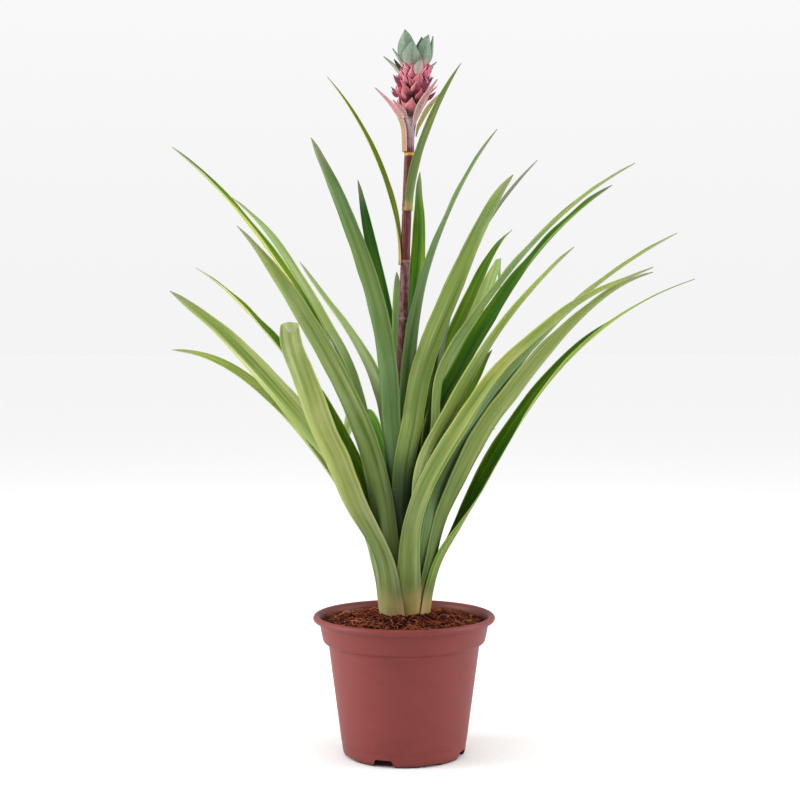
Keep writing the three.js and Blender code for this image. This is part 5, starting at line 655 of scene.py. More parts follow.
# ---------------------------------------------------------------- leaf tables
# where along a leaf its rows lie, then each leaf: [centre, across, upper side, half width, channel depth, thickness] in mm
LEAF_AT = [0, 0.02, 0.045, 0.07, 0.1, 0.13, 0.165, 0.2, 0.24, 0.28, 0.33, 0.38, 0.44, 0.5, 0.56, 0.62, 0.68, 0.74, 0.8, 0.86, 0.91, 0.95, 0.98, 1]
STALK_AT = [0, 0.04, 0.08, 0.13, 0.19, 0.26, 0.34, 0.42, 0.5, 0.59, 0.68, 0.77, 0.85, 0.92, 0.97, 1]
LEAVES = {
    "leaf_front_left_arching": [
        [-9.61, -12.31, 86, 0.7877, -0.616, 0.0023, 0.6025, 0.7712, 0.2056, 10.72, 4.33, 1.05],
        [-10.49, -13.4, 92.78, 0.788, -0.6157, 0, 0.6042, 0.7732, 0.1926, 10.57, 4.27, 1.04],
        [-11.38, -14.58, 101.12, 0.7883, -0.6153, -0.0026, 0.6083, 0.7786, 0.1544, 10.39, 4.2, 1.03],
        [-12.14, -15.55, 109.5, 0.7875, -0.6163, 0.0061, 0.6089, 0.7794, 0.1475, 10.1, 4.09, 1.02],
        [-13.3, -16.71, 119.38, 0.7837, -0.6201, 0.0357, 0.6034, 0.7738, 0.1927, 9.44, 3.94, 1],
        [-15.23, -18.3, 128.84, 0.7758, -0.627, 0.0716, 0.5773, 0.7512, 0.32, 8.51, 3.78, 0.99],
        [-18.9, -21.37, 139.19, 0.7677, -0.6336, 0.0957, 0.5179, 0.7016, 0.4894, 7.98, 3.63, 0.97],
        [-23.68, -25.66, 148.95, 0.7722, -0.6276, 0.0991, 0.4711, 0.6701, 0.5737, 8.55, 3.53, 0.96],
        [-29.37, -31.24, 159.84, 0.7939, -0.6026, 0.0814, 0.4545, 0.677, 0.5789, 9.4, 3.51, 0.94],
        [-34.39, -36.94, 171.02, 0.8238, -0.565, 0.0468, 0.4587, 0.7127, 0.5307, 9.7, 3.51, 0.92],
        [-39.49, -43.8, 185.6, 0.8441, -0.5348, 0.0385, 0.4491, 0.7444, 0.4942, 9.74, 3.51, 0.89],
        [-44.91, -50.62, 200.07, 0.8384, -0.5374, 0.0913, 0.4132, 0.7358, 0.5365, 9.74, 3.51, 0.87],
        [-52.09, -59.34, 216.9, 0.868, -0.493, 0.0586, 0.3847, 0.7425, 0.5484, 9.71, 3.51, 0.84],
        [-57.19, -69.18, 233.84, 0.9112, -0.4109, -0.0288, 0.354, 0.7451, 0.5652, 9.29, 3.17, 0.81],
        [-61.43, -80.95, 249.73, 0.9345, -0.3533, -0.0431, 0.287, 0.6762, 0.6786, 8.56, 1.82, 0.79],
        [-65.04, -95.48, 263.17, 0.9753, -0.2086, -0.0719, 0.181, 0.5687, 0.8024, 7.57, 0.19, 0.76],
        [-66.29, -112.77, 273.32, 0.9974, -0.0341, -0.0638, 0.0724, 0.4097, 0.9093, 6.5, -0.83, 0.73],
        [-65.61, -131.89, 279.58, 0.9981, 0.0604, -0.0151, 0.0022, 0.2085, 0.978, 5.57, -0.85, 0.7],
        [-64.04, -151.89, 281.9, 0.9961, 0.0881, 0.0031, -0.0059, 0.0311, 0.9995, 4.89, -0.76, 0.67],
        [-62.17, -172.06, 281.29, 0.9957, 0.0926, 0.006, 0.0013, -0.0791, 0.9969, 4.11, -0.64, 0.64],
        [-60.65, -188.83, 279.54, 0.9964, 0.0846, 0.0066, 0.0037, -0.1209, 0.9927, 3.27, -0.51, 0.62],
        [-59.59, -202.22, 277.84, 0.9974, 0.0716, 0.0057, 0.0033, -0.1249, 0.9922, 2.38, -0.37, 0.6],
        [-58.92, -212.22, 276.61, 0.9981, 0.0621, 0.0048, 0.0026, -0.1184, 0.993, 1.43, -0.22, 0.59],
        [-58.51, -219, 275.82, 0.9982, 0.0593, 0.0045, 0.0024, -0.1157, 0.9933, 0.28, 0, 0.58],
    ],
    "leaf_right_lowest": [
        [15.19, -2.14, 87.33, 0.1386, 0.9903, -0.0034, -0.9771, 0.1373, 0.1626, 10.48, 4.24, 1.05],
        [16.17, -2.26, 93.41, 0.1391, 0.9903, -0.0001, -0.9789, 0.1375, 0.151, 10.42, 4.21, 1.04],
        [17.21, -2.42, 100.86, 0.1398, 0.9902, 0.0047, -0.9809, 0.1378, 0.1373, 10.37, 4.18, 1.03],
        [18.38, -2.61, 108.33, 0.1385, 0.9904, -0.0022, -0.9729, 0.1365, 0.1865, 10.32, 4.11, 1.02],
        [20.4, -2.76, 117.09, 0.1311, 0.9909, -0.0317, -0.9557, 0.1348, 0.2617, 10.27, 4.01, 1],
        [23.07, -2.65, 125.4, 0.1164, 0.9904, -0.0746, -0.9276, 0.1354, 0.3482, 10.22, 3.89, 0.99],
        [27.33, -2.22, 134.52, 0.0888, 0.9901, -0.109, -0.8716, 0.1303, 0.4726, 10.16, 3.76, 0.97],
        [32.64, -1.58, 143.39, 0.011, 0.9961, -0.088, -0.8527, 0.0553, 0.5195, 10.11, 3.66, 0.96],
        [38.78, -0.65, 153.71, -0.1259, 0.9917, -0.0249, -0.8607, -0.0967, 0.4999, 10.08, 3.63, 0.94],
        [44.58, 0.4, 164.26, -0.2691, 0.9619, 0.0484, -0.8398, -0.259, 0.4771, 10.08, 3.63, 0.92],
        [51.7, 1.68, 177.53, -0.3808, 0.9166, 0.1218, -0.7936, -0.3916, 0.4656, 10.08, 3.63, 0.89],
        [58.99, 2.84, 190.72, -0.38, 0.9144, 0.1394, -0.7837, -0.3984, 0.4765, 10.08, 3.63, 0.87],
        [68.14, 4.05, 206.32, -0.3289, 0.9351, 0.1318, -0.788, -0.3487, 0.5074, 10.08, 3.63, 0.84],
        [77.91, 5.13, 221.55, -0.2598, 0.9594, 0.1097, -0.7879, -0.2763, 0.5503, 10.08, 3.63, 0.81],
        [88.43, 6.12, 236.28, -0.1981, 0.9764, 0.0864, -0.772, -0.2098, 0.6001, 10.07, 3.63, 0.79],
        [99.84, 7.04, 250.33, -0.1402, 0.9885, 0.0565, -0.7419, -0.1427, 0.6552, 9.91, 3.57, 0.76],
        [112.21, 7.94, 263.53, -0.0868, 0.9961, 0.0174, -0.6994, -0.0734, 0.7109, 9.5, 3.42, 0.73],
        [125.54, 8.84, 275.76, -0.0498, 0.9986, -0.0199, -0.6453, -0.017, 0.7638, 8.25, 3.18, 0.7],
        [139.82, 9.79, 286.86, -0.0359, 0.9985, -0.0423, -0.5802, 0.0136, 0.8144, 5.64, 2.84, 0.67],
        [155.01, 10.8, 296.67, -0.0327, 0.9977, -0.0595, -0.5051, 0.0349, 0.8624, 3.86, 2.39, 0.64],
        [168.31, 11.71, 303.74, -0.035, 0.9968, -0.0724, -0.435, 0.05, 0.899, 3.06, 1.9, 0.62],
        [179.33, 12.5, 308.59, -0.0399, 0.996, -0.0805, -0.3771, 0.0596, 0.9242, 2.23, 1.38, 0.6],
        [187.72, 13.11, 311.78, -0.0436, 0.9955, -0.0843, -0.3434, 0.0643, 0.937, 1.34, 0.83, 0.59],
        [193.46, 13.54, 313.81, -0.0446, 0.9954, -0.0851, -0.3343, 0.0654, 0.9402, 0.28, 0, 0.58],
    ],
    "leaf_left_lowest": [
        [-14.51, 3.89, 88.75, -0.2604, -0.9655, 0.0076, 0.9447, -0.2531, 0.2083, 10.3, 4.16, 1.05],
        [-15.5, 4.19, 93.67, -0.2603, -0.9655, 0.0072, 0.9479, -0.2541, 0.1921, 9.97, 4.03, 1.04],
        [-16.45, 4.49, 99.71, -0.26, -0.9656, 0.0047, 0.9581, -0.2573, 0.1261, 9.67, 3.9, 1.03],
        [-17.07, 4.67, 105.77, -0.2593, -0.9658, -0.0014, 0.9604, -0.2581, 0.105, 9.4, 3.77, 1.02],
        [-17.99, 4.87, 113.01, -0.2578, -0.9661, -0.0125, 0.9518, -0.2561, 0.1685, 9.1, 3.6, 1],
        [-19.48, 5.12, 120.17, -0.255, -0.9666, -0.025, 0.9399, -0.2539, 0.2281, 8.82, 3.43, 0.99],
        [-21.44, 5.36, 128.39, -0.2508, -0.9672, -0.0397, 0.9408, -0.2532, 0.2252, 8.51, 3.23, 0.97],
        [-23.41, 5.48, 136.43, -0.2421, -0.9689, -0.0514, 0.9322, -0.2469, 0.2648, 8.21, 3.04, 0.96],
        [-26.53, 5.72, 145.39, -0.2281, -0.9719, -0.0579, 0.8933, -0.2326, 0.3845, 8.05, 2.92, 0.94],
        [-30.69, 6.14, 154.11, -0.2138, -0.975, -0.0601, 0.8603, -0.2171, 0.4614, 8.05, 2.9, 0.92],
        [-36.66, 6.74, 164.71, -0.2008, -0.9777, -0.0621, 0.8356, -0.2041, 0.5101, 8.05, 2.9, 0.89],
        [-43.1, 7.36, 175.04, -0.1983, -0.9778, -0.0672, 0.8161, -0.2027, 0.5412, 8.05, 2.9, 0.87],
        [-51.25, 8.15, 187.17, -0.2056, -0.9755, -0.0777, 0.7946, -0.2128, 0.5686, 8.05, 2.9, 0.84],
        [-59.82, 8.99, 198.99, -0.2193, -0.9714, -0.0914, 0.7684, -0.2297, 0.5974, 8.05, 2.9, 0.81],
        [-68.86, 9.94, 210.45, -0.2351, -0.9661, -0.1066, 0.7354, -0.2485, 0.6305, 8.05, 2.9, 0.79],
        [-78.43, 11.05, 221.45, -0.2605, -0.9564, -0.1319, 0.6918, -0.2802, 0.6655, 7.92, 2.85, 0.76],
        [-88.58, 12.36, 231.9, -0.2887, -0.9427, -0.1673, 0.6361, -0.3195, 0.7023, 7.59, 2.73, 0.73],
        [-99.39, 13.87, 241.61, -0.303, -0.9306, -0.2052, 0.5666, -0.3491, 0.7464, 7.06, 2.54, 0.7],
        [-111.02, 15.56, 250.29, -0.2922, -0.9272, -0.2344, 0.4816, -0.3545, 0.8015, 6.31, 2.27, 0.67],
        [-123.54, 17.39, 257.53, -0.2634, -0.9286, -0.2614, 0.3718, -0.3478, 0.8607, 5.31, 1.91, 0.64],
        [-134.66, 18.99, 262.15, -0.2273, -0.932, -0.2823, 0.2585, -0.3373, 0.9052, 4.22, 1.52, 0.62],
        [-143.94, 20.28, 264.71, -0.1931, -0.9358, -0.2948, 0.1603, -0.3266, 0.9315, 3.07, 1.1, 0.6],
        [-151, 21.24, 266.01, -0.1722, -0.9383, -0.2999, 0.1026, -0.3199, 0.9419, 1.85, 0.66, 0.59],
        [-155.82, 21.89, 266.7, -0.1665, -0.939, -0.301, 0.0871, -0.3181, 0.9441, 0.28, 0, 0.58],
    ],
    "leaf_front_right_low": [
        [2.53, -14.37, 90.22, 0.9847, 0.1741, -0.003, -0.1713, 0.9713, 0.1652, 10.07, 4.07, 1.05],
        [2.74, -15.45, 96.63, 0.9847, 0.1741, -0.0025, -0.1708, 0.969, 0.1782, 9.45, 3.82, 1.04],
        [3.01, -16.9, 104.48, 0.9848, 0.1735, 0.0003, -0.1706, 0.9678, 0.1853, 8.88, 3.58, 1.03],
        [3.24, -18.37, 112.37, 0.985, 0.1724, 0.0063, -0.1707, 0.9683, 0.1827, 8.38, 3.33, 1.02],
        [3.44, -19.98, 121.8, 0.9851, 0.1717, 0.0102, -0.1714, 0.9743, 0.146, 7.82, 3.04, 1],
        [3.59, -21.15, 131.24, 0.9848, 0.1735, -0.0052, -0.1718, 0.9786, 0.1131, 7.29, 2.76, 0.99],
        [4.14, -22.4, 142.25, 0.9817, 0.1802, -0.0622, -0.171, 0.9766, 0.1306, 6.71, 2.47, 0.97],
        [5.59, -23.63, 153.19, 0.9681, 0.1912, -0.1618, -0.1718, 0.9769, 0.1271, 6.15, 2.22, 0.96],
        [8.68, -24.43, 165.42, 0.9354, 0.199, -0.2923, -0.1817, 0.9796, 0.0857, 5.84, 2.1, 0.94],
        [13.1, -24.57, 177.19, 0.9023, 0.2005, -0.3817, -0.1734, 0.9793, 0.1045, 5.84, 2.1, 0.92],
        [19.89, -26.37, 191.17, 0.8834, 0.2056, -0.4212, -0.0894, 0.9561, 0.279, 5.84, 2.1, 0.89],
        [27.36, -30.81, 204.39, 0.8768, 0.2351, -0.4194, -0.049, 0.9114, 0.4085, 5.84, 2.1, 0.87],
        [36.5, -38.16, 219.44, 0.8663, 0.3787, -0.3258, -0.1537, 0.8226, 0.5475, 5.84, 2.1, 0.84],
        [45.46, -46.79, 233.94, 0.8314, 0.5245, -0.1835, -0.3047, 0.7064, 0.6388, 5.84, 2.1, 0.81],
        [54.48, -56.32, 247.79, 0.7982, 0.591, -0.1169, -0.3489, 0.6116, 0.7101, 5.84, 2.1, 0.79],
        [64.46, -66.88, 260.12, 0.7747, 0.621, -0.1189, -0.3016, 0.5282, 0.7937, 5.75, 2.07, 0.76],
        [75.46, -78.21, 270.83, 0.7609, 0.6382, -0.1174, -0.2741, 0.4801, 0.8333, 5.51, 1.98, 0.73],
        [86.7, -89.74, 281.13, 0.7588, 0.6429, -0.1038, -0.2839, 0.47, 0.8357, 5.12, 1.84, 0.7],
        [98.01, -101.47, 291.08, 0.75, 0.656, -0.0848, -0.2656, 0.4161, 0.8696, 4.58, 1.65, 0.67],
        [109.96, -113.87, 299.22, 0.7334, 0.6775, -0.0549, -0.211, 0.3036, 0.9291, 3.85, 1.39, 0.64],
        [120.39, -124.67, 304.45, 0.7228, 0.6908, -0.0179, -0.198, 0.2318, 0.9524, 3.06, 1.1, 0.62],
        [128.83, -133.41, 308.29, 0.7152, 0.6987, 0.0171, -0.2256, 0.2075, 0.9519, 2.23, 0.8, 0.6],
        [135.09, -139.89, 311.27, 0.7079, 0.7048, 0.0451, -0.2583, 0.1989, 0.9454, 1.34, 0.48, 0.59],
        [139.31, -144.26, 313.38, 0.7023, 0.7089, 0.0643, -0.2769, 0.1889, 0.9421, 0.28, 0, 0.58],
    ],
    "leaf_back_low": [
        [0.51, 14.5, 91.7, -0.9994, 0.0347, -0.0015, -0.0344, -0.9865, 0.1602, 10.08, 4.07, 1.05],
        [0.53, 15.46, 97.61, -0.9994, 0.0346, -0.0019, -0.0344, -0.986, 0.1631, 9.74, 3.94, 1.04],
        [0.56, 16.64, 104.84, -0.9994, 0.0348, -0.0007, -0.0345, -0.9867, 0.1588, 9.43, 3.8, 1.03],
        [0.62, 17.91, 112.08, -0.9993, 0.0361, 0.0061, -0.0341, -0.9794, 0.1992, 9.15, 3.65, 1.02],
        [0.8, 19.99, 120.6, -0.999, 0.0397, 0.0198, -0.0327, -0.9607, 0.2755, 8.84, 3.46, 1],
        [1.14, 22.65, 128.82, -0.9984, 0.0444, 0.0337, -0.0302, -0.9397, 0.3407, 8.55, 3.27, 0.99],
        [1.69, 26.42, 138.01, -0.9978, 0.0492, 0.0452, -0.0255, -0.9058, 0.423, 8.23, 3.05, 0.97],
        [2.35, 31.07, 146.83, -0.9974, 0.0517, 0.0499, -0.0191, -0.8601, 0.5097, 7.92, 2.88, 0.96],
        [3.17, 37.43, 156.64, -0.9974, 0.0515, 0.0497, -0.0142, -0.823, 0.5678, 7.75, 2.79, 0.94],
        [3.97, 44.09, 166.15, -0.9977, 0.049, 0.0461, -0.0135, -0.8171, 0.5764, 7.75, 2.79, 0.92],
        [4.87, 52.28, 177.53, -0.9978, 0.0482, 0.0448, -0.0117, -0.8002, 0.5997, 7.75, 2.79, 0.89],
        [5.94, 60.92, 188.8, -0.9958, 0.0639, 0.0654, -0.011, -0.7939, 0.608, 7.75, 2.79, 0.87],
        [7.7, 71.77, 202.43, -0.995, 0.0692, 0.0727, -0.0038, -0.749, 0.6626, 7.75, 2.79, 0.84],
        [9.38, 84.16, 214.71, -0.9955, 0.0656, 0.0688, 0.0082, -0.6618, 0.7496, 7.75, 2.79, 0.81],
        [11.09, 97.85, 225.51, -0.9948, 0.0711, 0.073, 0.019, -0.5746, 0.8182, 7.75, 2.79, 0.79],
        [12.9, 112.73, 234.54, -0.9938, 0.0796, 0.078, 0.0326, -0.4617, 0.8864, 7.62, 2.74, 0.76],
        [14.81, 128.74, 241.3, -0.9925, 0.0903, 0.0823, 0.0495, -0.3189, 0.9465, 7.31, 2.63, 0.73],
        [16.79, 145.61, 245.33, -0.9911, 0.1025, 0.085, 0.0687, -0.153, 0.9858, 6.8, 2.45, 0.7],
        [18.77, 162.93, 246.31, -0.9898, 0.1141, 0.0855, 0.0887, 0.023, 0.9958, 6.08, 2.19, 0.67],
        [20.65, 180.13, 244.12, -0.9887, 0.1239, 0.0841, 0.1089, 0.2091, 0.9718, 5.11, 1.84, 0.64],
        [22.06, 193.9, 239.73, -0.988, 0.1309, 0.0817, 0.1257, 0.3757, 0.9182, 4.06, 1.46, 0.62],
        [23.02, 204.18, 234.42, -0.9876, 0.1357, 0.0791, 0.1379, 0.5078, 0.8503, 2.95, 1.06, 0.6],
        [23.62, 211.34, 229.56, -0.9874, 0.138, 0.0775, 0.1441, 0.5806, 0.8013, 1.78, 0.64, 0.59],
        [24, 216, 225.99, -0.9873, 0.1386, 0.077, 0.1456, 0.5994, 0.7871, 0.28, 0, 0.58],
    ],
    "leaf_right_front_low": [
        [12.86, -4.68, 93.21, 0.3421, 0.9397, 0.0003, -0.9315, 0.339, 0.1316, 9.67, 3.91, 1.05],
        [13.64, -4.96, 98.85, 0.342, 0.9397, 0, -0.9255, 0.3369, 0.1729, 9.68, 3.91, 1.04],
        [14.99, -5.46, 105.77, 0.3419, 0.9397, -0.0003, -0.9153, 0.3332, 0.2262, 9.69, 3.91, 1.03],
        [16.57, -6.03, 112.71, 0.3422, 0.9396, 0.0007, -0.9128, 0.3322, 0.2373, 9.7, 3.88, 1.02],
        [18.46, -6.74, 120.98, 0.3429, 0.9394, 0.004, -0.9139, 0.3327, 0.2325, 9.71, 3.81, 1],
        [20.18, -7.42, 129.2, 0.3439, 0.939, 0.0087, -0.9196, 0.3349, 0.2055, 9.71, 3.73, 0.99],
        [21.97, -8.2, 138.69, 0.3496, 0.9368, 0.0131, -0.9164, 0.339, 0.2125, 9.72, 3.63, 0.97],
        [24.06, -9.13, 147.98, 0.3869, 0.9221, 0.0066, -0.8887, 0.371, 0.2694, 9.73, 3.55, 0.96],
        [27.11, -10.49, 158.25, 0.4547, 0.8904, -0.0224, -0.8294, 0.4325, 0.3538, 9.73, 3.51, 0.94],
        [31.11, -12.21, 168.25, 0.5228, 0.8495, -0.0715, -0.7536, 0.4997, 0.4271, 9.73, 3.5, 0.92],
        [36.81, -14.62, 180.75, 0.5894, 0.7995, -0.1154, -0.6969, 0.5756, 0.4279, 9.73, 3.5, 0.89],
        [42.55, -17.02, 193.3, 0.6174, 0.7746, -0.1374, -0.667, 0.608, 0.4307, 9.73, 3.5, 0.87],
        [49.95, -20.1, 208.08, 0.632, 0.7551, -0.1743, -0.6166, 0.6263, 0.477, 9.73, 3.5, 0.84],
        [58.42, -23.59, 222.15, 0.6313, 0.7453, -0.2144, -0.5588, 0.6289, 0.5407, 9.73, 3.5, 0.81],
        [67.88, -27.47, 235.48, 0.6218, 0.7464, -0.2372, -0.5246, 0.6218, 0.5815, 9.73, 3.5, 0.79],
        [77.81, -31.49, 248.44, 0.599, 0.7679, -0.2268, -0.533, 0.5938, 0.6027, 9.57, 3.45, 0.76],
        [87.94, -35.55, 261.22, 0.5603, 0.8058, -0.1918, -0.5605, 0.5393, 0.6285, 9.18, 3.3, 0.73],
        [98.43, -39.77, 273.68, 0.5091, 0.8479, -0.1478, -0.5758, 0.4632, 0.6737, 8.54, 3.07, 0.7],
        [109.48, -44.23, 285.53, 0.4584, 0.8831, -0.1004, -0.5772, 0.3817, 0.7219, 7.63, 2.75, 0.67],
        [121.22, -48.97, 296.57, 0.4043, 0.9137, -0.0406, -0.5572, 0.2813, 0.7813, 6.42, 2.31, 0.64],
        [131.77, -53.24, 304.66, 0.3604, 0.9325, 0.0251, -0.4963, 0.1689, 0.8515, 5.1, 1.84, 0.62],
        [140.9, -56.93, 309.86, 0.3353, 0.9377, 0.0912, -0.4126, 0.0591, 0.909, 3.71, 1.34, 0.6],
        [148.08, -59.83, 312.89, 0.3228, 0.9351, 0.1464, -0.3587, -0.0222, 0.9332, 2.23, 0.8, 0.59],
        [153.04, -61.83, 314.65, 0.3127, 0.932, 0.1834, -0.3507, -0.0661, 0.9341, 0.28, 0, 0.58],
    ],
    "leaf_left_front_low": [
        [-13.7, -2.91, 94.73, 0.2075, -0.9782, 0.0021, 0.9637, 0.2048, 0.1714, 8.96, 3.44, 1.05],
        [-14.55, -3.08, 99.96, 0.2076, -0.9782, 0.0018, 0.9683, 0.2058, 0.1417, 8.98, 3.45, 1.04],
        [-15.25, -3.22, 106.38, 0.2078, -0.9782, 0.0001, 0.9738, 0.2069, 0.0942, 8.99, 3.45, 1.03],
        [-15.99, -3.39, 112.81, 0.2083, -0.9781, -0.0035, 0.9662, 0.2052, 0.156, 9, 3.44, 1.02],
        [-17.54, -3.77, 120.47, 0.2097, -0.9777, -0.0101, 0.9506, 0.2014, 0.2362, 9.01, 3.41, 1],
        [-19.31, -4.27, 128.03, 0.2117, -0.9771, -0.019, 0.954, 0.2024, 0.2209, 9.03, 3.38, 0.99],
        [-21.03, -4.86, 136.73, 0.2171, -0.9757, -0.03, 0.9575, 0.2068, 0.201, 9.04, 3.34, 0.97],
        [-22.95, -5.6, 145.26, 0.2442, -0.9692, -0.0327, 0.933, 0.2256, 0.2804, 9.05, 3.3, 0.96],
        [-26.23, -6.79, 154.82, 0.297, -0.9547, -0.0169, 0.8798, 0.2667, 0.3934, 9.06, 3.27, 0.94],
        [-30.41, -8.27, 164.15, 0.3612, -0.9324, 0.0144, 0.8272, 0.3275, 0.4566, 9.06, 3.26, 0.92],
        [-36.31, -10.38, 175.5, 0.4417, -0.8947, 0.0661, 0.7597, 0.4122, 0.503, 9.06, 3.26, 0.89],
        [-42.75, -12.71, 186.52, 0.5199, -0.844, 0.1317, 0.6814, 0.5027, 0.532, 9.06, 3.26, 0.87],
        [-51.08, -15.73, 199.32, 0.635, -0.7298, 0.2533, 0.5397, 0.6537, 0.5304, 9.06, 3.26, 0.84],
        [-59.93, -18.92, 211.73, 0.7097, -0.6017, 0.3665, 0.3959, 0.7709, 0.4989, 9.06, 3.26, 0.81],
        [-69.19, -22.22, 223.8, 0.7203, -0.5557, 0.4152, 0.3367, 0.8034, 0.4911, 9.06, 3.26, 0.79],
        [-78.79, -25.56, 235.6, 0.7019, -0.5758, 0.4193, 0.342, 0.7889, 0.5106, 8.91, 3.21, 0.76],
        [-88.63, -28.9, 247.2, 0.6789, -0.6083, 0.4112, 0.3626, 0.7648, 0.5326, 8.54, 3.08, 0.73],
        [-98.67, -32.18, 258.65, 0.6547, -0.6403, 0.4017, 0.3827, 0.739, 0.5544, 7.95, 2.86, 0.7],
        [-108.99, -35.45, 269.84, 0.6306, -0.6626, 0.4042, 0.3807, 0.7178, 0.5829, 7.11, 2.56, 0.67],
        [-119.8, -38.88, 280.51, 0.6034, -0.6814, 0.4141, 0.3576, 0.6954, 0.6233, 5.98, 2.15, 0.64],
        [-129.23, -41.93, 288.88, 0.5847, -0.6946, 0.4192, 0.3372, 0.678, 0.6532, 4.75, 1.71, 0.62],
        [-136.92, -44.45, 295.38, 0.5802, -0.7005, 0.4155, 0.3359, 0.6705, 0.6615, 3.45, 1.24, 0.6],
        [-142.65, -46.34, 300.22, 0.5813, -0.7028, 0.4102, 0.3419, 0.6684, 0.6606, 2.08, 0.75, 0.59],
        [-146.52, -47.62, 303.52, 0.5816, -0.704, 0.4077, 0.3449, 0.6673, 0.6602, 0.28, 0, 0.58],
    ],
    "leaf_back_left_low": [
        [-4.23, 13.03, 96.26, -0.9511, -0.3088, 0.0018, 0.3069, -0.9447, 0.1157, 8.63, 3.31, 1.05],
        [-4.42, 13.64, 101.66, -0.9511, -0.3089, 0.0013, 0.3067, -0.944, 0.1212, 8.47, 3.25, 1.04],
        [-4.69, 14.48, 108.27, -0.951, -0.3091, -0.0006, 0.3054, -0.9398, 0.1533, 8.31, 3.19, 1.03],
        [-5.08, 15.63, 114.87, -0.9509, -0.3095, -0.0027, 0.3026, -0.9313, 0.2028, 8.18, 3.12, 1.02],
        [-5.65, 17.28, 122.66, -0.9508, -0.3099, -0.0043, 0.3004, -0.925, 0.2326, 8.03, 3.04, 1],
        [-6.31, 19.21, 130.26, -0.9508, -0.3097, -0.0036, 0.2948, -0.9086, 0.2958, 7.89, 2.95, 0.99],
        [-7.31, 22.24, 138.85, -0.9514, -0.3081, 0.0005, 0.283, -0.8732, 0.3967, 7.73, 2.85, 0.97],
        [-8.5, 26.02, 147.13, -0.9524, -0.3049, 0.0073, 0.2735, -0.8433, 0.4626, 7.58, 2.76, 0.96],
        [-9.98, 31.04, 156.24, -0.9539, -0.2997, 0.0164, 0.2619, -0.8042, 0.5335, 7.5, 2.7, 0.94],
        [-11.59, 36.84, 164.98, -0.9555, -0.2939, 0.025, 0.25, -0.7621, 0.5973, 7.5, 2.7, 0.92],
        [-13.73, 44.99, 175.35, -0.9576, -0.286, 0.0348, 0.2369, -0.7128, 0.6602, 7.5, 2.7, 0.89],
        [-15.97, 53.95, 185.02, -0.9597, -0.2776, 0.0438, 0.2234, -0.6591, 0.7181, 7.5, 2.7, 0.87],
        [-18.77, 65.72, 195.56, -0.9623, -0.2666, 0.0534, 0.2052, -0.5833, 0.7859, 7.5, 2.7, 0.84],
        [-21.69, 78.56, 204.7, -0.9652, -0.2542, 0.0621, 0.1841, -0.4909, 0.8515, 7.5, 2.7, 0.81],
        [-24.73, 92.41, 212.14, -0.9683, -0.24, 0.0695, 0.159, -0.3776, 0.9122, 7.5, 2.7, 0.79],
        [-27.86, 107.16, 217.51, -0.9717, -0.2238, 0.0751, 0.1297, -0.2401, 0.962, 7.38, 2.66, 0.76],
        [-31.03, 122.56, 220.42, -0.9754, -0.206, 0.0781, 0.0964, -0.0801, 0.9921, 7.07, 2.55, 0.73],
        [-34.17, 138.23, 220.59, -0.979, -0.1883, 0.0781, 0.0618, 0.0909, 0.9939, 6.58, 2.37, 0.7],
        [-37.22, 153.7, 217.98, -0.982, -0.173, 0.0753, 0.0289, 0.2562, 0.9662, 5.88, 2.12, 0.67],
        [-40.12, 168.52, 212.73, -0.9845, -0.1606, 0.0707, -0.0023, 0.4146, 0.91, 4.95, 1.78, 0.64],
        [-42.38, 180.02, 206.41, -0.9862, -0.1519, 0.0657, -0.0279, 0.5438, 0.8387, 3.93, 1.42, 0.62],
        [-44.06, 188.44, 200.1, -0.9873, -0.1463, 0.0613, -0.0472, 0.6404, 0.7666, 2.86, 1.03, 0.6],
        [-45.23, 194.24, 194.78, -0.9879, -0.1434, 0.0587, -0.0578, 0.6923, 0.7192, 1.72, 0.62, 0.59],
        [-46, 198, 190.99, -0.9881, -0.1427, 0.0579, -0.0605, 0.7057, 0.7059, 0.28, 0, 0.58],
    ],
    "leaf_left_back_low": [
        [-10.89, 5.79, 97.81, -0.4698, -0.8828, 0.0066, 0.8818, -0.4689, 0.0513, 8.57, 3.29, 1.05],
        [-11.19, 5.99, 103.36, -0.4696, -0.8829, 0.0042, 0.8788, -0.4669, 0.0984, 8.45, 3.24, 1.04],
        [-12.07, 6.46, 110.17, -0.4684, -0.8835, -0.0032, 0.8668, -0.4603, 0.1918, 8.33, 3.2, 1.03],
        [-13.49, 7.15, 117.02, -0.4663, -0.8845, -0.0132, 0.8569, -0.4553, 0.2417, 8.24, 3.14, 1.02],
        [-15.37, 7.96, 125.2, -0.4635, -0.8857, -0.0257, 0.8604, -0.4568, 0.2258, 8.13, 3.07, 1],
        [-16.94, 8.48, 133.31, -0.4613, -0.8865, -0.0378, 0.8714, -0.4606, 0.1687, 8.02, 2.99, 0.99],
        [-18.39, 8.77, 142.7, -0.4594, -0.8868, -0.0501, 0.8752, -0.4615, 0.145, 7.91, 2.91, 0.97],
        [-19.99, 9.02, 151.97, -0.4575, -0.8872, -0.0594, 0.8664, -0.4598, 0.1946, 7.8, 2.83, 0.96],
        [-22.65, 9.64, 162.43, -0.4552, -0.8879, -0.0667, 0.8419, -0.4535, 0.2924, 7.74, 2.79, 0.94],
        [-26.19, 10.64, 172.73, -0.4527, -0.8888, -0.0719, 0.8199, -0.4466, 0.3583, 7.74, 2.78, 0.92],
        [-31.35, 12.2, 185.38, -0.4495, -0.89, -0.0769, 0.8001, -0.4394, 0.4083, 7.74, 2.78, 0.89],
        [-37.09, 14, 197.75, -0.4461, -0.8914, -0.0803, 0.7808, -0.4315, 0.4519, 7.74, 2.78, 0.87],
        [-44.69, 16.46, 212.19, -0.4404, -0.8942, -0.081, 0.757, -0.4183, 0.502, 7.74, 2.78, 0.84],
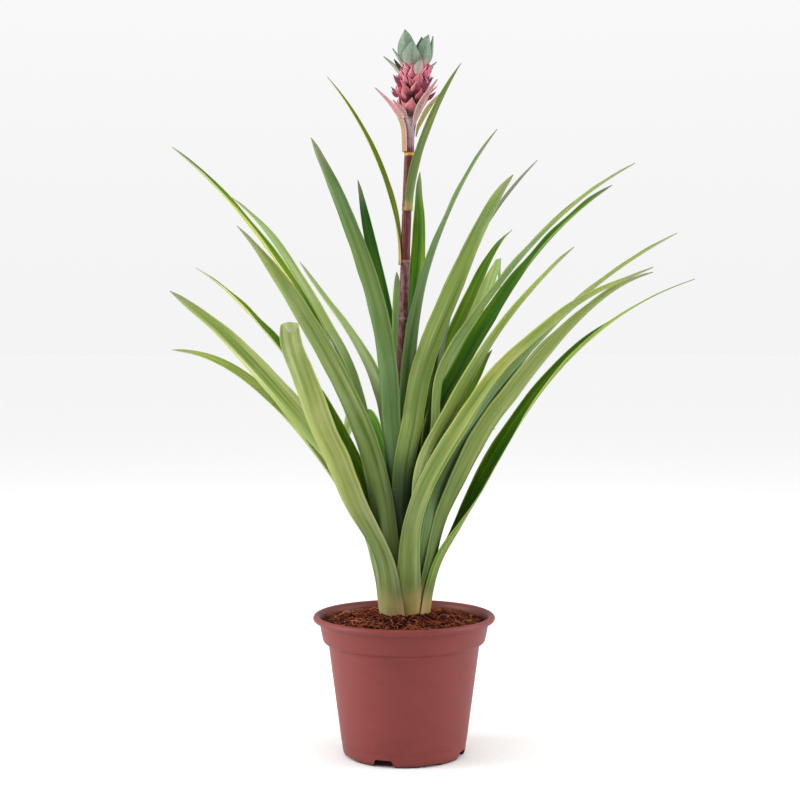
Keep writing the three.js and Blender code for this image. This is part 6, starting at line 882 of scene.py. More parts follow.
        [-53.01, 19.27, 226.16, -0.4332, -0.8979, -0.0779, 0.7327, -0.4011, 0.5498, 7.74, 2.78, 0.81],
        [-62, 22.44, 239.64, -0.4244, -0.9027, -0.0713, 0.7088, -0.3802, 0.5942, 7.73, 2.78, 0.79],
        [-71.59, 25.91, 252.63, -0.4034, -0.9135, -0.0531, 0.6933, -0.343, 0.6337, 7.61, 2.74, 0.76],
        [-81.7, 29.64, 265.14, -0.3707, -0.9285, -0.0225, 0.686, -0.2901, 0.6673, 7.29, 2.63, 0.73],
        [-92.24, 33.55, 277.23, -0.3341, -0.9424, 0.0136, 0.6817, -0.2317, 0.694, 6.79, 2.44, 0.7],
        [-103.17, 37.59, 288.93, -0.3006, -0.9526, 0.0475, 0.6763, -0.1777, 0.7149, 6.07, 2.18, 0.67],
        [-114.48, 41.71, 300.23, -0.269, -0.9596, 0.0831, 0.6623, -0.1217, 0.7393, 5.1, 1.84, 0.64],
        [-124.33, 45.28, 309.15, -0.247, -0.9617, 0.1188, 0.6312, -0.0666, 0.7727, 4.06, 1.46, 0.62],
        [-132.61, 48.27, 315.72, -0.2345, -0.9601, 0.1524, 0.5923, -0.0168, 0.8056, 2.95, 1.06, 0.6],
        [-139.02, 50.6, 320.26, -0.2262, -0.9576, 0.1785, 0.5667, 0.0197, 0.8237, 1.77, 0.64, 0.59],
        [-143.44, 52.2, 323.21, -0.2185, -0.9563, 0.1945, 0.5617, 0.0398, 0.8264, 0.28, 0, 0.58],
    ],
    "leaf_right_long": [
        [12.55, 2.67, 99.36, -0.2083, 0.9781, -0.0017, -0.9585, -0.2037, 0.1993, 8.24, 3.16, 1.05],
        [13.81, 2.95, 105.61, -0.208, 0.9781, -0.0007, -0.9565, -0.2033, 0.2092, 8.21, 3.15, 1.04],
        [15.48, 3.29, 113.26, -0.2073, 0.9783, 0.0025, -0.9533, -0.2026, 0.2241, 8.18, 3.13, 1.03],
        [17.22, 3.62, 120.93, -0.2063, 0.9785, 0.0073, -0.9545, -0.2028, 0.2188, 8.15, 3.1, 1.02],
        [19.04, 3.91, 130.08, -0.205, 0.9787, 0.0139, -0.964, -0.2044, 0.1701, 8.12, 3.05, 1],
        [20.45, 4.04, 139.17, -0.204, 0.9788, 0.0206, -0.9669, -0.2047, 0.1521, 8.09, 3, 0.99],
        [22.37, 4.18, 149.68, -0.2028, 0.9788, 0.0278, -0.9544, -0.204, 0.2181, 8.06, 2.94, 0.97],
        [25.18, 4.43, 160.08, -0.203, 0.9786, 0.0348, -0.9329, -0.2041, 0.2966, 8.03, 2.89, 0.96],
        [29.25, 4.81, 171.81, -0.2048, 0.9779, 0.0433, -0.914, -0.2069, 0.3491, 8.01, 2.88, 0.94],
        [33.85, 5.22, 183.38, -0.2076, 0.9768, 0.0521, -0.898, -0.2114, 0.3858, 8.01, 2.88, 0.92],
        [40.23, 5.75, 197.57, -0.2114, 0.9754, 0.0632, -0.8769, -0.2178, 0.4284, 8.01, 2.88, 0.89],
        [47.28, 6.31, 211.44, -0.2156, 0.9736, 0.0746, -0.8538, -0.2251, 0.4694, 8.01, 2.88, 0.87],
        [56.59, 7.05, 227.62, -0.2245, 0.9702, 0.0908, -0.8224, -0.2387, 0.5164, 8.01, 2.88, 0.84],
        [66.81, 7.86, 243.24, -0.2314, 0.967, 0.1068, -0.7884, -0.2507, 0.5617, 8.01, 2.88, 0.81],
        [77.88, 8.77, 258.26, -0.2289, 0.9665, 0.1161, -0.7541, -0.2514, 0.6067, 8, 2.88, 0.79],
        [89.8, 9.78, 272.61, -0.1844, 0.979, 0.087, -0.7285, -0.1956, 0.6566, 7.88, 2.84, 0.76],
        [102.53, 10.93, 286.23, -0.1159, 0.993, 0.0239, -0.702, -0.0989, 0.7053, 7.55, 2.72, 0.73],
        [116.05, 12.21, 299.06, -0.0639, 0.9972, -0.0382, -0.6649, -0.014, 0.7468, 7.02, 2.53, 0.7],
        [130.32, 13.66, 311.02, -0.0574, 0.9966, -0.0589, -0.619, 0.0108, 0.7853, 6.28, 2.26, 0.67],
        [145.29, 15.25, 322.09, -0.0666, 0.9961, -0.0576, -0.5713, 0.0093, 0.8207, 5.28, 1.9, 0.64],
        [158.23, 16.63, 330.64, -0.0779, 0.9959, -0.0454, -0.5321, -0.0031, 0.8466, 4.2, 1.51, 0.62],
        [168.84, 17.76, 337.07, -0.0903, 0.9956, -0.0247, -0.5024, -0.0241, 0.8643, 3.05, 1.1, 0.6],
        [176.87, 18.6, 341.65, -0.1023, 0.9947, -0.0017, -0.4849, -0.0484, 0.8732, 1.84, 0.66, 0.59],
        [182.34, 19.16, 344.7, -0.1124, 0.9935, 0.0173, -0.4787, -0.0694, 0.8752, 0.28, 0, 0.58],
    ],
    "leaf_right_front_short": [
        [9.63, -6.49, 100.93, 0.5593, 0.829, 0.0006, -0.8202, 0.5533, 0.1452, 7.82, 3, 1.05],
        [10.25, -6.92, 105.69, 0.5591, 0.8291, -0.0007, -0.8151, 0.5498, 0.1827, 7.79, 2.99, 1.04],
        [11.33, -7.64, 111.53, 0.5594, 0.8289, 0.0008, -0.8023, 0.5412, 0.2518, 7.76, 2.98, 1.03],
        [12.7, -8.61, 117.37, 0.5629, 0.8263, 0.0156, -0.7943, 0.5357, 0.2867, 7.74, 2.96, 1.02],
        [14.28, -9.96, 124.36, 0.5705, 0.8198, 0.0502, -0.7986, 0.5395, 0.2669, 7.71, 2.93, 1],
        [15.45, -11.38, 131.37, 0.5761, 0.813, 0.0844, -0.8059, 0.5477, 0.225, 7.68, 2.89, 0.99],
        [16.47, -13.04, 139.58, 0.5803, 0.8096, 0.0884, -0.8055, 0.5545, 0.209, 7.65, 2.84, 0.97],
        [17.63, -14.56, 147.8, 0.6001, 0.7993, 0.0301, -0.7836, 0.5799, 0.2229, 7.63, 2.79, 0.96],
        [19.33, -15.56, 157.06, 0.6322, 0.7696, -0.0899, -0.753, 0.6373, 0.1639, 7.61, 2.76, 0.94],
        [20.88, -15.21, 166.01, 0.6719, 0.7183, -0.1804, -0.7222, 0.6894, 0.0555, 7.61, 2.74, 0.92],
        [23.35, -14.53, 176.74, 0.7099, 0.6708, -0.2147, -0.6326, 0.7412, 0.2243, 7.61, 2.74, 0.89],
        [27.57, -15.94, 187.31, 0.7275, 0.6635, -0.1746, -0.5603, 0.7214, 0.407, 7.61, 2.74, 0.87],
        [33.43, -19.33, 199.81, 0.7072, 0.6918, -0.1457, -0.5589, 0.6733, 0.4841, 7.61, 2.74, 0.84],
        [39.95, -23.18, 211.88, 0.6674, 0.7311, -0.1413, -0.5697, 0.6235, 0.5354, 7.61, 2.74, 0.81],
        [47, -27.21, 223.6, 0.6515, 0.7454, -0.1412, -0.5658, 0.6013, 0.5641, 7.61, 2.74, 0.79],
        [54.32, -31.38, 235.1, 0.668, 0.7253, -0.1666, -0.5295, 0.6205, 0.5785, 7.49, 2.69, 0.76],
        [61.98, -35.76, 246.31, 0.6932, 0.6889, -0.2119, -0.4643, 0.6516, 0.5999, 7.18, 2.58, 0.73],
        [70.06, -40.43, 257.1, 0.7071, 0.6588, -0.257, -0.4004, 0.6725, 0.6224, 6.68, 2.4, 0.7],
        [78.62, -45.38, 267.36, 0.6974, 0.6606, -0.278, -0.3639, 0.6606, 0.6567, 5.97, 2.15, 0.67],
        [87.64, -50.59, 277.1, 0.662, 0.7077, -0.2469, -0.3773, 0.5993, 0.706, 5.02, 1.81, 0.64],
        [95.49, -55.13, 284.76, 0.6127, 0.7691, -0.182, -0.4097, 0.506, 0.759, 3.99, 1.44, 0.62],
        [102.02, -58.9, 290.54, 0.5622, 0.8204, -0.1045, -0.4429, 0.4054, 0.7997, 2.9, 1.04, 0.6],
        [107.02, -61.79, 294.65, 0.5194, 0.8539, -0.0331, -0.4741, 0.3202, 0.8202, 1.75, 0.63, 0.59],
        [110.44, -63.76, 297.37, 0.4882, 0.8725, 0.0193, -0.5016, 0.2624, 0.8244, 0.28, 0, 0.58],
    ],
    "leaf_back_right_low": [
        [4.21, 10.42, 102.5, -0.9273, 0.3744, -0.0013, -0.3696, -0.9147, 0.1633, 7.5, 2.88, 1.05],
        [4.56, 11.3, 107.97, -0.9272, 0.3746, -0.0004, -0.368, -0.9107, 0.1876, 7.5, 2.88, 1.04],
        [5.09, 12.61, 114.63, -0.927, 0.375, 0.002, -0.3651, -0.9037, 0.2238, 7.5, 2.88, 1.03],
        [5.72, 14.09, 121.19, -0.9267, 0.3757, 0.0046, -0.362, -0.8961, 0.2567, 7.5, 2.86, 1.02],
        [6.64, 16.24, 128.81, -0.9265, 0.3763, 0.0068, -0.351, -0.8704, 0.3453, 7.5, 2.83, 1],
        [7.92, 19.25, 136.11, -0.9264, 0.3764, 0.007, -0.33, -0.8209, 0.4662, 7.5, 2.8, 0.99],
        [9.82, 23.81, 144.27, -0.9268, 0.3756, 0.0056, -0.3099, -0.773, 0.5536, 7.5, 2.76, 0.97],
        [11.92, 28.89, 152.15, -0.9273, 0.3744, 0.0038, -0.3014, -0.7525, 0.5856, 7.5, 2.72, 0.96],
        [14.4, 34.95, 160.92, -0.9268, 0.3755, 0.0053, -0.2942, -0.735, 0.6109, 7.5, 2.7, 0.94],
        [17.07, 41.31, 169.53, -0.925, 0.3798, 0.0112, -0.285, -0.7129, 0.6407, 7.5, 2.7, 0.92],
        [20.68, 49.82, 179.99, -0.9274, 0.3741, 0.0046, -0.2689, -0.6749, 0.6872, 7.5, 2.7, 0.89],
        [24.18, 59.23, 189.49, -0.9399, 0.3401, -0.0285, -0.2386, -0.5948, 0.7676, 7.5, 2.7, 0.87],
        [28.27, 71.71, 199.48, -0.9399, 0.3403, -0.0289, -0.2208, -0.5409, 0.8116, 7.5, 2.7, 0.84],
        [32.76, 84.63, 208.6, -0.9387, 0.3439, -0.0262, -0.1987, -0.4771, 0.8561, 7.5, 2.7, 0.81],
        [37.49, 98.35, 216.26, -0.9414, 0.3358, -0.0305, -0.1649, -0.3795, 0.9104, 7.5, 2.7, 0.79],
        [42.4, 112.89, 222.03, -0.9448, 0.3258, -0.0344, -0.1248, -0.2609, 0.9573, 7.38, 2.66, 0.76],
        [47.4, 128.09, 225.59, -0.9484, 0.3148, -0.0367, -0.0801, -0.1257, 0.9888, 7.07, 2.55, 0.73],
        [52.42, 143.64, 226.73, -0.9519, 0.3041, -0.0374, -0.0339, 0.0167, 0.9993, 6.58, 2.37, 0.7],
        [57.36, 159.21, 225.41, -0.9548, 0.295, -0.0365, 0.0113, 0.1587, 0.9873, 5.88, 2.12, 0.67],
        [62.13, 174.41, 221.63, -0.9571, 0.2876, -0.0346, 0.0571, 0.3043, 0.9509, 4.95, 1.78, 0.64],
        [65.9, 186.49, 216.54, -0.9587, 0.2825, -0.0323, 0.097, 0.4317, 0.8968, 3.93, 1.42, 0.62],
        [68.72, 195.53, 211.12, -0.9598, 0.2791, -0.0302, 0.1285, 0.5325, 0.8366, 2.86, 1.03, 0.6],
        [70.7, 201.85, 206.41, -0.9603, 0.2774, -0.0289, 0.1461, 0.5887, 0.795, 1.72, 0.62, 0.59],
        [72, 206, 203, -0.9604, 0.277, -0.0286, 0.1507, 0.6034, 0.7831, 0.28, 0, 0.58],
    ],
    "leaf_left_front_mid": [
        [-6.09, -9.74, 104.07, 0.8481, -0.5299, 0, 0.5122, 0.8196, 0.2567, 7.2, 2.76, 1.05],
        [-6.83, -10.93, 109.43, 0.8481, -0.5298, -0.0004, 0.5138, 0.8223, 0.2448, 7.17, 2.75, 1.04],
        [-7.65, -12.24, 115.98, 0.8477, -0.5304, 0.0029, 0.5177, 0.8286, 0.2131, 7.15, 2.74, 1.03],
        [-8.42, -13.36, 122.58, 0.8461, -0.5327, 0.0166, 0.5202, 0.8322, 0.1919, 7.13, 2.72, 1.02],
        [-9.37, -14.43, 130.55, 0.8431, -0.536, 0.0432, 0.5248, 0.8377, 0.1513, 7.11, 2.69, 1],
        [-10.32, -15.05, 138.56, 0.8398, -0.5381, 0.0722, 0.5298, 0.8412, 0.1075, 7.09, 2.65, 0.99],
        [-11.44, -15.26, 147.92, 0.8412, -0.5308, 0.1032, 0.528, 0.8475, 0.0553, 7.07, 2.6, 0.97],
        [-12.54, -14.98, 157.26, 0.8748, -0.4671, 0.1281, 0.4682, 0.8833, 0.024, 7.05, 2.56, 0.96],
        [-14.14, -14.78, 167.87, 0.9265, -0.3389, 0.1635, 0.3318, 0.9408, 0.0696, 7.04, 2.53, 0.94],
        [-16.28, -15, 178.4, 0.9587, -0.1926, 0.2092, 0.1863, 0.9812, 0.0498, 7.04, 2.53, 0.92],
        [-19.4, -14.92, 191.42, 0.9639, -0.0621, 0.2589, 0.0577, 0.998, 0.0243, 7.04, 2.53, 0.89],
        [-23.35, -15.67, 204.19, 0.9444, -0.0732, 0.3206, 0.0361, 0.9921, 0.1199, 7.04, 2.53, 0.87],
        [-29.08, -17.86, 219.13, 0.9154, -0.2123, 0.3419, 0.1384, 0.9638, 0.228, 7.04, 2.53, 0.84],
        [-35.49, -20.8, 233.68, 0.8734, -0.3633, 0.3242, 0.2579, 0.9099, 0.3248, 7.04, 2.53, 0.81],
        [-42.39, -24.29, 247.89, 0.8509, -0.4189, 0.3169, 0.2906, 0.878, 0.3803, 7.03, 2.53, 0.79],
        [-49.61, -28.25, 261.82, 0.8481, -0.4184, 0.325, 0.2734, 0.8711, 0.408, 6.92, 2.49, 0.76],
        [-57.07, -32.59, 275.5, 0.8452, -0.4166, 0.3347, 0.2561, 0.8655, 0.4305, 6.63, 2.39, 0.73],
        [-64.8, -37.24, 288.93, 0.8392, -0.4172, 0.3487, 0.2396, 0.8594, 0.4516, 6.17, 2.22, 0.7],
        [-72.88, -42.13, 302.06, 0.8271, -0.4299, 0.362, 0.2328, 0.8483, 0.4756, 5.52, 1.99, 0.67],
        [-81.38, -47.22, 314.85, 0.7838, -0.5283, 0.3264, 0.3075, 0.7869, 0.535, 4.64, 1.67, 0.64],
        [-88.83, -51.55, 325.22, 0.7105, -0.6583, 0.2488, 0.4183, 0.6794, 0.6029, 3.69, 1.33, 0.62],
        [-95.05, -55.07, 333.3, 0.6231, -0.7662, 0.1568, 0.5159, 0.5533, 0.6539, 2.68, 0.97, 0.6],
        [-99.83, -57.69, 339.2, 0.5438, -0.8361, 0.0727, 0.5862, 0.4404, 0.68, 1.61, 0.58, 0.59],
        [-103.12, -59.48, 343.16, 0.4866, -0.8736, 0.011, 0.6312, 0.3602, 0.6869, 0.28, 0, 0.58],
    ],
    "leaf_left_long": [
        [-10.47, 0.37, 105.66, -0.0349, -0.9994, -0.0001, 0.9722, -0.0339, 0.2319, 7.18, 2.75, 1.05],
        [-12.12, 0.42, 112.34, -0.0348, -0.9994, -0.0005, 0.9668, -0.0338, 0.2534, 7.32, 2.81, 1.04],
        [-14.32, 0.49, 120.54, -0.0345, -0.9994, -0.0017, 0.9683, -0.0338, 0.2477, 7.44, 2.85, 1.03],
        [-16.16, 0.53, 128.79, -0.0341, -0.9994, -0.0035, 0.9816, -0.0341, 0.1878, 7.56, 2.87, 1.02],
        [-17.78, 0.54, 138.68, -0.0337, -0.9994, -0.0056, 0.9886, -0.0342, 0.1467, 7.68, 2.88, 1],
        [-19.22, 0.53, 148.54, -0.0335, -0.9994, -0.0071, 0.9886, -0.0342, 0.1468, 7.8, 2.88, 0.99],
        [-21, 0.5, 160.02, -0.0341, -0.9994, -0.0079, 0.9867, -0.0349, 0.159, 7.93, 2.88, 0.97],
        [-22.92, 0.46, 171.47, -0.0394, -0.9992, -0.0116, 0.9843, -0.0408, 0.1718, 8.06, 2.9, 0.96],
        [-25.33, 0.36, 184.51, -0.0503, -0.9985, -0.0211, 0.9794, -0.0535, 0.195, 8.13, 2.93, 0.94],
        [-28.19, 0.2, 197.51, -0.0656, -0.9974, -0.0283, 0.97, -0.0704, 0.2325, 8.13, 2.93, 0.92],
        [-32.45, 0.01, 213.65, -0.0868, -0.9956, -0.0362, 0.9578, -0.0934, 0.2717, 8.13, 2.93, 0.89],
        [-37.3, -0.18, 229.62, -0.1094, -0.9929, -0.0478, 0.9451, -0.1187, 0.3044, 8.13, 2.93, 0.87],
        [-43.94, -0.44, 248.53, -0.1479, -0.9864, -0.0712, 0.9222, -0.1635, 0.3504, 8.13, 2.93, 0.84],
        [-51.6, -0.72, 267.02, -0.1829, -0.9788, -0.0919, 0.8994, -0.2043, 0.3865, 8.13, 2.93, 0.81],
        [-59.81, -0.9, 285.33, -0.1912, -0.9758, -0.106, 0.8756, -0.2184, 0.4309, 8.13, 2.93, 0.79],
        [-69.58, -1.17, 302.81, -0.1711, -0.978, -0.119, 0.8377, -0.208, 0.5049, 7.99, 2.88, 0.76],
        [-80.43, -1.4, 319.66, -0.15, -0.982, -0.1151, 0.8121, -0.1888, 0.5521, 7.66, 2.76, 0.73],
        [-92.12, -1.61, 335.94, -0.1315, -0.985, -0.1116, 0.7887, -0.1722, 0.5901, 7.13, 2.57, 0.7],
        [-104.46, -1.82, 351.73, -0.1238, -0.9856, -0.1148, 0.7651, -0.1685, 0.6215, 6.37, 2.29, 0.67],
        [-117.5, -2.05, 366.94, -0.1198, -0.985, -0.1239, 0.7318, -0.172, 0.6595, 5.36, 1.93, 0.64],
        [-129.02, -2.25, 379.02, -0.1169, -0.9839, -0.1354, 0.6941, -0.1784, 0.6974, 4.26, 1.53, 0.62],
        [-138.74, -2.42, 388.18, -0.1151, -0.9824, -0.1473, 0.6584, -0.1865, 0.7292, 3.1, 1.12, 0.6],
        [-146.25, -2.55, 394.71, -0.1155, -0.9809, -0.1567, 0.6357, -0.1942, 0.7471, 1.86, 0.67, 0.59],
        [-151.42, -2.64, 399.04, -0.1179, -0.9797, -0.1623, 0.629, -0.2001, 0.7512, 0.28, 0, 0.58],
    ],
    "leaf_back_right_short": [
        [6.61, 7.87, 107.25, -0.766, 0.6428, 0, -0.6313, -0.7523, 0.1884, 6.89, 2.64, 1.05],
        [7.07, 8.43, 110.93, -0.766, 0.6428, 0, -0.6294, -0.75, 0.2033, 7.01, 2.69, 1.04],
        [7.71, 9.18, 115.45, -0.766, 0.6428, 0, -0.6271, -0.7473, 0.2199, 7.13, 2.74, 1.03],
        [8.37, 9.98, 119.99, -0.766, 0.6428, 0, -0.6267, -0.7469, 0.2223, 7.23, 2.77, 1.02],
        [9.17, 10.93, 125.42, -0.766, 0.6428, 0, -0.6266, -0.7467, 0.2233, 7.35, 2.81, 1],
        [9.96, 11.87, 130.84, -0.766, 0.6428, 0, -0.6272, -0.7474, 0.2192, 7.45, 2.83, 0.99],
        [10.87, 12.96, 137.13, -0.7653, 0.6437, -0.0003, -0.6269, -0.7452, 0.2272, 7.57, 2.85, 0.97],
        [11.89, 14.17, 143.39, -0.7592, 0.6509, -0.003, -0.6275, -0.7307, 0.2688, 7.69, 2.86, 0.96],
        [13.29, 15.83, 150.49, -0.746, 0.6659, -0.0099, -0.6362, -0.7081, 0.3063, 7.75, 2.85, 0.94],
        [14.74, 17.57, 157.54, -0.728, 0.6853, -0.0185, -0.6572, -0.6899, 0.3033, 7.75, 2.82, 0.92],
        [16.62, 19.82, 166.24, -0.7036, 0.7097, -0.0357, -0.6753, -0.6521, 0.3446, 7.75, 2.8, 0.89],
        [18.84, 22.51, 174.75, -0.677, 0.7335, -0.0604, -0.689, -0.6027, 0.4026, 7.75, 2.79, 0.87],
        [21.84, 26.11, 184.78, -0.6232, 0.7768, -0.0908, -0.7308, -0.537, 0.4215, 7.75, 2.79, 0.84],
        [25.04, 29.86, 194.73, -0.5745, 0.8082, -0.1295, -0.7603, -0.4683, 0.4502, 7.75, 2.79, 0.81],
        [28.65, 34.15, 204.3, -0.5654, 0.8083, -0.1643, -0.7478, -0.4183, 0.5155, 7.75, 2.79, 0.79],
        [32.73, 39.01, 213.4, -0.5849, 0.7922, -0.1742, -0.7127, -0.3995, 0.5766, 7.62, 2.74, 0.76],
        [37.24, 44.38, 222, -0.6138, 0.7705, -0.1717, -0.6659, -0.3885, 0.6369, 7.31, 2.63, 0.73],
        [42.09, 50.16, 230.15, -0.6399, 0.752, -0.158, -0.6266, -0.3916, 0.6738, 6.8, 2.45, 0.7],
        [47, 56.02, 238.21, -0.6537, 0.7442, -0.137, -0.6201, -0.4231, 0.6606, 6.08, 2.19, 0.67],
        [51.62, 61.52, 246.66, -0.6617, 0.7414, -0.1121, -0.636, -0.4758, 0.6076, 5.11, 1.84, 0.64],
        [55.22, 65.81, 254.03, -0.6717, 0.7342, -0.0992, -0.6306, -0.4963, 0.5967, 4.06, 1.46, 0.62],
        [58.18, 69.34, 259.81, -0.6835, 0.7234, -0.0977, -0.5995, -0.4799, 0.6406, 2.95, 1.06, 0.6],
        [60.55, 72.16, 263.9, -0.6926, 0.7147, -0.0971, -0.5696, -0.4594, 0.6816, 1.78, 0.64, 0.59],
        [62.22, 74.15, 266.58, -0.6972, 0.7106, -0.0944, -0.5577, -0.455, 0.6942, 0.28, 0, 0.58],
    ],
    "leaf_front_right_mid": [
        [6.74, -8.03, 108.85, 0.7657, 0.6432, -0.0015, -0.6032, 0.7188, 0.3456, 6.62, 2.54, 1.05],
        [7.93, -9.46, 113.99, 0.7676, 0.6408, 0.0073, -0.6072, 0.7236, 0.3281, 6.71, 2.58, 1.04],
        [9.14, -11.1, 120.31, 0.7723, 0.6344, 0.0334, -0.6167, 0.7362, 0.2787, 6.79, 2.6, 1.03],
        [9.98, -12.64, 126.71, 0.7763, 0.627, 0.0647, -0.6212, 0.7437, 0.2471, 6.86, 2.62, 1.02],
        [10.65, -14.47, 134.43, 0.7788, 0.6204, 0.0931, -0.6239, 0.7503, 0.2186, 6.94, 2.63, 1],
        [11.08, -16.27, 142.17, 0.7794, 0.6178, 0.1041, -0.6248, 0.754, 0.2027, 7.01, 2.63, 0.99],
        [11.47, -18.25, 151.24, 0.7773, 0.6221, 0.0939, -0.6281, 0.7589, 0.1718, 7.1, 2.62, 0.97],
        [11.69, -19.66, 160.34, 0.7629, 0.6439, 0.0574, -0.6465, 0.7583, 0.0843, 7.18, 2.61, 0.96],
        [11.76, -20.05, 170.77, 0.7338, 0.6789, -0.0256, -0.6792, 0.7339, -0.0041, 7.22, 2.6, 0.94],
        [12.27, -19.4, 181.09, 0.6917, 0.7093, -0.1357, -0.7154, 0.6987, 0.006, 7.22, 2.6, 0.92],
        [14.68, -18.32, 193.55, 0.6325, 0.742, -0.2221, -0.72, 0.6691, 0.1842, 7.22, 2.6, 0.89],
        [19.43, -18.71, 205.42, 0.6109, 0.7634, -0.2099, -0.6603, 0.6375, 0.397, 7.22, 2.6, 0.87],
        [26.75, -21.42, 218.95, 0.6257, 0.7672, -0.141, -0.6176, 0.5976, 0.5113, 7.22, 2.6, 0.84],
        [33.94, -25.83, 232.17, 0.6538, 0.7551, -0.0491, -0.6183, 0.5705, 0.5406, 7.22, 2.6, 0.81],
        [40.61, -31.31, 245.29, 0.6489, 0.7608, 0.0045, -0.6322, 0.5359, 0.5595, 7.22, 2.6, 0.79],
        [47.47, -37.17, 258.16, 0.5958, 0.8022, 0.0393, -0.6624, 0.4631, 0.5888, 7.1, 2.56, 0.76],
        [54.9, -43.16, 270.64, 0.526, 0.8459, 0.0883, -0.695, 0.3677, 0.6178, 6.81, 2.45, 0.73],
        [62.86, -49.33, 282.7, 0.473, 0.8708, 0.1345, -0.709, 0.2855, 0.6449, 6.33, 2.28, 0.7],
        [71.32, -55.76, 294.27, 0.4645, 0.8725, 0.1514, -0.692, 0.251, 0.6768, 5.66, 2.04, 0.67],
        [80.21, -62.53, 305.32, 0.4778, 0.8646, 0.1553, -0.6614, 0.2377, 0.7114, 4.76, 1.71, 0.64],
        [87.9, -68.47, 314.09, 0.4996, 0.8529, 0.1515, -0.6284, 0.2365, 0.7411, 3.78, 1.36, 0.62],
        [94.21, -73.44, 320.81, 0.525, 0.8396, 0.1394, -0.5955, 0.2454, 0.765, 2.75, 0.99, 0.6],
        [98.98, -77.28, 325.65, 0.5471, 0.8282, 0.1216, -0.569, 0.2613, 0.7797, 1.66, 0.6, 0.59],
        [102.23, -79.91, 328.89, 0.562, 0.8206, 0.1039, -0.5527, 0.279, 0.7853, 0.28, 0, 0.58],
    ],
    "leaf_right_front_long": [
        [8.33, -4.24, 110.45, 0.454, 0.891, -0.0001, -0.8514, 0.4338, 0.2947, 6.24, 2.4, 1.05],
        [10.1, -5.14, 116.95, 0.4539, 0.891, -0.0002, -0.8547, 0.4355, 0.2827, 6.47, 2.48, 1.04],
        [12.02, -6.12, 124.95, 0.4539, 0.8911, -0.0006, -0.8675, 0.442, 0.2281, 6.68, 2.56, 1.03],
        [13.51, -6.87, 133.07, 0.4536, 0.8912, -0.0018, -0.8752, 0.4459, 0.1876, 6.86, 2.61, 1.02],
        [15.18, -7.68, 142.87, 0.4528, 0.8916, -0.0067, -0.8742, 0.4454, 0.1934, 7.07, 2.65, 1],
        [17.02, -8.46, 152.7, 0.4497, 0.8929, -0.0235, -0.8747, 0.4455, 0.1909, 7.26, 2.68, 0.99],
        [18.69, -8.76, 164.19, 0.4428, 0.8944, -0.0625, -0.8932, 0.446, 0.0572, 7.48, 2.72, 0.97],
        [18.81, -7.85, 175.61, 0.4244, 0.902, -0.0794, -0.9049, 0.4195, -0.0718, 7.69, 2.77, 0.96],
        [18.71, -6.94, 188.41, 0.3899, 0.9201, -0.0366, -0.9197, 0.391, 0.0362, 7.8, 2.81, 0.94],
        [20.03, -7.19, 200.93, 0.3528, 0.9356, -0.0138, -0.9236, 0.3506, 0.1553, 7.8, 2.81, 0.92],
        [22.49, -7.97, 216.42, 0.3226, 0.9463, 0.0203, -0.9407, 0.3184, 0.1174, 7.8, 2.81, 0.89],
        [22.65, -9.15, 232.99, 0.3227, 0.942, 0.0921, -0.9464, 0.3226, 0.0162, 7.8, 2.81, 0.87],
        [25.66, -11.84, 252.3, 0.3353, 0.9403, 0.0591, -0.8776, 0.2889, 0.3827, 7.8, 2.81, 0.84],
        [34.4, -16.02, 269.28, 0.3577, 0.9326, 0.0485, -0.7835, 0.2714, 0.5591, 7.8, 2.81, 0.81],
        [44.88, -20.92, 285.21, 0.366, 0.9294, 0.0469, -0.7533, 0.2663, 0.6014, 7.8, 2.81, 0.79],
        [55.77, -26.01, 300.81, 0.3279, 0.9414, 0.0793, -0.7608, 0.2134, 0.6129, 7.67, 2.76, 0.76],
        [67.06, -31.27, 316.07, 0.2636, 0.9543, 0.1406, -0.7639, 0.1175, 0.6346, 7.36, 2.65, 0.73],
        [79.05, -36.86, 330.65, 0.215, 0.9554, 0.2022, -0.7459, 0.027, 0.6655, 6.84, 2.46, 0.7],
        [91.9, -42.85, 344.31, 0.215, 0.9492, 0.2299, -0.7062, -0.0115, 0.7079, 6.12, 2.2, 0.67],
        [105.62, -49.25, 356.87, 0.2364, 0.9415, 0.2402, -0.6524, -0.0294, 0.7573, 5.15, 1.85, 0.64],
        [117.74, -54.9, 366.37, 0.2625, 0.9347, 0.2396, -0.5972, -0.0376, 0.8012, 4.09, 1.47, 0.62],
        [127.87, -59.63, 373.22, 0.2888, 0.9297, 0.2286, -0.5466, -0.0359, 0.8367, 2.97, 1.07, 0.6],
        [135.64, -63.25, 377.92, 0.3091, 0.9273, 0.2112, -0.5125, -0.0247, 0.8584, 1.79, 0.64, 0.59],
        [140.97, -65.73, 380.98, 0.3214, 0.9268, 0.1941, -0.4986, -0.0086, 0.8668, 0.28, 0, 0.58],
    ],
    "leaf_left_back_mid": [
        [-9.18, 1.95, 112.06, -0.208, -0.9781, 0.0003, 0.8981, -0.1909, 0.3963, 5.9, 2.26, 1.05],
        [-11.45, 2.44, 117.65, -0.2082, -0.9781, 0.0008, 0.9181, -0.1952, 0.3449, 6.23, 2.39, 1.04],
        [-13.43, 2.87, 124.55, -0.2086, -0.978, 0.0025, 0.9561, -0.2034, 0.2111, 6.53, 2.5, 1.03],
        [-14.59, 3.14, 131.55, -0.209, -0.9779, 0.0047, 0.967, -0.2059, 0.1498, 6.8, 2.59, 1.02],
        [-15.75, 3.44, 140, -0.2093, -0.9778, 0.0074, 0.9694, -0.2065, 0.1325, 7.1, 2.68, 1],
        [-16.8, 3.74, 148.5, -0.2096, -0.9777, 0.0098, 0.9701, -0.2067, 0.1269, 7.38, 2.75, 0.99],
        [-18.06, 4.13, 158.45, -0.2104, -0.9775, 0.0119, 0.9689, -0.2069, 0.1359, 7.69, 2.82, 0.97],
        [-19.42, 4.55, 168.43, -0.215, -0.9765, 0.0134, 0.9669, -0.2109, 0.1434, 7.98, 2.89, 0.96],
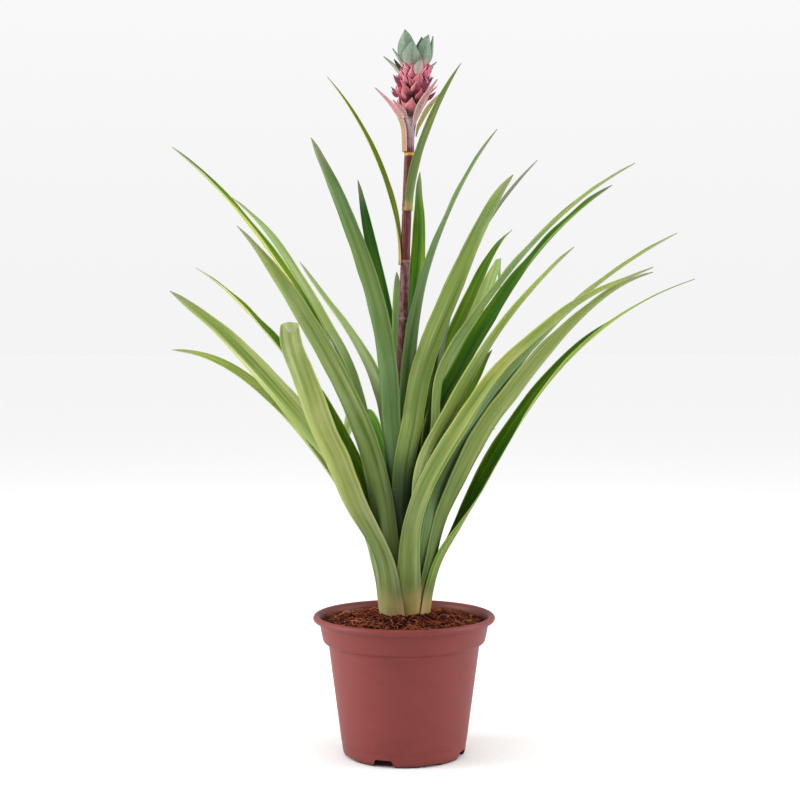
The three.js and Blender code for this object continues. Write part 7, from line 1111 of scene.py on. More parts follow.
        [-21.04, 5.09, 179.85, -0.2251, -0.9742, 0.0167, 0.9636, -0.2201, 0.1515, 8.15, 2.93, 0.94],
        [-22.74, 5.71, 191.24, -0.2385, -0.9709, 0.0189, 0.9593, -0.2326, 0.16, 8.15, 2.93, 0.92],
        [-25.02, 6.56, 205.43, -0.2573, -0.9662, 0.0171, 0.9514, -0.2501, 0.1797, 8.15, 2.93, 0.89],
        [-27.72, 7.53, 219.54, -0.28, -0.9599, 0.0122, 0.9365, -0.2703, 0.2234, 8.15, 2.93, 0.87],
        [-31.99, 8.97, 236.2, -0.3231, -0.9464, -0.0046, 0.9016, -0.3093, 0.3025, 8.15, 2.93, 0.84],
        [-37.75, 10.79, 252.36, -0.3634, -0.9311, -0.0311, 0.8512, -0.3454, 0.3952, 8.15, 2.93, 0.81],
        [-44.96, 12.99, 267.89, -0.3801, -0.9232, -0.0571, 0.8031, -0.36, 0.4747, 8.14, 2.93, 0.79],
        [-53.56, 15.33, 282.68, -0.3821, -0.9206, -0.0809, 0.7693, -0.3654, 0.5242, 8.01, 2.88, 0.76],
        [-62.13, 17.79, 297.48, -0.3986, -0.9142, -0.0735, 0.7763, -0.379, 0.5037, 7.68, 2.77, 0.73],
        [-70.67, 20.26, 312.3, -0.4009, -0.9124, -0.0823, 0.7659, -0.3831, 0.5163, 7.15, 2.57, 0.7],
        [-79.59, 22.81, 326.88, -0.3979, -0.9133, -0.0874, 0.7467, -0.3777, 0.5475, 6.39, 2.3, 0.67],
        [-89.22, 25.57, 340.94, -0.3793, -0.9213, -0.0852, 0.7155, -0.3505, 0.6043, 5.37, 1.93, 0.64],
        [-98.07, 28.11, 351.98, -0.3537, -0.9323, -0.0753, 0.675, -0.3102, 0.6694, 4.27, 1.54, 0.62],
        [-105.83, 30.34, 360.16, -0.3299, -0.9421, -0.0606, 0.6325, -0.2682, 0.7266, 3.11, 1.12, 0.6],
        [-111.98, 32.11, 365.86, -0.3124, -0.9489, -0.0448, 0.6061, -0.2355, 0.7597, 1.87, 0.67, 0.59],
        [-116.26, 33.34, 369.58, -0.3016, -0.9529, -0.0322, 0.6017, -0.2165, 0.7688, 0.28, 0, 0.58],
    ],
    "leaf_right_back_long": [
        [8.24, 3.33, 113.67, -0.3747, 0.9272, -0.0003, -0.8893, -0.3593, 0.2828, 5.96, 2.29, 1.05],
        [9.97, 4.03, 120.03, -0.3748, 0.9271, -0.0005, -0.8921, -0.3604, 0.2724, 6.3, 2.42, 1.04],
        [11.85, 4.8, 127.86, -0.375, 0.927, -0.0014, -0.904, -0.3653, 0.2219, 6.62, 2.53, 1.03],
        [13.35, 5.43, 135.79, -0.3753, 0.9269, -0.0035, -0.9093, -0.3675, 0.1954, 6.89, 2.62, 1.02],
        [15.23, 6.25, 145.35, -0.3768, 0.9263, -0.0103, -0.9006, -0.3637, 0.2379, 7.21, 2.7, 1],
        [17.57, 7.4, 154.91, -0.3813, 0.924, -0.0286, -0.895, -0.3612, 0.2619, 7.5, 2.77, 0.99],
        [19.33, 8.67, 166.04, -0.3872, 0.9201, -0.0595, -0.9216, -0.3846, 0.0527, 7.82, 2.84, 0.97],
        [18.33, 8.99, 177.18, -0.4054, 0.9126, -0.053, -0.9041, -0.4088, -0.1242, 8.13, 2.93, 0.96],
        [17.42, 8.94, 190.05, -0.4419, 0.8971, 0.0019, -0.8969, -0.442, 0.0141, 8.3, 2.99, 0.94],
        [18.26, 9.11, 202.94, -0.4812, 0.8762, 0.0259, -0.8712, -0.4812, 0.0974, 8.3, 2.99, 0.92],
        [20.66, 10.03, 218.74, -0.5252, 0.8499, 0.0421, -0.8172, -0.5177, 0.2533, 8.3, 2.99, 0.89],
        [26.46, 12.23, 233.34, -0.5315, 0.8383, 0.1219, -0.7056, -0.5178, 0.4838, 8.3, 2.99, 0.87],
        [35.95, 16.01, 249.69, -0.5776, 0.8059, 0.1299, -0.6551, -0.5525, 0.5154, 8.3, 2.99, 0.84],
        [45.37, 20.21, 265.95, -0.6043, 0.7823, 0.1511, -0.6232, -0.5823, 0.5221, 8.3, 2.99, 0.81],
        [55.1, 24.54, 281.98, -0.6072, 0.7776, 0.1633, -0.6046, -0.5856, 0.5399, 8.3, 2.99, 0.79],
        [65.25, 29.05, 297.71, -0.549, 0.827, 0.1213, -0.6378, -0.5083, 0.5786, 8.17, 2.94, 0.76],
        [75.94, 33.8, 313, -0.4455, 0.8946, 0.0344, -0.6898, -0.3675, 0.6238, 7.83, 2.82, 0.73],
        [87.25, 38.84, 327.72, -0.3547, 0.9336, -0.0496, -0.7117, -0.2352, 0.6619, 7.28, 2.62, 0.7],
        [99.3, 44.21, 341.74, -0.3378, 0.9384, -0.0734, -0.6845, -0.1914, 0.7035, 6.51, 2.34, 0.67],
        [112.14, 49.93, 354.88, -0.3733, 0.9268, -0.0414, -0.6219, -0.2169, 0.7525, 5.48, 1.97, 0.64],
        [123.46, 54.97, 365.04, -0.423, 0.9058, 0.0235, -0.5445, -0.2748, 0.7924, 4.35, 1.57, 0.62],
        [132.93, 59.19, 372.6, -0.4687, 0.8773, 0.1034, -0.4649, -0.3445, 0.8156, 3.16, 1.14, 0.6],
        [140.18, 62.42, 377.91, -0.5032, 0.8456, 0.1783, -0.4008, -0.4112, 0.8187, 1.9, 0.69, 0.59],
        [145.16, 64.63, 381.42, -0.5271, 0.8171, 0.2334, -0.3609, -0.4639, 0.809, 0.28, 0, 0.58],
    ],
    "leaf_back_left_mid": [
        [-7.12, 5.77, 115.28, -0.6314, -0.7754, 0.008, 0.7349, -0.5951, 0.3254, 5.75, 2.21, 1.05],
        [-8.29, 6.77, 119.96, -0.6329, -0.7741, 0.0144, 0.746, -0.6047, 0.279, 6.03, 2.31, 1.04],
        [-9.25, 7.73, 125.73, -0.6356, -0.7712, 0.0338, 0.7632, -0.6213, 0.1775, 6.28, 2.41, 1.03],
        [-9.77, 8.51, 131.59, -0.6377, -0.7682, 0.0574, 0.7669, -0.6261, 0.1411, 6.51, 2.49, 1.02],
        [-10.2, 9.53, 138.68, -0.6392, -0.7647, 0.0818, 0.7674, -0.627, 0.1342, 6.76, 2.57, 1],
        [-10.51, 10.64, 145.81, -0.6399, -0.7621, 0.0988, 0.7678, -0.6284, 0.1249, 7, 2.63, 0.99],
        [-10.67, 11.93, 154.16, -0.638, -0.7622, 0.1101, 0.7701, -0.6309, 0.0946, 7.26, 2.69, 0.97],
        [-10.55, 13.06, 162.53, -0.6212, -0.7748, 0.1174, 0.7831, -0.6193, 0.0568, 7.51, 2.75, 0.96],
        [-10.21, 14.44, 172.04, -0.587, -0.791, 0.1723, 0.809, -0.5816, 0.0848, 7.65, 2.77, 0.94],
        [-10.01, 17.07, 181.3, -0.5489, -0.7868, 0.2821, 0.8359, -0.5187, 0.1797, 7.65, 2.75, 0.92],
        [-10.25, 19.45, 192.93, -0.5147, -0.8555, -0.0561, 0.856, -0.5161, 0.0289, 7.65, 2.75, 0.89],
        [-11.54, 18.04, 204.97, -0.5085, -0.8489, -0.144, 0.8462, -0.5235, 0.0994, 7.65, 2.75, 0.87],
        [-14.03, 17.53, 218.84, -0.5094, -0.8471, -0.1517, 0.8459, -0.5252, 0.0925, 7.65, 2.75, 0.84],
        [-16.51, 16.19, 233.49, -0.5172, -0.8459, -0.1301, 0.8263, -0.5328, 0.1827, 7.65, 2.75, 0.81],
        [-20.91, 18.15, 247.13, -0.5654, -0.8247, 0.0136, 0.7411, -0.5006, 0.4473, 7.65, 2.75, 0.79],
        [-26.63, 22.91, 259.48, -0.5621, -0.8227, 0.085, 0.7087, -0.426, 0.5623, 7.53, 2.71, 0.76],
        [-33.16, 28.75, 270.97, -0.5247, -0.8396, 0.1404, 0.7066, -0.3376, 0.6219, 7.22, 2.6, 0.73],
        [-40.3, 35.11, 281.83, -0.4893, -0.8526, 0.1834, 0.7077, -0.2653, 0.6548, 6.71, 2.42, 0.7],
        [-47.84, 41.69, 292.27, -0.4792, -0.8563, 0.1926, 0.6996, -0.2401, 0.673, 6, 2.16, 0.67],
        [-55.54, 48.29, 302.6, -0.4787, -0.8576, 0.1878, 0.6996, -0.2434, 0.6717, 5.05, 1.82, 0.64],
        [-61.86, 53.69, 311.33, -0.4822, -0.8576, 0.1787, 0.7098, -0.263, 0.6535, 4.01, 1.44, 0.62],
        [-66.7, 57.89, 318.54, -0.4902, -0.8555, 0.1669, 0.721, -0.2905, 0.6291, 2.92, 1.05, 0.6],
        [-70.15, 60.94, 324.05, -0.5006, -0.8516, 0.1557, 0.7251, -0.3143, 0.6127, 1.75, 0.63, 0.59],
        [-72.44, 62.97, 327.84, -0.5101, -0.8474, 0.1471, 0.7216, -0.3286, 0.6093, 0.28, 0, 0.58],
    ],
    "leaf_back_right_arching": [
        [1.8, 8.45, 116.9, -0.9776, 0.2104, 0.0086, -0.1991, -0.9366, 0.2882, 5.43, 2.08, 1.05],
        [2.28, 10.38, 123.73, -0.9773, 0.2116, 0.0132, -0.2011, -0.9448, 0.2587, 5.69, 2.18, 1.04],
        [2.85, 12.24, 132.09, -0.9763, 0.2145, 0.0273, -0.2052, -0.9589, 0.1957, 5.92, 2.27, 1.03],
        [3.5, 13.74, 140.45, -0.9749, 0.218, 0.0462, -0.2052, -0.9592, 0.1945, 6.14, 2.33, 1.02],
        [4.54, 15.74, 150.38, -0.9724, 0.2228, 0.0688, -0.2005, -0.9497, 0.2406, 6.37, 2.38, 1],
        [5.96, 18.42, 160.21, -0.9696, 0.2283, 0.0877, -0.1863, -0.9219, 0.3396, 6.59, 2.42, 0.99],
        [8.24, 23.21, 171.55, -0.9654, 0.2396, 0.1029, -0.1649, -0.8667, 0.4707, 6.84, 2.47, 0.97],
        [11.05, 29.13, 182.71, -0.9542, 0.2795, 0.107, -0.1911, -0.8442, 0.5007, 7.07, 2.55, 0.96],
        [14.57, 35.53, 195.13, -0.9305, 0.3522, 0.1011, -0.2598, -0.8287, 0.4958, 7.2, 2.59, 0.94],
        [18.38, 41.64, 207.26, -0.8999, 0.4295, 0.076, -0.3347, -0.7917, 0.5111, 7.2, 2.59, 0.92],
        [23.48, 49.37, 222.18, -0.8584, 0.5117, 0.0362, -0.4148, -0.7338, 0.538, 7.2, 2.59, 0.89],
        [28.97, 57.35, 236.82, -0.8228, 0.5683, 0.0036, -0.4675, -0.6804, 0.5644, 7.2, 2.59, 0.87],
        [36.01, 67.28, 254.01, -0.7755, 0.6298, -0.0433, -0.5293, -0.6113, 0.5883, 7.2, 2.59, 0.84],
        [43.43, 77.54, 270.85, -0.7365, 0.6708, -0.087, -0.5741, -0.5518, 0.6049, 7.2, 2.59, 0.81],
        [50.96, 88.31, 287.31, -0.7353, 0.6657, -0.127, -0.5791, -0.52, 0.6279, 7.2, 2.59, 0.79],
        [58.01, 100.39, 303, -0.7781, 0.6014, -0.1813, -0.5446, -0.5022, 0.6717, 7.08, 2.55, 0.76],
        [63.97, 114.64, 317.16, -0.8386, 0.4887, -0.2406, -0.4818, -0.4589, 0.7466, 5.88, 1.91, 0.73],
        [68.6, 131.56, 328.43, -0.898, 0.3337, -0.2868, -0.3989, -0.3415, 0.8511, 3.78, 0.8, 0.7],
        [71.65, 151.01, 334.78, -0.9422, 0.1527, -0.2982, -0.3171, -0.1166, 0.9412, 2.25, 0.06, 0.67],
        [73.33, 171.62, 334.82, -0.967, 0.0226, -0.2538, -0.2472, 0.1608, 0.9555, 1.81, 0, 0.64],
        [74.37, 188.25, 330.18, -0.9794, -0.0148, -0.2012, -0.1909, 0.3897, 0.9009, 1.43, 0, 0.62],
        [75.43, 200.43, 323.65, -0.9858, -0.0035, -0.1679, -0.1416, 0.5546, 0.82, 1.04, 0, 0.6],
        [76.48, 208.7, 317.49, -0.9885, 0.0188, -0.1499, -0.1033, 0.6396, 0.7617, 0.63, 0, 0.59],
        [77.29, 214.03, 312.94, -0.9899, 0.0339, -0.1373, -0.0809, 0.6605, 0.7464, 0.28, 0, 0.58],
    ],
    "leaf_right_upper": [
        [8.25, 1.16, 118.53, -0.1392, 0.9903, 0, -0.9515, -0.1337, 0.277, 5.14, 1.97, 1.05],
        [9.87, 1.39, 124.36, -0.1392, 0.9903, -0.0001, -0.9583, -0.1347, 0.2519, 5.55, 2.13, 1.04],
        [11.46, 1.61, 131.53, -0.1392, 0.9903, -0.0002, -0.9741, -0.1369, 0.1798, 5.93, 2.27, 1.03],
        [12.59, 1.77, 138.78, -0.1393, 0.9903, -0.0007, -0.9798, -0.1377, 0.1447, 6.27, 2.39, 1.02],
        [13.85, 1.96, 147.49, -0.1395, 0.9902, -0.0023, -0.9786, -0.1375, 0.1527, 6.65, 2.51, 1],
        [15.24, 2.2, 156.21, -0.1402, 0.9901, -0.0064, -0.9776, -0.1374, 0.1593, 7, 2.6, 0.99],
        [16.63, 2.49, 166.4, -0.1408, 0.99, -0.0123, -0.9856, -0.1389, 0.0966, 7.39, 2.7, 0.97],
        [17.04, 2.67, 176.6, -0.1393, 0.9902, -0.0079, -0.9902, -0.1393, -0.0065, 7.76, 2.81, 0.96],
        [16.79, 2.64, 188.26, -0.1362, 0.9907, 0.0045, -0.9907, -0.1362, -0.007, 7.97, 2.87, 0.94],
        [17.13, 2.64, 199.92, -0.1321, 0.9912, 0.0022, -0.9893, -0.1319, 0.062, 7.97, 2.87, 0.92],
        [18.34, 2.81, 214.48, -0.1266, 0.9919, -0.0033, -0.9872, -0.1257, 0.0983, 7.97, 2.87, 0.89],
        [19.94, 3.06, 229.04, -0.1207, 0.9927, -0.0024, -0.9853, -0.1195, 0.1222, 7.97, 2.87, 0.87],
        [22.29, 3.39, 246.44, -0.1132, 0.9936, -0.0048, -0.9829, -0.1113, 0.1469, 7.97, 2.87, 0.84],
        [25.08, 3.83, 263.78, -0.1047, 0.9944, -0.0107, -0.979, -0.1012, 0.1772, 7.97, 2.87, 0.81],
        [28.53, 4.4, 280.98, -0.0941, 0.9954, -0.0162, -0.9709, -0.0882, 0.2228, 7.97, 2.87, 0.79],
        [32.88, 5.12, 297.97, -0.0757, 0.9968, -0.0256, -0.9579, -0.0655, 0.2796, 7.84, 2.82, 0.76],
        [38.32, 6.02, 314.63, -0.0543, 0.9977, -0.0399, -0.9372, -0.0372, 0.3468, 7.52, 2.71, 0.73],
        [45.02, 7.1, 330.81, -0.0404, 0.9976, -0.0562, -0.906, -0.0129, 0.4231, 6.99, 2.52, 0.7],
        [53.13, 8.41, 346.31, -0.0424, 0.9968, -0.0683, -0.8638, -0.0023, 0.5038, 6.25, 2.25, 0.67],
        [62.58, 9.92, 361, -0.0568, 0.9958, -0.0715, -0.8176, -0.0053, 0.5757, 5.26, 1.89, 0.64],
        [71.32, 11.3, 372.65, -0.0746, 0.995, -0.066, -0.7815, -0.0172, 0.6237, 4.18, 1.5, 0.62],
        [78.75, 12.48, 381.62, -0.0917, 0.9942, -0.0561, -0.7562, -0.0329, 0.6535, 3.04, 1.09, 0.6],
        [84.46, 13.38, 388.14, -0.1058, 0.9934, -0.0454, -0.7422, -0.0485, 0.6684, 1.83, 0.66, 0.59],
        [88.39, 14, 392.52, -0.1157, 0.9926, -0.0368, -0.7377, -0.0611, 0.6724, 0.28, 0, 0.58],
    ],
    "leaf_back_right_mid": [
        [4.88, 5.42, 120.16, -0.7433, 0.669, -0.0006, -0.6484, -0.7201, 0.2469, 5.02, 2.03, 1.05],
        [5.81, 6.46, 125.72, -0.7434, 0.6689, -0.0014, -0.6508, -0.7228, 0.2324, 5.38, 2.17, 1.04],
        [6.76, 7.54, 132.54, -0.7437, 0.6685, -0.0039, -0.6593, -0.7324, 0.1698, 5.71, 2.3, 1.03],
        [7.41, 8.32, 139.42, -0.7441, 0.668, -0.0082, -0.6626, -0.7363, 0.1373, 6.01, 2.4, 1.02],
        [8.12, 9.27, 147.66, -0.745, 0.6668, -0.0183, -0.6609, -0.734, 0.1564, 6.33, 2.49, 1],
        [8.9, 10.51, 155.85, -0.7478, 0.6624, -0.0462, -0.6577, -0.7293, 0.1884, 6.64, 2.55, 0.99],
        [9.59, 12.43, 165.24, -0.75, 0.6496, -0.1244, -0.6605, -0.7256, 0.1932, 6.97, 2.61, 0.97],
        [9.45, 14.75, 174.32, -0.7242, 0.6522, -0.224, -0.6866, -0.712, 0.1473, 7.3, 2.67, 0.96],
        [8.56, 17.49, 184.47, -0.675, 0.6996, -0.2345, -0.7341, -0.6685, 0.119, 7.48, 2.69, 0.94],
        [8.29, 20.09, 194.75, -0.6189, 0.7663, -0.1723, -0.7847, -0.5936, 0.1788, 7.48, 2.69, 0.92],
        [9.67, 23.62, 207.7, -0.5595, 0.8188, -0.1282, -0.8131, -0.5124, 0.2763, 7.48, 2.69, 0.89],
        [12.97, 25.98, 221.22, -0.4994, 0.8595, 0.109, -0.8096, -0.5078, 0.2943, 7.48, 2.69, 0.87],
        [19.11, 27.76, 237.6, -0.5763, 0.8172, -0.0057, -0.7408, -0.5191, 0.4263, 7.48, 2.69, 0.84],
        [24.64, 33.98, 251.97, -0.6614, 0.7387, -0.1297, -0.6711, -0.5057, 0.5421, 7.48, 2.69, 0.81],
        [30.36, 41.81, 265.4, -0.687, 0.7142, -0.1336, -0.6339, -0.4993, 0.5906, 7.48, 2.69, 0.79],
        [36.33, 50.05, 278.47, -0.6987, 0.7044, -0.125, -0.6162, -0.5038, 0.6053, 7.36, 2.65, 0.76],
        [42.35, 58.31, 291.51, -0.7074, 0.6975, -0.1149, -0.6071, -0.5162, 0.6041, 7.05, 2.54, 0.73],
        [48.35, 66.56, 304.57, -0.7135, 0.692, -0.1097, -0.5986, -0.5206, 0.6088, 6.56, 2.36, 0.7],
        [54.46, 74.94, 317.49, -0.7144, 0.6903, -0.1142, -0.5908, -0.5077, 0.6271, 5.87, 2.11, 0.67],
        [60.87, 83.77, 329.94, -0.6934, 0.7041, -0.1535, -0.5968, -0.4416, 0.6699, 4.93, 1.78, 0.64],
        [66.7, 91.78, 339.51, -0.663, 0.716, -0.2188, -0.6031, -0.3376, 0.7227, 3.92, 1.41, 0.62],
        [71.78, 98.79, 346.3, -0.6359, 0.7151, -0.2903, -0.6049, -0.2281, 0.7629, 2.85, 1.03, 0.6],
        [75.81, 104.34, 350.81, -0.6124, 0.7101, -0.3476, -0.6128, -0.1485, 0.7762, 1.72, 0.62, 0.59],
        [78.61, 108.2, 353.68, -0.5911, 0.7102, -0.3822, -0.6291, -0.1094, 0.7696, 0.28, 0, 0.58],
    ],
    "leaf_front_upper": [
        [2.07, -7.22, 121.79, 0.9628, 0.2668, 0.0418, -0.2696, 0.9402, 0.2083, 5.04, 2.04, 1.05],
        [2.14, -8.51, 127.77, 0.9629, 0.2637, 0.057, -0.2697, 0.9427, 0.1965, 5.34, 2.16, 1.04],
        [1.95, -9.91, 135.1, 0.9616, 0.2566, 0.097, -0.2686, 0.9526, 0.1428, 5.62, 2.26, 1.03],
        [1.33, -10.98, 142.44, 0.9587, 0.2518, 0.1322, -0.2654, 0.9591, 0.0987, 5.86, 2.34, 1.02],
        [0.31, -12.01, 151.22, 0.9579, 0.2508, 0.1398, -0.2623, 0.9624, 0.0706, 6.14, 2.4, 1],
        [-0.59, -12.86, 159.98, 0.962, 0.2547, 0.0981, -0.2616, 0.963, 0.0644, 6.39, 2.44, 0.99],
        [-0.98, -13.66, 170.2, 0.9657, 0.2592, 0.0126, -0.2594, 0.9634, 0.0679, 6.68, 2.47, 0.97],
        [-0.57, -14.38, 180.41, 0.9683, 0.2457, -0.044, -0.2405, 0.9655, 0.0998, 6.95, 2.52, 0.96],
        [0.51, -15.78, 191.99, 0.9725, 0.2166, -0.0856, -0.2, 0.965, 0.1697, 7.1, 2.56, 0.94],
        [2.29, -17.62, 203.32, 0.9692, 0.1902, -0.1568, -0.1596, 0.9689, 0.1889, 7.1, 2.56, 0.92],
        [5.2, -19.34, 217.31, 0.9709, 0.1611, -0.1773, -0.1495, 0.9858, 0.0763, 7.1, 2.56, 0.89],
        [7.51, -19.17, 232.27, 0.9769, 0.1636, -0.1373, -0.1607, 0.9865, 0.0315, 7.1, 2.56, 0.87],
        [10.78, -22.57, 249.39, 0.9651, 0.2082, -0.159, -0.1264, 0.9018, 0.4134, 7.1, 2.56, 0.84],
        [15.25, -31.1, 264.25, 0.9547, 0.2627, -0.1397, -0.1326, 0.7961, 0.5905, 7.1, 2.56, 0.81],
        [20.18, -41.36, 277.96, 0.9437, 0.3107, -0.1135, -0.1654, 0.7405, 0.6514, 7.1, 2.56, 0.79],
        [25.42, -52.18, 291.14, 0.9293, 0.3611, -0.0768, -0.2165, 0.7016, 0.6789, 6.98, 2.51, 0.76],
        [30.81, -63.21, 304.07, 0.9117, 0.4097, -0.0319, -0.2758, 0.6676, 0.6916, 6.69, 2.41, 0.73],
        [36.25, -74.31, 316.94, 0.8968, 0.4424, 0.0029, -0.3213, 0.6467, 0.6917, 6.23, 2.24, 0.7],
        [41.67, -85.4, 329.81, 0.8938, 0.4483, 0.011, -0.3288, 0.6384, 0.6959, 5.57, 2, 0.67],
        [47.21, -96.78, 342.37, 0.9, 0.4359, -0.0017, -0.2972, 0.6164, 0.7292, 4.68, 1.69, 0.64],
        [52.1, -106.84, 352.14, 0.9084, 0.4172, -0.0283, -0.2406, 0.577, 0.7805, 3.72, 1.34, 0.62],
        [56.29, -115.44, 359.14, 0.9146, 0.3993, -0.0635, -0.1745, 0.5315, 0.8289, 2.71, 0.97, 0.6],
        [59.58, -122.17, 363.83, 0.9179, 0.3844, -0.0979, -0.1199, 0.5042, 0.8552, 1.63, 0.59, 0.59],
        [61.86, -126.84, 366.83, 0.9201, 0.3717, -0.1234, -0.0879, 0.5031, 0.8598, 0.28, 0, 0.58],
    ],
    "leaf_back_left_upper": [
        [-2.33, 6.39, 123.42, -0.9413, -0.3366, 0.0272, 0.335, -0.9203, 0.2022, 4.77, 1.93, 1.05],
        [-2.57, 7.57, 129.23, -0.9414, -0.3359, 0.0308, 0.3353, -0.9221, 0.193, 5.16, 2.09, 1.04],
        [-2.75, 8.8, 136.35, -0.9416, -0.3344, 0.0401, 0.3367, -0.9318, 0.1357, 5.53, 2.23, 1.03],
        [-2.73, 9.71, 143.5, -0.9415, -0.3332, 0.0497, 0.3368, -0.934, 0.1187, 5.86, 2.34, 1.02],
        [-2.68, 10.99, 152.04, -0.9415, -0.3317, 0.059, 0.337, -0.927, 0.1646, 6.22, 2.44, 1],
        [-2.74, 12.75, 160.5, -0.9416, -0.3307, 0.064, 0.3365, -0.9153, 0.2215, 6.56, 2.51, 0.99],
        [-3, 15.3, 170.29, -0.9405, -0.3351, 0.0556, 0.3378, -0.906, 0.2552, 6.93, 2.58, 0.97],
        [-3.36, 17.74, 180.1, -0.9341, -0.353, 0.054, 0.3562, -0.9101, 0.2118, 7.29, 2.65, 0.96],
        [-3.33, 20.08, 191.33, -0.9191, -0.3774, 0.1134, 0.3925, -0.9027, 0.1764, 7.49, 2.7, 0.94],
        [-2.63, 22.69, 202.36, -0.8946, -0.4091, 0.1796, 0.4409, -0.8734, 0.2067, 7.49, 2.7, 0.92],
        [-2.24, 27.2, 215.63, -0.861, -0.4842, 0.1558, 0.5062, -0.7874, 0.3517, 7.49, 2.7, 0.89],
        [-3.94, 33.39, 228.46, -0.816, -0.5587, 0.1482, 0.5572, -0.6919, 0.4592, 7.49, 2.7, 0.87],
        [-6.38, 41.06, 243.95, -0.7345, -0.648, 0.2017, 0.6673, -0.6356, 0.3882, 7.49, 2.7, 0.84],
        [-8.56, 48.27, 259.52, -0.6476, -0.724, 0.2376, 0.7499, -0.5504, 0.367, 7.49, 2.7, 0.81],
        [-11.11, 55.39, 275.05, -0.6134, -0.7548, 0.2325, 0.7733, -0.5142, 0.3709, 7.49, 2.7, 0.79],
        [-14.06, 62.33, 290.59, -0.6455, -0.7381, 0.1963, 0.7424, -0.546, 0.3882, 7.37, 2.65, 0.76],
        [-17.25, 69.09, 306.16, -0.7013, -0.6965, 0.1515, 0.6873, -0.6045, 0.4028, 7.07, 2.54, 0.73],
        [-20.54, 75.71, 321.78, -0.7467, -0.6546, 0.1179, 0.6373, -0.6534, 0.4086, 6.57, 2.37, 0.7],
        [-23.8, 82.26, 337.42, -0.7576, -0.6427, 0.1141, 0.6258, -0.6653, 0.4071, 5.88, 2.12, 0.67],
        [-26.92, 88.87, 353.07, -0.7473, -0.6511, 0.1328, 0.6409, -0.6536, 0.4024, 4.94, 1.78, 0.64],
        [-29.36, 94.48, 366.1, -0.727, -0.6673, 0.1616, 0.6672, -0.631, 0.3958, 3.93, 1.41, 0.62],
        [-31.15, 99.1, 376.5, -0.7011, -0.6866, 0.1926, 0.6972, -0.6034, 0.3871, 2.86, 1.03, 0.6],
        [-32.4, 102.61, 384.22, -0.6746, -0.7056, 0.2168, 0.7244, -0.5764, 0.3781, 1.72, 0.62, 0.59],
        [-33.21, 105.01, 389.46, -0.6529, -0.7215, 0.2307, 0.7445, -0.5551, 0.371, 0.28, 0, 0.58],
    ],
    "leaf_front_left_upper": [
        [-3.46, -6, 125.06, 0.8642, -0.5027, 0.0196, 0.4933, 0.8544, 0.1634, 4.18, 1.52, 1.05],
        [-4.04, -6.76, 131.05, 0.8643, -0.5026, 0.0183, 0.4957, 0.8575, 0.1378, 4.56, 1.66, 1.04],
        [-4.55, -7.39, 138.41, 0.8647, -0.5022, 0.0128, 0.4997, 0.8625, 0.0798, 4.9, 1.78, 1.03],
        [-4.85, -7.8, 145.8, 0.865, -0.5017, 0.0039, 0.5003, 0.8632, 0.0685, 5.2, 1.89, 1.02],
        [-5.16, -8.35, 154.66, 0.8654, -0.5011, -0.0058, 0.5002, 0.863, 0.0706, 5.54, 2.01, 1],
        [-5.41, -8.94, 163.5, 0.8655, -0.5007, -0.0113, 0.5, 0.8626, 0.0771, 5.86, 2.12, 0.99],
        [-5.79, -9.9, 173.8, 0.8674, -0.4973, -0.0194, 0.4954, 0.8591, 0.1288, 6.21, 2.24, 0.97],
        [-6.37, -11.45, 184.05, 0.8792, -0.4758, -0.026, 0.4724, 0.8632, 0.1781, 6.55, 2.36, 0.96],
        [-7.18, -13.42, 195.8, 0.898, -0.4399, 0.0014, 0.4335, 0.8854, 0.1679, 6.74, 2.42, 0.94],
        [-8.24, -15.12, 207.73, 0.9162, -0.3995, 0.0316, 0.3885, 0.9047, 0.1751, 6.74, 2.42, 0.92],
        [-9.55, -18.62, 222.4, 0.9417, -0.3298, -0.067, 0.3321, 0.8757, 0.3504, 6.74, 2.42, 0.89],
        [-10.04, -25.11, 235.9, 0.9437, -0.3082, -0.1203, 0.3294, 0.8414, 0.4284, 6.74, 2.42, 0.87],
        [-11.1, -31.96, 252.31, 0.9227, -0.3818, -0.0529, 0.3751, 0.8576, 0.3518, 6.74, 2.42, 0.84],
        [-13.16, -38.15, 268.89, 0.8973, -0.4402, -0.033, 0.4178, 0.8229, 0.385, 6.74, 2.42, 0.81],
        [-16.21, -44.84, 285.12, 0.8829, -0.4694, -0.0087, 0.4249, 0.7912, 0.4398, 6.73, 2.42, 0.79],
        [-20.18, -52.13, 300.89, 0.8795, -0.4757, 0.0132, 0.409, 0.7699, 0.4899, 6.62, 2.38, 0.76],
        [-24.79, -60.01, 316.2, 0.8805, -0.4734, 0.0255, 0.3887, 0.7517, 0.5327, 6.35, 2.29, 0.73],
        [-29.82, -68.5, 331.05, 0.8839, -0.4664, 0.0341, 0.3657, 0.7347, 0.5714, 5.91, 2.13, 0.7],
        [-35.16, -77.57, 345.43, 0.8886, -0.4569, 0.0412, 0.3408, 0.7176, 0.6073, 5.28, 1.9, 0.67],
        [-40.74, -87.24, 359.33, 0.8958, -0.4417, 0.05, 0.3104, 0.7021, 0.6409, 4.44, 1.6, 0.64],
        [-45.51, -95.74, 370.54, 0.9034, -0.4247, 0.0594, 0.2806, 0.6901, 0.6671, 3.53, 1.27, 0.62],
        [-49.39, -102.83, 379.26, 0.91, -0.409, 0.0682, 0.2548, 0.6814, 0.6861, 2.57, 0.92, 0.6],
        [-52.29, -108.27, 385.62, 0.9147, -0.397, 0.0763, 0.2362, 0.6779, 0.6962, 1.54, 0.56, 0.59],
        [-54.26, -111.99, 389.89, 0.9173, -0.3895, 0.0828, 0.2254, 0.6794, 0.6982, 0.28, 0, 0.58],
    ],
    "leaf_front_right_upper": [
        [5.66, -3.27, 126.71, 0.5, 0.866, -0.0001, -0.8546, 0.4934, 0.1616, 3.96, 1.44, 1.05],
        [6.5, -3.75, 132.74, 0.5, 0.866, -0.0003, -0.8562, 0.4943, 0.1501, 4.56, 1.66, 1.04],
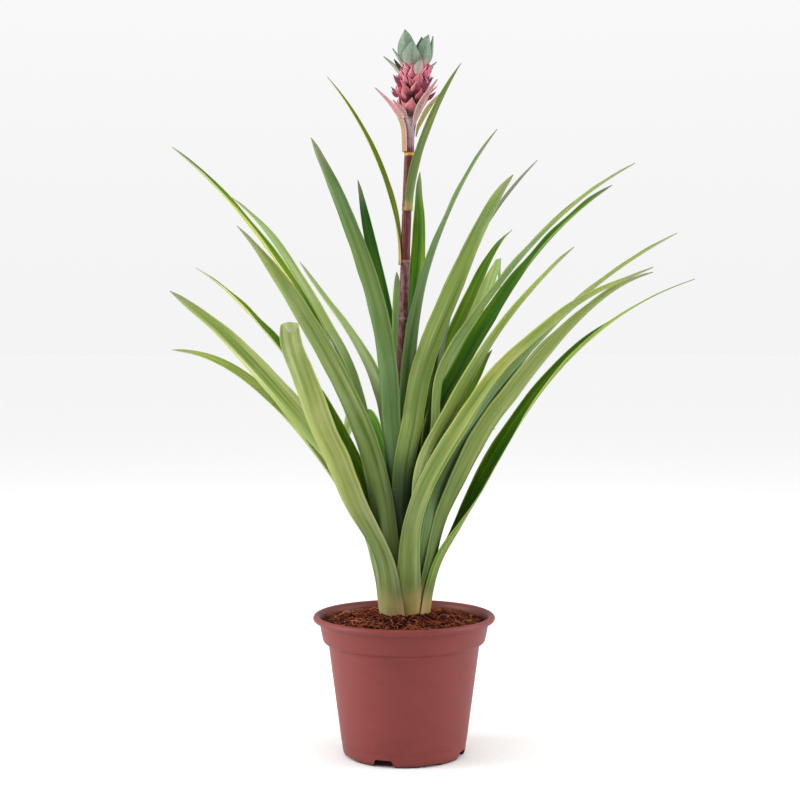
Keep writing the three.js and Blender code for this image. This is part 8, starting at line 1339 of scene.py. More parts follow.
        [7.34, -4.23, 140.15, 0.4999, 0.8661, -0.0011, -0.862, 0.4977, 0.0959, 5.12, 1.86, 1.03],
        [7.75, -4.45, 147.61, 0.4998, 0.8662, -0.0044, -0.8655, 0.4996, 0.036, 5.61, 2.04, 1.02],
        [7.85, -4.41, 156.57, 0.4998, 0.866, -0.0146, -0.8661, 0.4994, -0.0224, 6.15, 2.23, 1],
        [7.52, -3.99, 165.53, 0.5005, 0.8652, -0.0302, -0.8637, 0.4966, -0.0863, 6.66, 2.41, 0.99],
        [6.67, -3.07, 175.95, 0.5038, 0.8631, -0.0361, -0.859, 0.4962, -0.1262, 7.23, 2.61, 0.97],
        [5.81, -2.21, 186.35, 0.5247, 0.8511, -0.0167, -0.8487, 0.5215, -0.0876, 7.77, 2.8, 0.96],
        [5.18, -1.89, 198.23, 0.5642, 0.825, 0.0337, -0.8241, 0.5651, -0.0389, 8.07, 2.91, 0.94],
        [4.46, -2.26, 210.22, 0.6058, 0.792, 0.076, -0.7932, 0.6087, -0.0208, 8.07, 2.91, 0.92],
        [3.87, -3.06, 225.25, 0.6431, 0.7644, 0.0467, -0.7657, 0.6425, 0.0298, 8.07, 2.91, 0.89],
        [4.17, -3.97, 240.18, 0.6396, 0.7682, 0.0283, -0.7676, 0.6362, 0.0772, 8.07, 2.91, 0.87],
        [5.27, -5.56, 257.99, 0.59, 0.8064, 0.0396, -0.8033, 0.5813, 0.1295, 8.07, 2.91, 0.84],
        [7.13, -7.9, 275.66, 0.5145, 0.8548, 0.0675, -0.8481, 0.4957, 0.1874, 8.07, 2.91, 0.81],
        [9.85, -11.1, 293.06, 0.4414, 0.8908, 0.1079, -0.8793, 0.4054, 0.2499, 8.07, 2.91, 0.79],
        [13.56, -15.27, 310.08, 0.3548, 0.9199, 0.167, -0.9048, 0.2929, 0.3091, 7.94, 2.86, 0.76],
        [18.27, -20.44, 326.56, 0.2625, 0.9341, 0.2418, -0.9205, 0.1672, 0.3532, 7.61, 2.74, 0.73],
        [23.89, -26.54, 342.44, 0.2009, 0.9281, 0.3134, -0.9203, 0.0692, 0.3851, 7.08, 2.55, 0.7],
        [30.26, -33.52, 357.64, 0.2015, 0.9098, 0.3629, -0.9046, 0.0308, 0.4251, 6.33, 2.28, 0.67],
        [37.34, -41.38, 372.1, 0.232, 0.8862, 0.401, -0.8799, 0.0154, 0.475, 5.33, 1.92, 0.64],
        [43.79, -48.6, 383.45, 0.274, 0.8629, 0.4248, -0.8491, 0.0096, 0.5282, 4.23, 1.52, 0.62],
        [49.37, -54.83, 391.97, 0.32, 0.8434, 0.4316, -0.8157, 0.0135, 0.5783, 3.08, 1.11, 0.6],
        [53.74, -59.69, 398, 0.359, 0.8319, 0.4231, -0.7888, 0.0281, 0.614, 1.85, 0.67, 0.59],
        [56.77, -63.06, 401.99, 0.385, 0.828, 0.4077, -0.7736, 0.0486, 0.6318, 0.28, 0, 0.58],
    ],
    "leaf_back_upper": [
        [3.12, 5.88, 128.35, -0.884, 0.4671, -0.0185, -0.4649, -0.8744, 0.1386, 3.73, 1.36, 1.05],
        [3.36, 6.56, 133.84, -0.8842, 0.4666, -0.0237, -0.4664, -0.8787, 0.1021, 4.32, 1.57, 1.04],
        [3.39, 7.06, 140.58, -0.8841, 0.4656, -0.0386, -0.467, -0.8831, 0.0441, 4.87, 1.77, 1.03],
        [3.25, 7.5, 147.36, -0.8838, 0.4642, -0.0585, -0.4674, -0.8818, 0.0635, 5.35, 1.94, 1.02],
        [3.05, 8.38, 155.48, -0.8831, 0.4608, -0.0887, -0.468, -0.8785, 0.0957, 5.88, 2.13, 1],
        [2.6, 9.47, 163.63, -0.8803, 0.4547, -0.1356, -0.4668, -0.881, 0.0769, 6.38, 2.31, 0.99],
        [1.29, 10.6, 173.26, -0.8695, 0.4488, -0.2061, -0.4585, -0.8887, -0.0001, 6.94, 2.51, 0.97],
        [-0.72, 11.36, 182.91, -0.864, 0.4623, -0.1995, -0.4681, -0.8835, -0.0199, 7.47, 2.69, 0.96],
        [-1.59, 12.76, 193.43, -0.8553, 0.5154, -0.0542, -0.5144, -0.8342, 0.1986, 7.77, 2.8, 0.94],
        [0.18, 15.06, 204.26, -0.816, 0.5756, 0.0536, -0.544, -0.7959, 0.2658, 7.77, 2.8, 0.92],
        [2.32, 18.78, 218.27, -0.8146, 0.5556, -0.1666, -0.5748, -0.7303, 0.3693, 7.77, 2.8, 0.89],
        [3.08, 26.23, 229.93, -0.7897, 0.5123, -0.3376, -0.612, -0.6186, 0.4928, 7.77, 2.8, 0.87],
        [3.79, 34.49, 243.74, -0.7106, 0.6526, -0.2631, -0.7021, -0.6331, 0.3259, 7.77, 2.8, 0.84],
        [4.61, 40.53, 258.82, -0.6315, 0.7389, -0.235, -0.7733, -0.5782, 0.2601, 7.77, 2.8, 0.81],
        [5.65, 45.92, 274.21, -0.6025, 0.7706, -0.2079, -0.7949, -0.556, 0.2428, 7.76, 2.8, 0.79],
        [6.96, 50.63, 289.78, -0.6519, 0.7445, -0.1438, -0.7531, -0.6136, 0.2373, 7.64, 2.75, 0.76],
        [8.52, 54.45, 305.58, -0.7326, 0.6774, -0.0663, -0.6731, -0.7066, 0.2185, 7.32, 2.64, 0.73],
        [10.13, 57.42, 321.56, -0.7964, 0.6041, -0.0284, -0.598, -0.7797, 0.1857, 6.81, 2.45, 0.7],
        [11.29, 60.02, 337.64, -0.8131, 0.5795, -0.0562, -0.5804, -0.7992, 0.1564, 6.09, 2.19, 0.67],
        [11.58, 62.76, 353.73, -0.8041, 0.5842, -0.1101, -0.5944, -0.7922, 0.1385, 5.12, 1.84, 0.64],
        [11.35, 65.26, 367.11, -0.7833, 0.6071, -0.1337, -0.6213, -0.7716, 0.1363, 4.07, 1.47, 0.62],
        [11.18, 67.36, 377.8, -0.7556, 0.6414, -0.1329, -0.655, -0.7419, 0.1433, 2.96, 1.07, 0.6],
        [11.2, 68.95, 385.75, -0.7265, 0.6751, -0.1285, -0.6871, -0.7111, 0.1491, 1.78, 0.64, 0.59],
        [11.27, 70.03, 391.14, -0.7023, 0.6999, -0.1301, -0.7117, -0.6866, 0.1483, 0.28, 0, 0.58],
    ],
    "leaf_inner_young": [
        [-4.73, 2.51, 130, -0.4691, -0.8831, 0.0033, 0.8766, -0.4661, -0.1195, 3.73, 1.36, 1.05],
        [-4.35, 2.33, 133.82, -0.469, -0.8832, 0.0052, 0.8803, -0.4679, -0.0789, 4.18, 1.52, 1.04],
        [-4.19, 2.28, 138.52, -0.4689, -0.8832, 0.0106, 0.8833, -0.4689, 0.0013, 4.6, 1.67, 1.03],
        [-4.21, 2.37, 143.25, -0.4689, -0.8831, 0.0175, 0.8832, -0.4688, 0.0126, 4.96, 1.81, 1.02],
        [-4.19, 2.5, 148.92, -0.4689, -0.8829, 0.0256, 0.8832, -0.4689, 0.0059, 5.37, 1.95, 1],
        [-4.17, 2.68, 154.6, -0.4689, -0.8827, 0.0314, 0.8833, -0.4686, 0.0159, 5.75, 2.09, 0.99],
        [-4.15, 2.9, 161.22, -0.4691, -0.8827, 0.0273, 0.8831, -0.4692, 0.004, 6.18, 2.24, 0.97],
        [-4.04, 2.95, 167.84, -0.4718, -0.8817, -0.0066, 0.8814, -0.4714, -0.0285, 6.58, 2.38, 0.96],
        [-3.95, 2.52, 175.43, -0.4766, -0.8751, -0.0842, 0.8791, -0.4754, -0.0357, 6.81, 2.46, 0.94],
        [-4.2, 1.7, 183.16, -0.4817, -0.8704, -0.1018, 0.8752, -0.4837, -0.006, 6.81, 2.46, 0.92],
        [-4.25, 1.66, 193.17, -0.489, -0.8634, 0.1245, 0.8715, -0.4899, 0.0224, 6.81, 2.45, 0.89],
        [-4.16, 4.2, 202.5, -0.4943, -0.8224, 0.2818, 0.867, -0.443, 0.2282, 6.81, 2.45, 0.87],
        [-4.94, 7.29, 213.16, -0.4933, -0.861, 0.1242, 0.8693, -0.4828, 0.1053, 6.81, 2.45, 0.84],
        [-5.04, 8.61, 224.4, -0.5038, -0.8592, 0.0891, 0.8638, -0.5009, 0.0536, 6.81, 2.45, 0.81],
        [-5.05, 9.8, 235.69, -0.5203, -0.8493, 0.0894, 0.854, -0.5174, 0.0555, 6.81, 2.45, 0.79],
        [-5.06, 10.99, 246.98, -0.5672, -0.8191, 0.086, 0.8236, -0.5641, 0.0598, 6.7, 2.41, 0.76],
        [-5.06, 12.17, 258.28, -0.639, -0.7652, 0.0785, 0.7692, -0.6357, 0.0649, 6.42, 2.31, 0.73],
        [-5.05, 13.3, 269.58, -0.7131, -0.6977, 0.0684, 0.701, -0.7099, 0.068, 5.97, 2.15, 0.7],
        [-5.03, 14.35, 280.88, -0.7732, -0.6315, 0.0579, 0.6341, -0.7703, 0.0671, 5.34, 1.92, 0.67],
        [-5, 15.3, 292.2, -0.825, -0.5632, 0.0472, 0.5652, -0.8226, 0.0625, 4.49, 1.62, 0.64],
        [-4.96, 15.99, 301.63, -0.8641, -0.5019, 0.0383, 0.5033, -0.8623, 0.0561, 3.57, 1.28, 0.62],
        [-4.92, 16.47, 309.19, -0.8924, -0.45, 0.0318, 0.4511, -0.8911, 0.0496, 2.59, 0.93, 0.6],
        [-4.88, 16.78, 314.82, -0.9118, -0.4096, 0.0278, 0.4105, -0.9107, 0.0457, 1.56, 0.56, 0.59],
        [-4.86, 16.98, 318.64, -0.9238, -0.3819, 0.026, 0.3827, -0.9228, 0.0451, 0.28, 0, 0.58],
    ],
}
STALK_LEAVES = {
    "stalk_leaf_left": [
        [-3.28, 0.02, 322.51, -0.0345, -0.9994, 0.0081, 0.9981, -0.0349, -0.0512, 3, 1.4, 0.84],
        [-3.09, 0.22, 328.21, -0.1044, -0.9919, 0.0729, 0.9945, -0.1044, 0.0031, 3.12, 1.4, 0.83],
        [-3.22, 0.83, 333.87, -0.1809, -0.9753, 0.1265, 0.9824, -0.1729, 0.0713, 3.24, 1.33, 0.83],
        [-3.77, 2.02, 340.88, -0.2786, -0.9475, 0.1569, 0.9546, -0.2553, 0.1533, 3.36, 1.23, 0.82],
        [-4.93, 3.83, 349.16, -0.3867, -0.9106, 0.1461, 0.9076, -0.3477, 0.2352, 3.48, 1.25, 0.81],
        [-6.85, 6.07, 358.69, -0.4918, -0.866, 0.0907, 0.8426, -0.447, 0.3004, 3.62, 1.3, 0.81],
        [-9.68, 8.62, 369.44, -0.5157, -0.8553, 0.0507, 0.8113, -0.4684, 0.3499, 3.67, 1.32, 0.78],
        [-13.1, 11.13, 380.02, -0.5092, -0.8603, 0.0257, 0.7975, -0.4604, 0.3899, 3.61, 1.3, 0.74],
        [-17.03, 13.61, 390.43, -0.502, -0.8648, 0.005, 0.784, -0.4527, 0.4247, 3.55, 1.28, 0.7],
        [-22, 16.4, 401.93, -0.4934, -0.8697, -0.0144, 0.7672, -0.4429, 0.4639, 3.32, 1.2, 0.66],
        [-27.55, 19.22, 413.15, -0.4845, -0.8743, -0.0301, 0.7479, -0.4318, 0.5042, 2.88, 1.04, 0.61],
        [-33.64, 22.11, 424.06, -0.4758, -0.8786, -0.0419, 0.7259, -0.4191, 0.5454, 2.44, 0.88, 0.56],
        [-39.52, 24.77, 433.47, -0.4685, -0.8821, -0.0493, 0.7039, -0.4064, 0.5825, 1.8, 0.65, 0.52],
        [-45.01, 27.19, 441.44, -0.4627, -0.8849, -0.0534, 0.6828, -0.3942, 0.6152, 1.11, 0.4, 0.49],
        [-49.12, 28.99, 446.98, -0.4591, -0.8867, -0.0551, 0.6665, -0.3848, 0.6385, 0.59, 0.21, 0.46],
        [-51.66, 30.1, 450.24, -0.4576, -0.8874, -0.0555, 0.6585, -0.3802, 0.6495, 0.25, 0.05, 0.45],
    ],
    "stalk_leaf_right": [
        [3.62, -3.36, 357.51, 0.8828, 0.4693, -0.021, -0.4695, 0.8829, -0.0011, 3, 1.4, 0.84],
        [3.76, -3.41, 361.59, 0.8593, 0.511, -0.0231, -0.5088, 0.8584, 0.0653, 3.12, 1.43, 0.83],
        [4.06, -3.72, 365.65, 0.834, 0.5513, -0.0198, -0.5437, 0.8276, 0.1396, 3.24, 1.41, 0.83],
        [4.65, -4.44, 370.67, 0.8014, 0.5981, -0.0085, -0.5817, 0.7825, 0.222, 3.45, 1.37, 0.82],
        [5.66, -5.71, 376.57, 0.7617, 0.6478, 0.0122, -0.6201, 0.7233, 0.3039, 3.75, 1.37, 0.81],
        [7.18, -7.63, 383.28, 0.7152, 0.6977, 0.0412, -0.6581, 0.6524, 0.3758, 4.1, 1.48, 0.81],
        [9.28, -10.23, 390.73, 0.6608, 0.7468, 0.075, -0.697, 0.5734, 0.4306, 4.27, 1.54, 0.78],
        [11.7, -13.07, 397.99, 0.6234, 0.7765, 0.0916, -0.7166, 0.5207, 0.464, 4.2, 1.51, 0.74],
        [14.37, -15.97, 405.14, 0.619, 0.7818, 0.0748, -0.7083, 0.5146, 0.4832, 4.13, 1.49, 0.7],
        [17.6, -19.12, 413.14, 0.6093, 0.7914, 0.049, -0.7041, 0.5115, 0.4926, 3.86, 1.39, 0.66],
        [21.08, -22.16, 421.08, 0.6022, 0.7978, 0.0305, -0.6945, 0.5046, 0.513, 3.35, 1.2, 0.61],
        [24.85, -25.23, 428.88, 0.5987, 0.8007, 0.0211, -0.6781, 0.4927, 0.5454, 2.84, 1.02, 0.56],
        [28.45, -28.1, 435.62, 0.5993, 0.8003, 0.0202, -0.6574, 0.4776, 0.5829, 2.09, 0.75, 0.52],
        [31.81, -30.78, 441.32, 0.6032, 0.7972, 0.0244, -0.6343, 0.4608, 0.6207, 1.29, 0.46, 0.49],
        [34.33, -32.83, 445.26, 0.6079, 0.7934, 0.0298, -0.6151, 0.4469, 0.6496, 0.67, 0.24, 0.46],
        [35.88, -34.12, 447.57, 0.6107, 0.7911, 0.0328, -0.6053, 0.4398, 0.6634, 0.25, 0.05, 0.45],
    ],
}


# ---------------------------------------------------------------- leaves
# name: tint, edge wave in mm, cross-section power
LEAF_LOOKS = {
    "leaf_front_left_arching": ((1.25, 1.01, 0.93), 0.55, 2.2),
    "leaf_right_lowest": ((1.08, 1.02, 0.33), 0.45, 2),
    "leaf_left_lowest": ((1.37, 1.19, 0.74), 0.5, 2),
    "leaf_front_right_low": ((1.40, 1.13, 0.90), 0.45, 2),
    "leaf_back_low": ((1.16, 1.05, 0.90), 0.45, 2),
    "leaf_right_front_low": ((0.89, 0.78, 0.56), 0.5, 2.1),
    "leaf_left_front_low": ((1.29, 1.08, 0.91), 0.45, 2),
    "leaf_back_left_low": ((1.16, 1.05, 0.90), 0.45, 2),
    "leaf_left_back_low": ((2.30, 1.50, 2.00), 0.45, 2),
    "leaf_right_long": ((1.23, 1.03, 0.89), 0.45, 2),
    "leaf_right_front_short": ((0.72, 0.75, 0.84), 0.45, 2),
    "leaf_back_right_low": ((1.16, 1.05, 0.90), 0.45, 2),
    "leaf_left_front_mid": ((1.04, 0.91, 0.87), 0.4, 2.1),
    "leaf_left_long": ((1.96, 1.39, 1.54), 0.45, 2),
    "leaf_back_right_short": ((2.10, 1.50, 2.00), 0.45, 2),
    "leaf_front_right_mid": ((1.62, 1.35, 1.19), 0.45, 2),
    "leaf_right_front_long": ((1.43, 1.24, 1.18), 0.45, 2),
    "leaf_left_back_mid": ((1.41, 1.31, 1.46), 0.45, 1.9),
    "leaf_right_back_long": ((0.82, 0.80, 0.30), 0.45, 2),
    "leaf_back_left_mid": ((1.67, 1.41, 2.00), 0.45, 2),
    "leaf_back_right_arching": ((1.15, 1.09, 1.12), 0.45, 2),
    "leaf_right_upper": ((0.60, 0.53, 0.92), 0.45, 2),
    "leaf_back_right_mid": ((1.22, 0.94, 0.30), 0.45, 2),
    "leaf_front_upper": ((1.04, 0.93, 0.71), 0.45, 2.1),
    "leaf_back_left_upper": ((0.32, 0.46, 0.30), 0.45, 2),
    "leaf_front_left_upper": ((0.48, 0.57, 0.51), 0.4, 1.9),
    "leaf_front_right_upper": ((0.80, 0.85, 1.00), 0.45, 2),
    "leaf_back_upper": ((1.30, 0.97, 0.45), 0.35, 2),
    "leaf_inner_young": ((2.00, 2.00, 1.91), 0.3, 2),
    "stalk_leaf_left": ((2.20, 1.10, 1.00), 0.2, 2),
    "stalk_leaf_right": ((0.64, 0.61, 0.54), 0.2, 2),
}
# these are as pale above as they are below
PALE = {"leaf_left_back_mid", "leaf_back_left_mid", "leaf_left_lowest", "leaf_back_right_arching", "leaf_inner_young", "leaf_front_left_arching"}
for number, (node, rows) in enumerate({**LEAVES, **STALK_LEAVES}.items()):
    tone, wave, power = LEAF_LOOKS[node]
    at = LEAF_AT if node in LEAVES else STALK_AT
    s = Shape()
    run = sum(math.dist(a[:3], b[:3]) for a, b in zip(rows, rows[1:]))
    if node == "leaf_right_lowest":  # its last third narrows to a thin tail
        rows = np.array(rows, float)
        k = np.clip((np.asarray(at, float) - 0.7) / 0.14, 0, 1)
        k = k * k * (3 - 2 * k)
        rows[:, 9] *= 1 - 0.42 * k
        rows[:, 10] *= 1 - 0.75 * k
    steps = int(min(118, max(56, run / 3.0)))
    strap(s, at, rows, steps, 23 if node in LEAVES else 15, number + 1, tone, wave, 0.055, 0.35, power)
    s.object(node + "_blade", [UNDER if node in PALE else UPPER, UNDER, MARGIN], "leaf", [node])

# ---------------------------------------------------------------- pot
pot = Shape()
profile = [
    (0, 0.45), (12, 0.45), (22, 0.45), (29.5, 0.45), (30.0, 0.3), (30.4, 0.0), (34, 0.0), (37.7, 0.0), (38.5, 0.12), (39.2, 0.5), (39.8, 1.1), (40.2, 1.9), (40.5, 2.9),
    (40.75, 4.2), (40.95, 6.4), (41.12, 8.4), (41.2, 8.8), (41.42, 9.1), (41.55, 9.5),
]
for k in range(1, 15):
    profile.append((41.55 + (49.66 - 41.55) * k / 15, 9.5 + (71.3 - 9.5) * k / 15))
profile += [
    (49.66, 71.3), (49.76, 72.1), (50.02, 72.75), (50.5, 73.3), (51.2, 73.75), (52.0, 74.2), (52.75, 74.75), (53.3, 75.45), (53.62, 76.2), (53.82, 77.1),
    (54.35, 79.6), (54.9, 82.2), (55.25, 84.3), (55.48, 86.0), (55.6, 86.8), (55.78, 87.5), (56.1, 88.05),
]
for k in range(15):
    a = math.radians(-128 + k * 20)
    profile.append((57.9 + 2.1 * math.cos(a), 90.2 + 2.1 * math.sin(a)))
profile += [
    (55.6, 90.7), (55.2, 89.9), (54.8, 88.8), (54.4, 87.2), (53.65, 82.2), (53.1, 79.6), (52.6, 77.4), (52.3, 76.5), (51.75, 75.8), (50.9, 75.2), (50.0, 74.7), (49.2, 74.1),
    (48.7, 73.3), (48.42, 72.2), (45.7, 51.0), (43.0, 30.0), (40.3, 9.2), (39.95, 6.5), (39.55, 4.4), (39.0, 2.6), (38.2, 1.8), (37.4, 1.6), (25, 1.6), (12, 1.6), (0, 1.6),
]


def not_quite_round(r, z, a):
    k = 0.0009 * math.sin(2 * a + 0.6) + 0.0005 * math.sin(3 * a + 1.9)
    return r * (1 + k * min(1.0, z / 60)), z


turned(pot, profile, 192, wobble=not_quite_round)
pot_mesh = bpy.data.meshes.new("pot_blank")
pot_mesh.from_pydata((np.vstack(pot.points) * MM).tolist(), [], pot.faces)
blank = bpy.data.objects.new("pot_blank", pot_mesh)
cutters = bmesh.new()
for k in range(8):
    w, h = 14.5, (5.0 if k % 2 == 0 else 1.7)
    az = math.radians(70.5 + 45 * k)
    out, side = Vector((math.cos(az), math.sin(az), 0)), Vector((-math.sin(az), math.cos(az), 0))
    edge = [(-w / 2, -3.0), (w / 2, -3.0), (w / 2, 0.0), (w / 2 - h * 0.2, h * 0.62), (w / 2 - h * 0.3, h * 0.88), (w / 2 - h * 0.45, h), (-w / 2 + h * 0.45, h), (-w / 2 + h * 0.3, h * 0.88), (-w / 2 + h * 0.2, h * 0.62), (-w / 2, 0.0)]
    near = [cutters.verts.new((out * 34.5 + side * x + Vector((0, 0, z))) * MM) for x, z in edge]
    far = [cutters.verts.new((out * 43.5 + side * x + Vector((0, 0, z))) * MM) for x, z in edge]
    cutters.faces.new(near[::-1])
    cutters.faces.new(far)
    for i in range(len(edge)):
        j = (i + 1) % len(edge)
        cutters.faces.new((near[i], near[j], far[j], far[i]))
bmesh.ops.recalc_face_normals(cutters, faces=cutters.faces[:])
cut_mesh = bpy.data.meshes.new("notch_blank")
cutters.to_mesh(cut_mesh)
cutters.free()
cutter = bpy.data.objects.new("notch_blank", cut_mesh)
for o in (blank, cutter):
    bpy.context.scene.collection.objects.link(o)
b = blank.modifiers.new("cut", "BOOLEAN")
b.operation, b.solver, b.object = "DIFFERENCE", "EXACT", cutter
bpy.context.view_layer.update()
done = bpy.data.meshes.new_from_object(blank.evaluated_get(bpy.context.evaluated_depsgraph_get()))
for o in (blank, cutter):
    bpy.data.objects.remove(o)
done.name = "pot_moulded"
done.materials.clear()
done.materials.append(POT)
done.polygons.foreach_set("use_smooth", np.ones(len(done.polygons), bool))
done.polygons.foreach_set("material_index", np.zeros(len(done.polygons), dtype=np.int32))
done.set_sharp_from_angle(angle=math.radians(50))
pot_object = bpy.data.objects.new("pot_moulded", done)
bpy.context.scene.collection.objects.link(pot_object)
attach(pot_object, "root")
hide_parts("pot")

# ---------------------------------------------------------------- compost
SOIL = [(15.0, 93.3), (18, 93.3), (20, 93.0), (25, 91.9), (33, 90.2), (42, 88.7), (50, 87.5), (53.9, 86.9)]


def soil_height(x, y):
    r = math.hypot(x, y)
    z = float(np.interp(r, [p[0] for p in SOIL], [p[1] for p in SOIL]))
    p = Vector((x, y, 0.0))
    z += 0.9 * noise.fractal(p * 0.09, 1.0, 2.0, 3) + 0.62 * noise.fractal(p * 0.33 + Vector((7, 3, 1)), 0.9, 2.1, 4)
    z += 0.38 * noise.noise(p * 1.3 + Vector((2, 9, 4)))
    return min(z, 94.6)


soil = Shape()
rings, spokes = [54.1, 53.3], 260
r = 52.4
while r > 15.2:
    rings.append(r)
    r -= 0.78
soil_profile = [(0, 1.9), (20, 1.9), (38.0, 1.95), (38.9, 3.0), (39.25, 4.6), (40.0, 9.4), (42.7, 30.0), (45.4, 51.0), (48.1, 72.3), (48.5, 73.9), (51.2, 76.0), (52.2, 77.4), (53.3, 82.3), (53.8, 84.2)]
soil_profile += [(q, -1.0) for q in rings] + [(14.9, 90.0), (14.6, 85.0), (14.3, 76.0), (11.8, 70.2), (7.5, 67.4), (0, 66.6)]


def rough_ground(r, z, a):
    if z >= 0:
        return r, z
    return r, soil_height(r * math.cos(a), r * math.sin(a))


turned(soil, soil_profile, spokes, wobble=rough_ground)
soil.object("compost_mound", [COMPOST], "compost", ["compost"])

rng = random.Random(41)
crumbs = Shape()
base = bmesh.new()
bmesh.ops.create_icosphere(base, subdivisions=2, radius=1.0)
ball = np.array([v.co[:] for v in base.verts])
ball_faces = [tuple(v.index for v in f.verts) for f in base.faces]
base.free()
for k in range(620):
    r = 16.4 + 36.6 * math.sqrt(rng.random()) if k > 60 else rng.uniform(16.2, 18.6)
    a = rng.uniform(0, 2 * math.pi)
    x, y = r * math.cos(a), r * math.sin(a)
    size = rng.uniform(0.45, 1.35) if rng.random() < 0.86 else rng.uniform(1.3, 2.1)
    r_most = 53.0 - size * 1.2
    if r > r_most:
        x, y = x * r_most / r, y * r_most / r
    squeeze = np.array([rng.uniform(0.75, 1.3), rng.uniform(0.7, 1.2), rng.uniform(0.5, 0.85)])
    turn = rng.uniform(0, 6.3)
    shift = Vector((rng.uniform(0, 90), rng.uniform(0, 90), rng.uniform(0, 90)))
    lump = np.array([1 + 0.42 * noise.fractal(Vector(p) * 1.3 + shift, 0.9, 2.0, 3) for p in ball])
    q = ball * lump[:, None] * squeeze * size
    c, s_ = math.cos(turn), math.sin(turn)
    q = np.stack([q[:, 0] * c - q[:, 1] * s_, q[:, 0] * s_ + q[:, 1] * c, q[:, 2]], axis=1)
    q = q + np.array([x, y, soil_height(x, y) + size * 0.12])
    crumbs.put(q, ball_faces, 0, tone=(0.5 * max(0, rng.random() - 0.55), 0, 0.7 * max(0, rng.random() - 0.4)))
crumbs.object("compost_crumbs", [CRUMB], "compost")

fibres = Shape()
for k in range(1750):
    r = 17.0 + 36.0 * math.sqrt(rng.random()) if k > 90 else rng.uniform(16.9, 19.5)
    a = rng.uniform(0, 2 * math.pi)
    x, y = r * math.cos(a), r * math.sin(a)
    long_ = rng.random() < 0.2
    length = rng.uniform(8, 19) if long_ else rng.uniform(2.5, 8)
    head, bend = rng.uniform(0, 2 * math.pi), rng.uniform(-0.14, 0.14)
    lift = rng.uniform(0.0, 0.75) if not long_ else rng.uniform(0.3, 1.6)
    end_up = rng.choice([0, 0, 0, rng.uniform(0, 1.7)])
    n = 6 if not long_ else 9
    path, ok = [], True
    for i in range(n):
        f = i / (n - 1)
        rr = math.hypot(x, y)
        if rr > 52.9 or rr < 16.6:
            k_ = (52.9 if rr > 52.9 else 16.6) / rr
            x, y = x * k_, y * k_
        path.append((x, y, soil_height(x, y) + 0.12 + lift * math.sin(math.pi * f) + end_up * f * f))
        head += bend + rng.uniform(-0.25, 0.25)
        x += math.cos(head) * length / (n - 1)
        y += math.sin(head) * length / (n - 1)
    thick = rng.uniform(0.09, 0.2) if rng.random() < 0.72 else rng.uniform(0.2, 0.42)
    radii = [thick * (1 - 0.55 * abs(2 * i / (n - 1) - 1) ** 2) for i in range(n)]
    tube(fibres, path, radii, 4 if thick < 0.2 else 5, seed=k, tone=(max(0, rng.gauss(0.3, 0.35)), 0, max(0, rng.gauss(0.1, 0.3))))
fibres.object("compost_fibres", [FIBRE], "compost")

# ---------------------------------------------------------------- stem and stalk
stem = Shape()
stem_profile = [(0, 67.2), (7.2, 68.0), (11.3, 70.8), (13.0, 76.2)]
z = 78.0
while z < 130.5:
    r = float(np.interp(z, [76, 84, 90, 100, 115, 130.6], [13.0, 13.0, 12.1, 9.7, 6.3, 3.9]))
    stem_profile += [(r, z), (r - 0.22, z + 0.5), (r - 0.05, z + 1.0)]
    z += 2.1
stem_profile += [(3.0, 131.2), (0, 131.2)]
turned(stem, stem_profile, 64, wobble=lambda r, z, a: (r * (1 + 0.012 * math.sin(9 * a + z)), z + 0.5 * math.sin(3 * a + z * 0.4) * min(1, r / 6)))
stem.object("stem_core", [STEM], "stem", ["stem_base"])

STALK_LINE = [(0, 131.8), (-0.7, 175), (-1.3, 222), (-1.4, 263), (0, 300), (0.9, 332), (1.9, 360), (3.2, 395), (4.0, 418.4)]
NODES_AT = (287.0, 324.5, 359.0, 394.5)
stalk = Shape()
line = np.array([[x, 0.0, z] for x, z in STALK_LINE])
zs = sorted(set([round(v, 2) for v in np.linspace(131.8, 418.4, 150)] + [n + d for n in NODES_AT for d in (-1.6, -1.0, -0.6, -0.25, 0.1, 0.45, 0.9, 1.6, 2.6)]))
path = smooth_rows(line[:, 2], line, np.array(zs))
radii = []
for q in path:
    flare = np.clip((q[2] - 407) / 11.4, 0, 1)
    r = 3.1 + 1.15 * flare * flare * (3 - 2 * flare)
    for n in NODES_AT:
        d = q[2] - n
        r += 0.34 * math.exp(-((d / 0.7) ** 2)) + 0.16 * math.exp(-(((d - 2.4) / 2.2) ** 2)) - 0.14 * math.exp(-(((d + 2.2) / 1.4) ** 2))
    radii.append(float(r))
tube(stalk, path, radii, 40, lumps=lambda k, a, l: 1 + 0.022 * math.sin(7 * a + l * 0.012) + 0.013 * math.sin(13 * a - l * 0.03 + 1.0) + 0.01 * noise.noise(Vector((math.cos(a) * 2, math.sin(a) * 2, l * 0.12))))
stalk.object("stalk_rod", [STALK], "stalk", ["flower_stalk"])

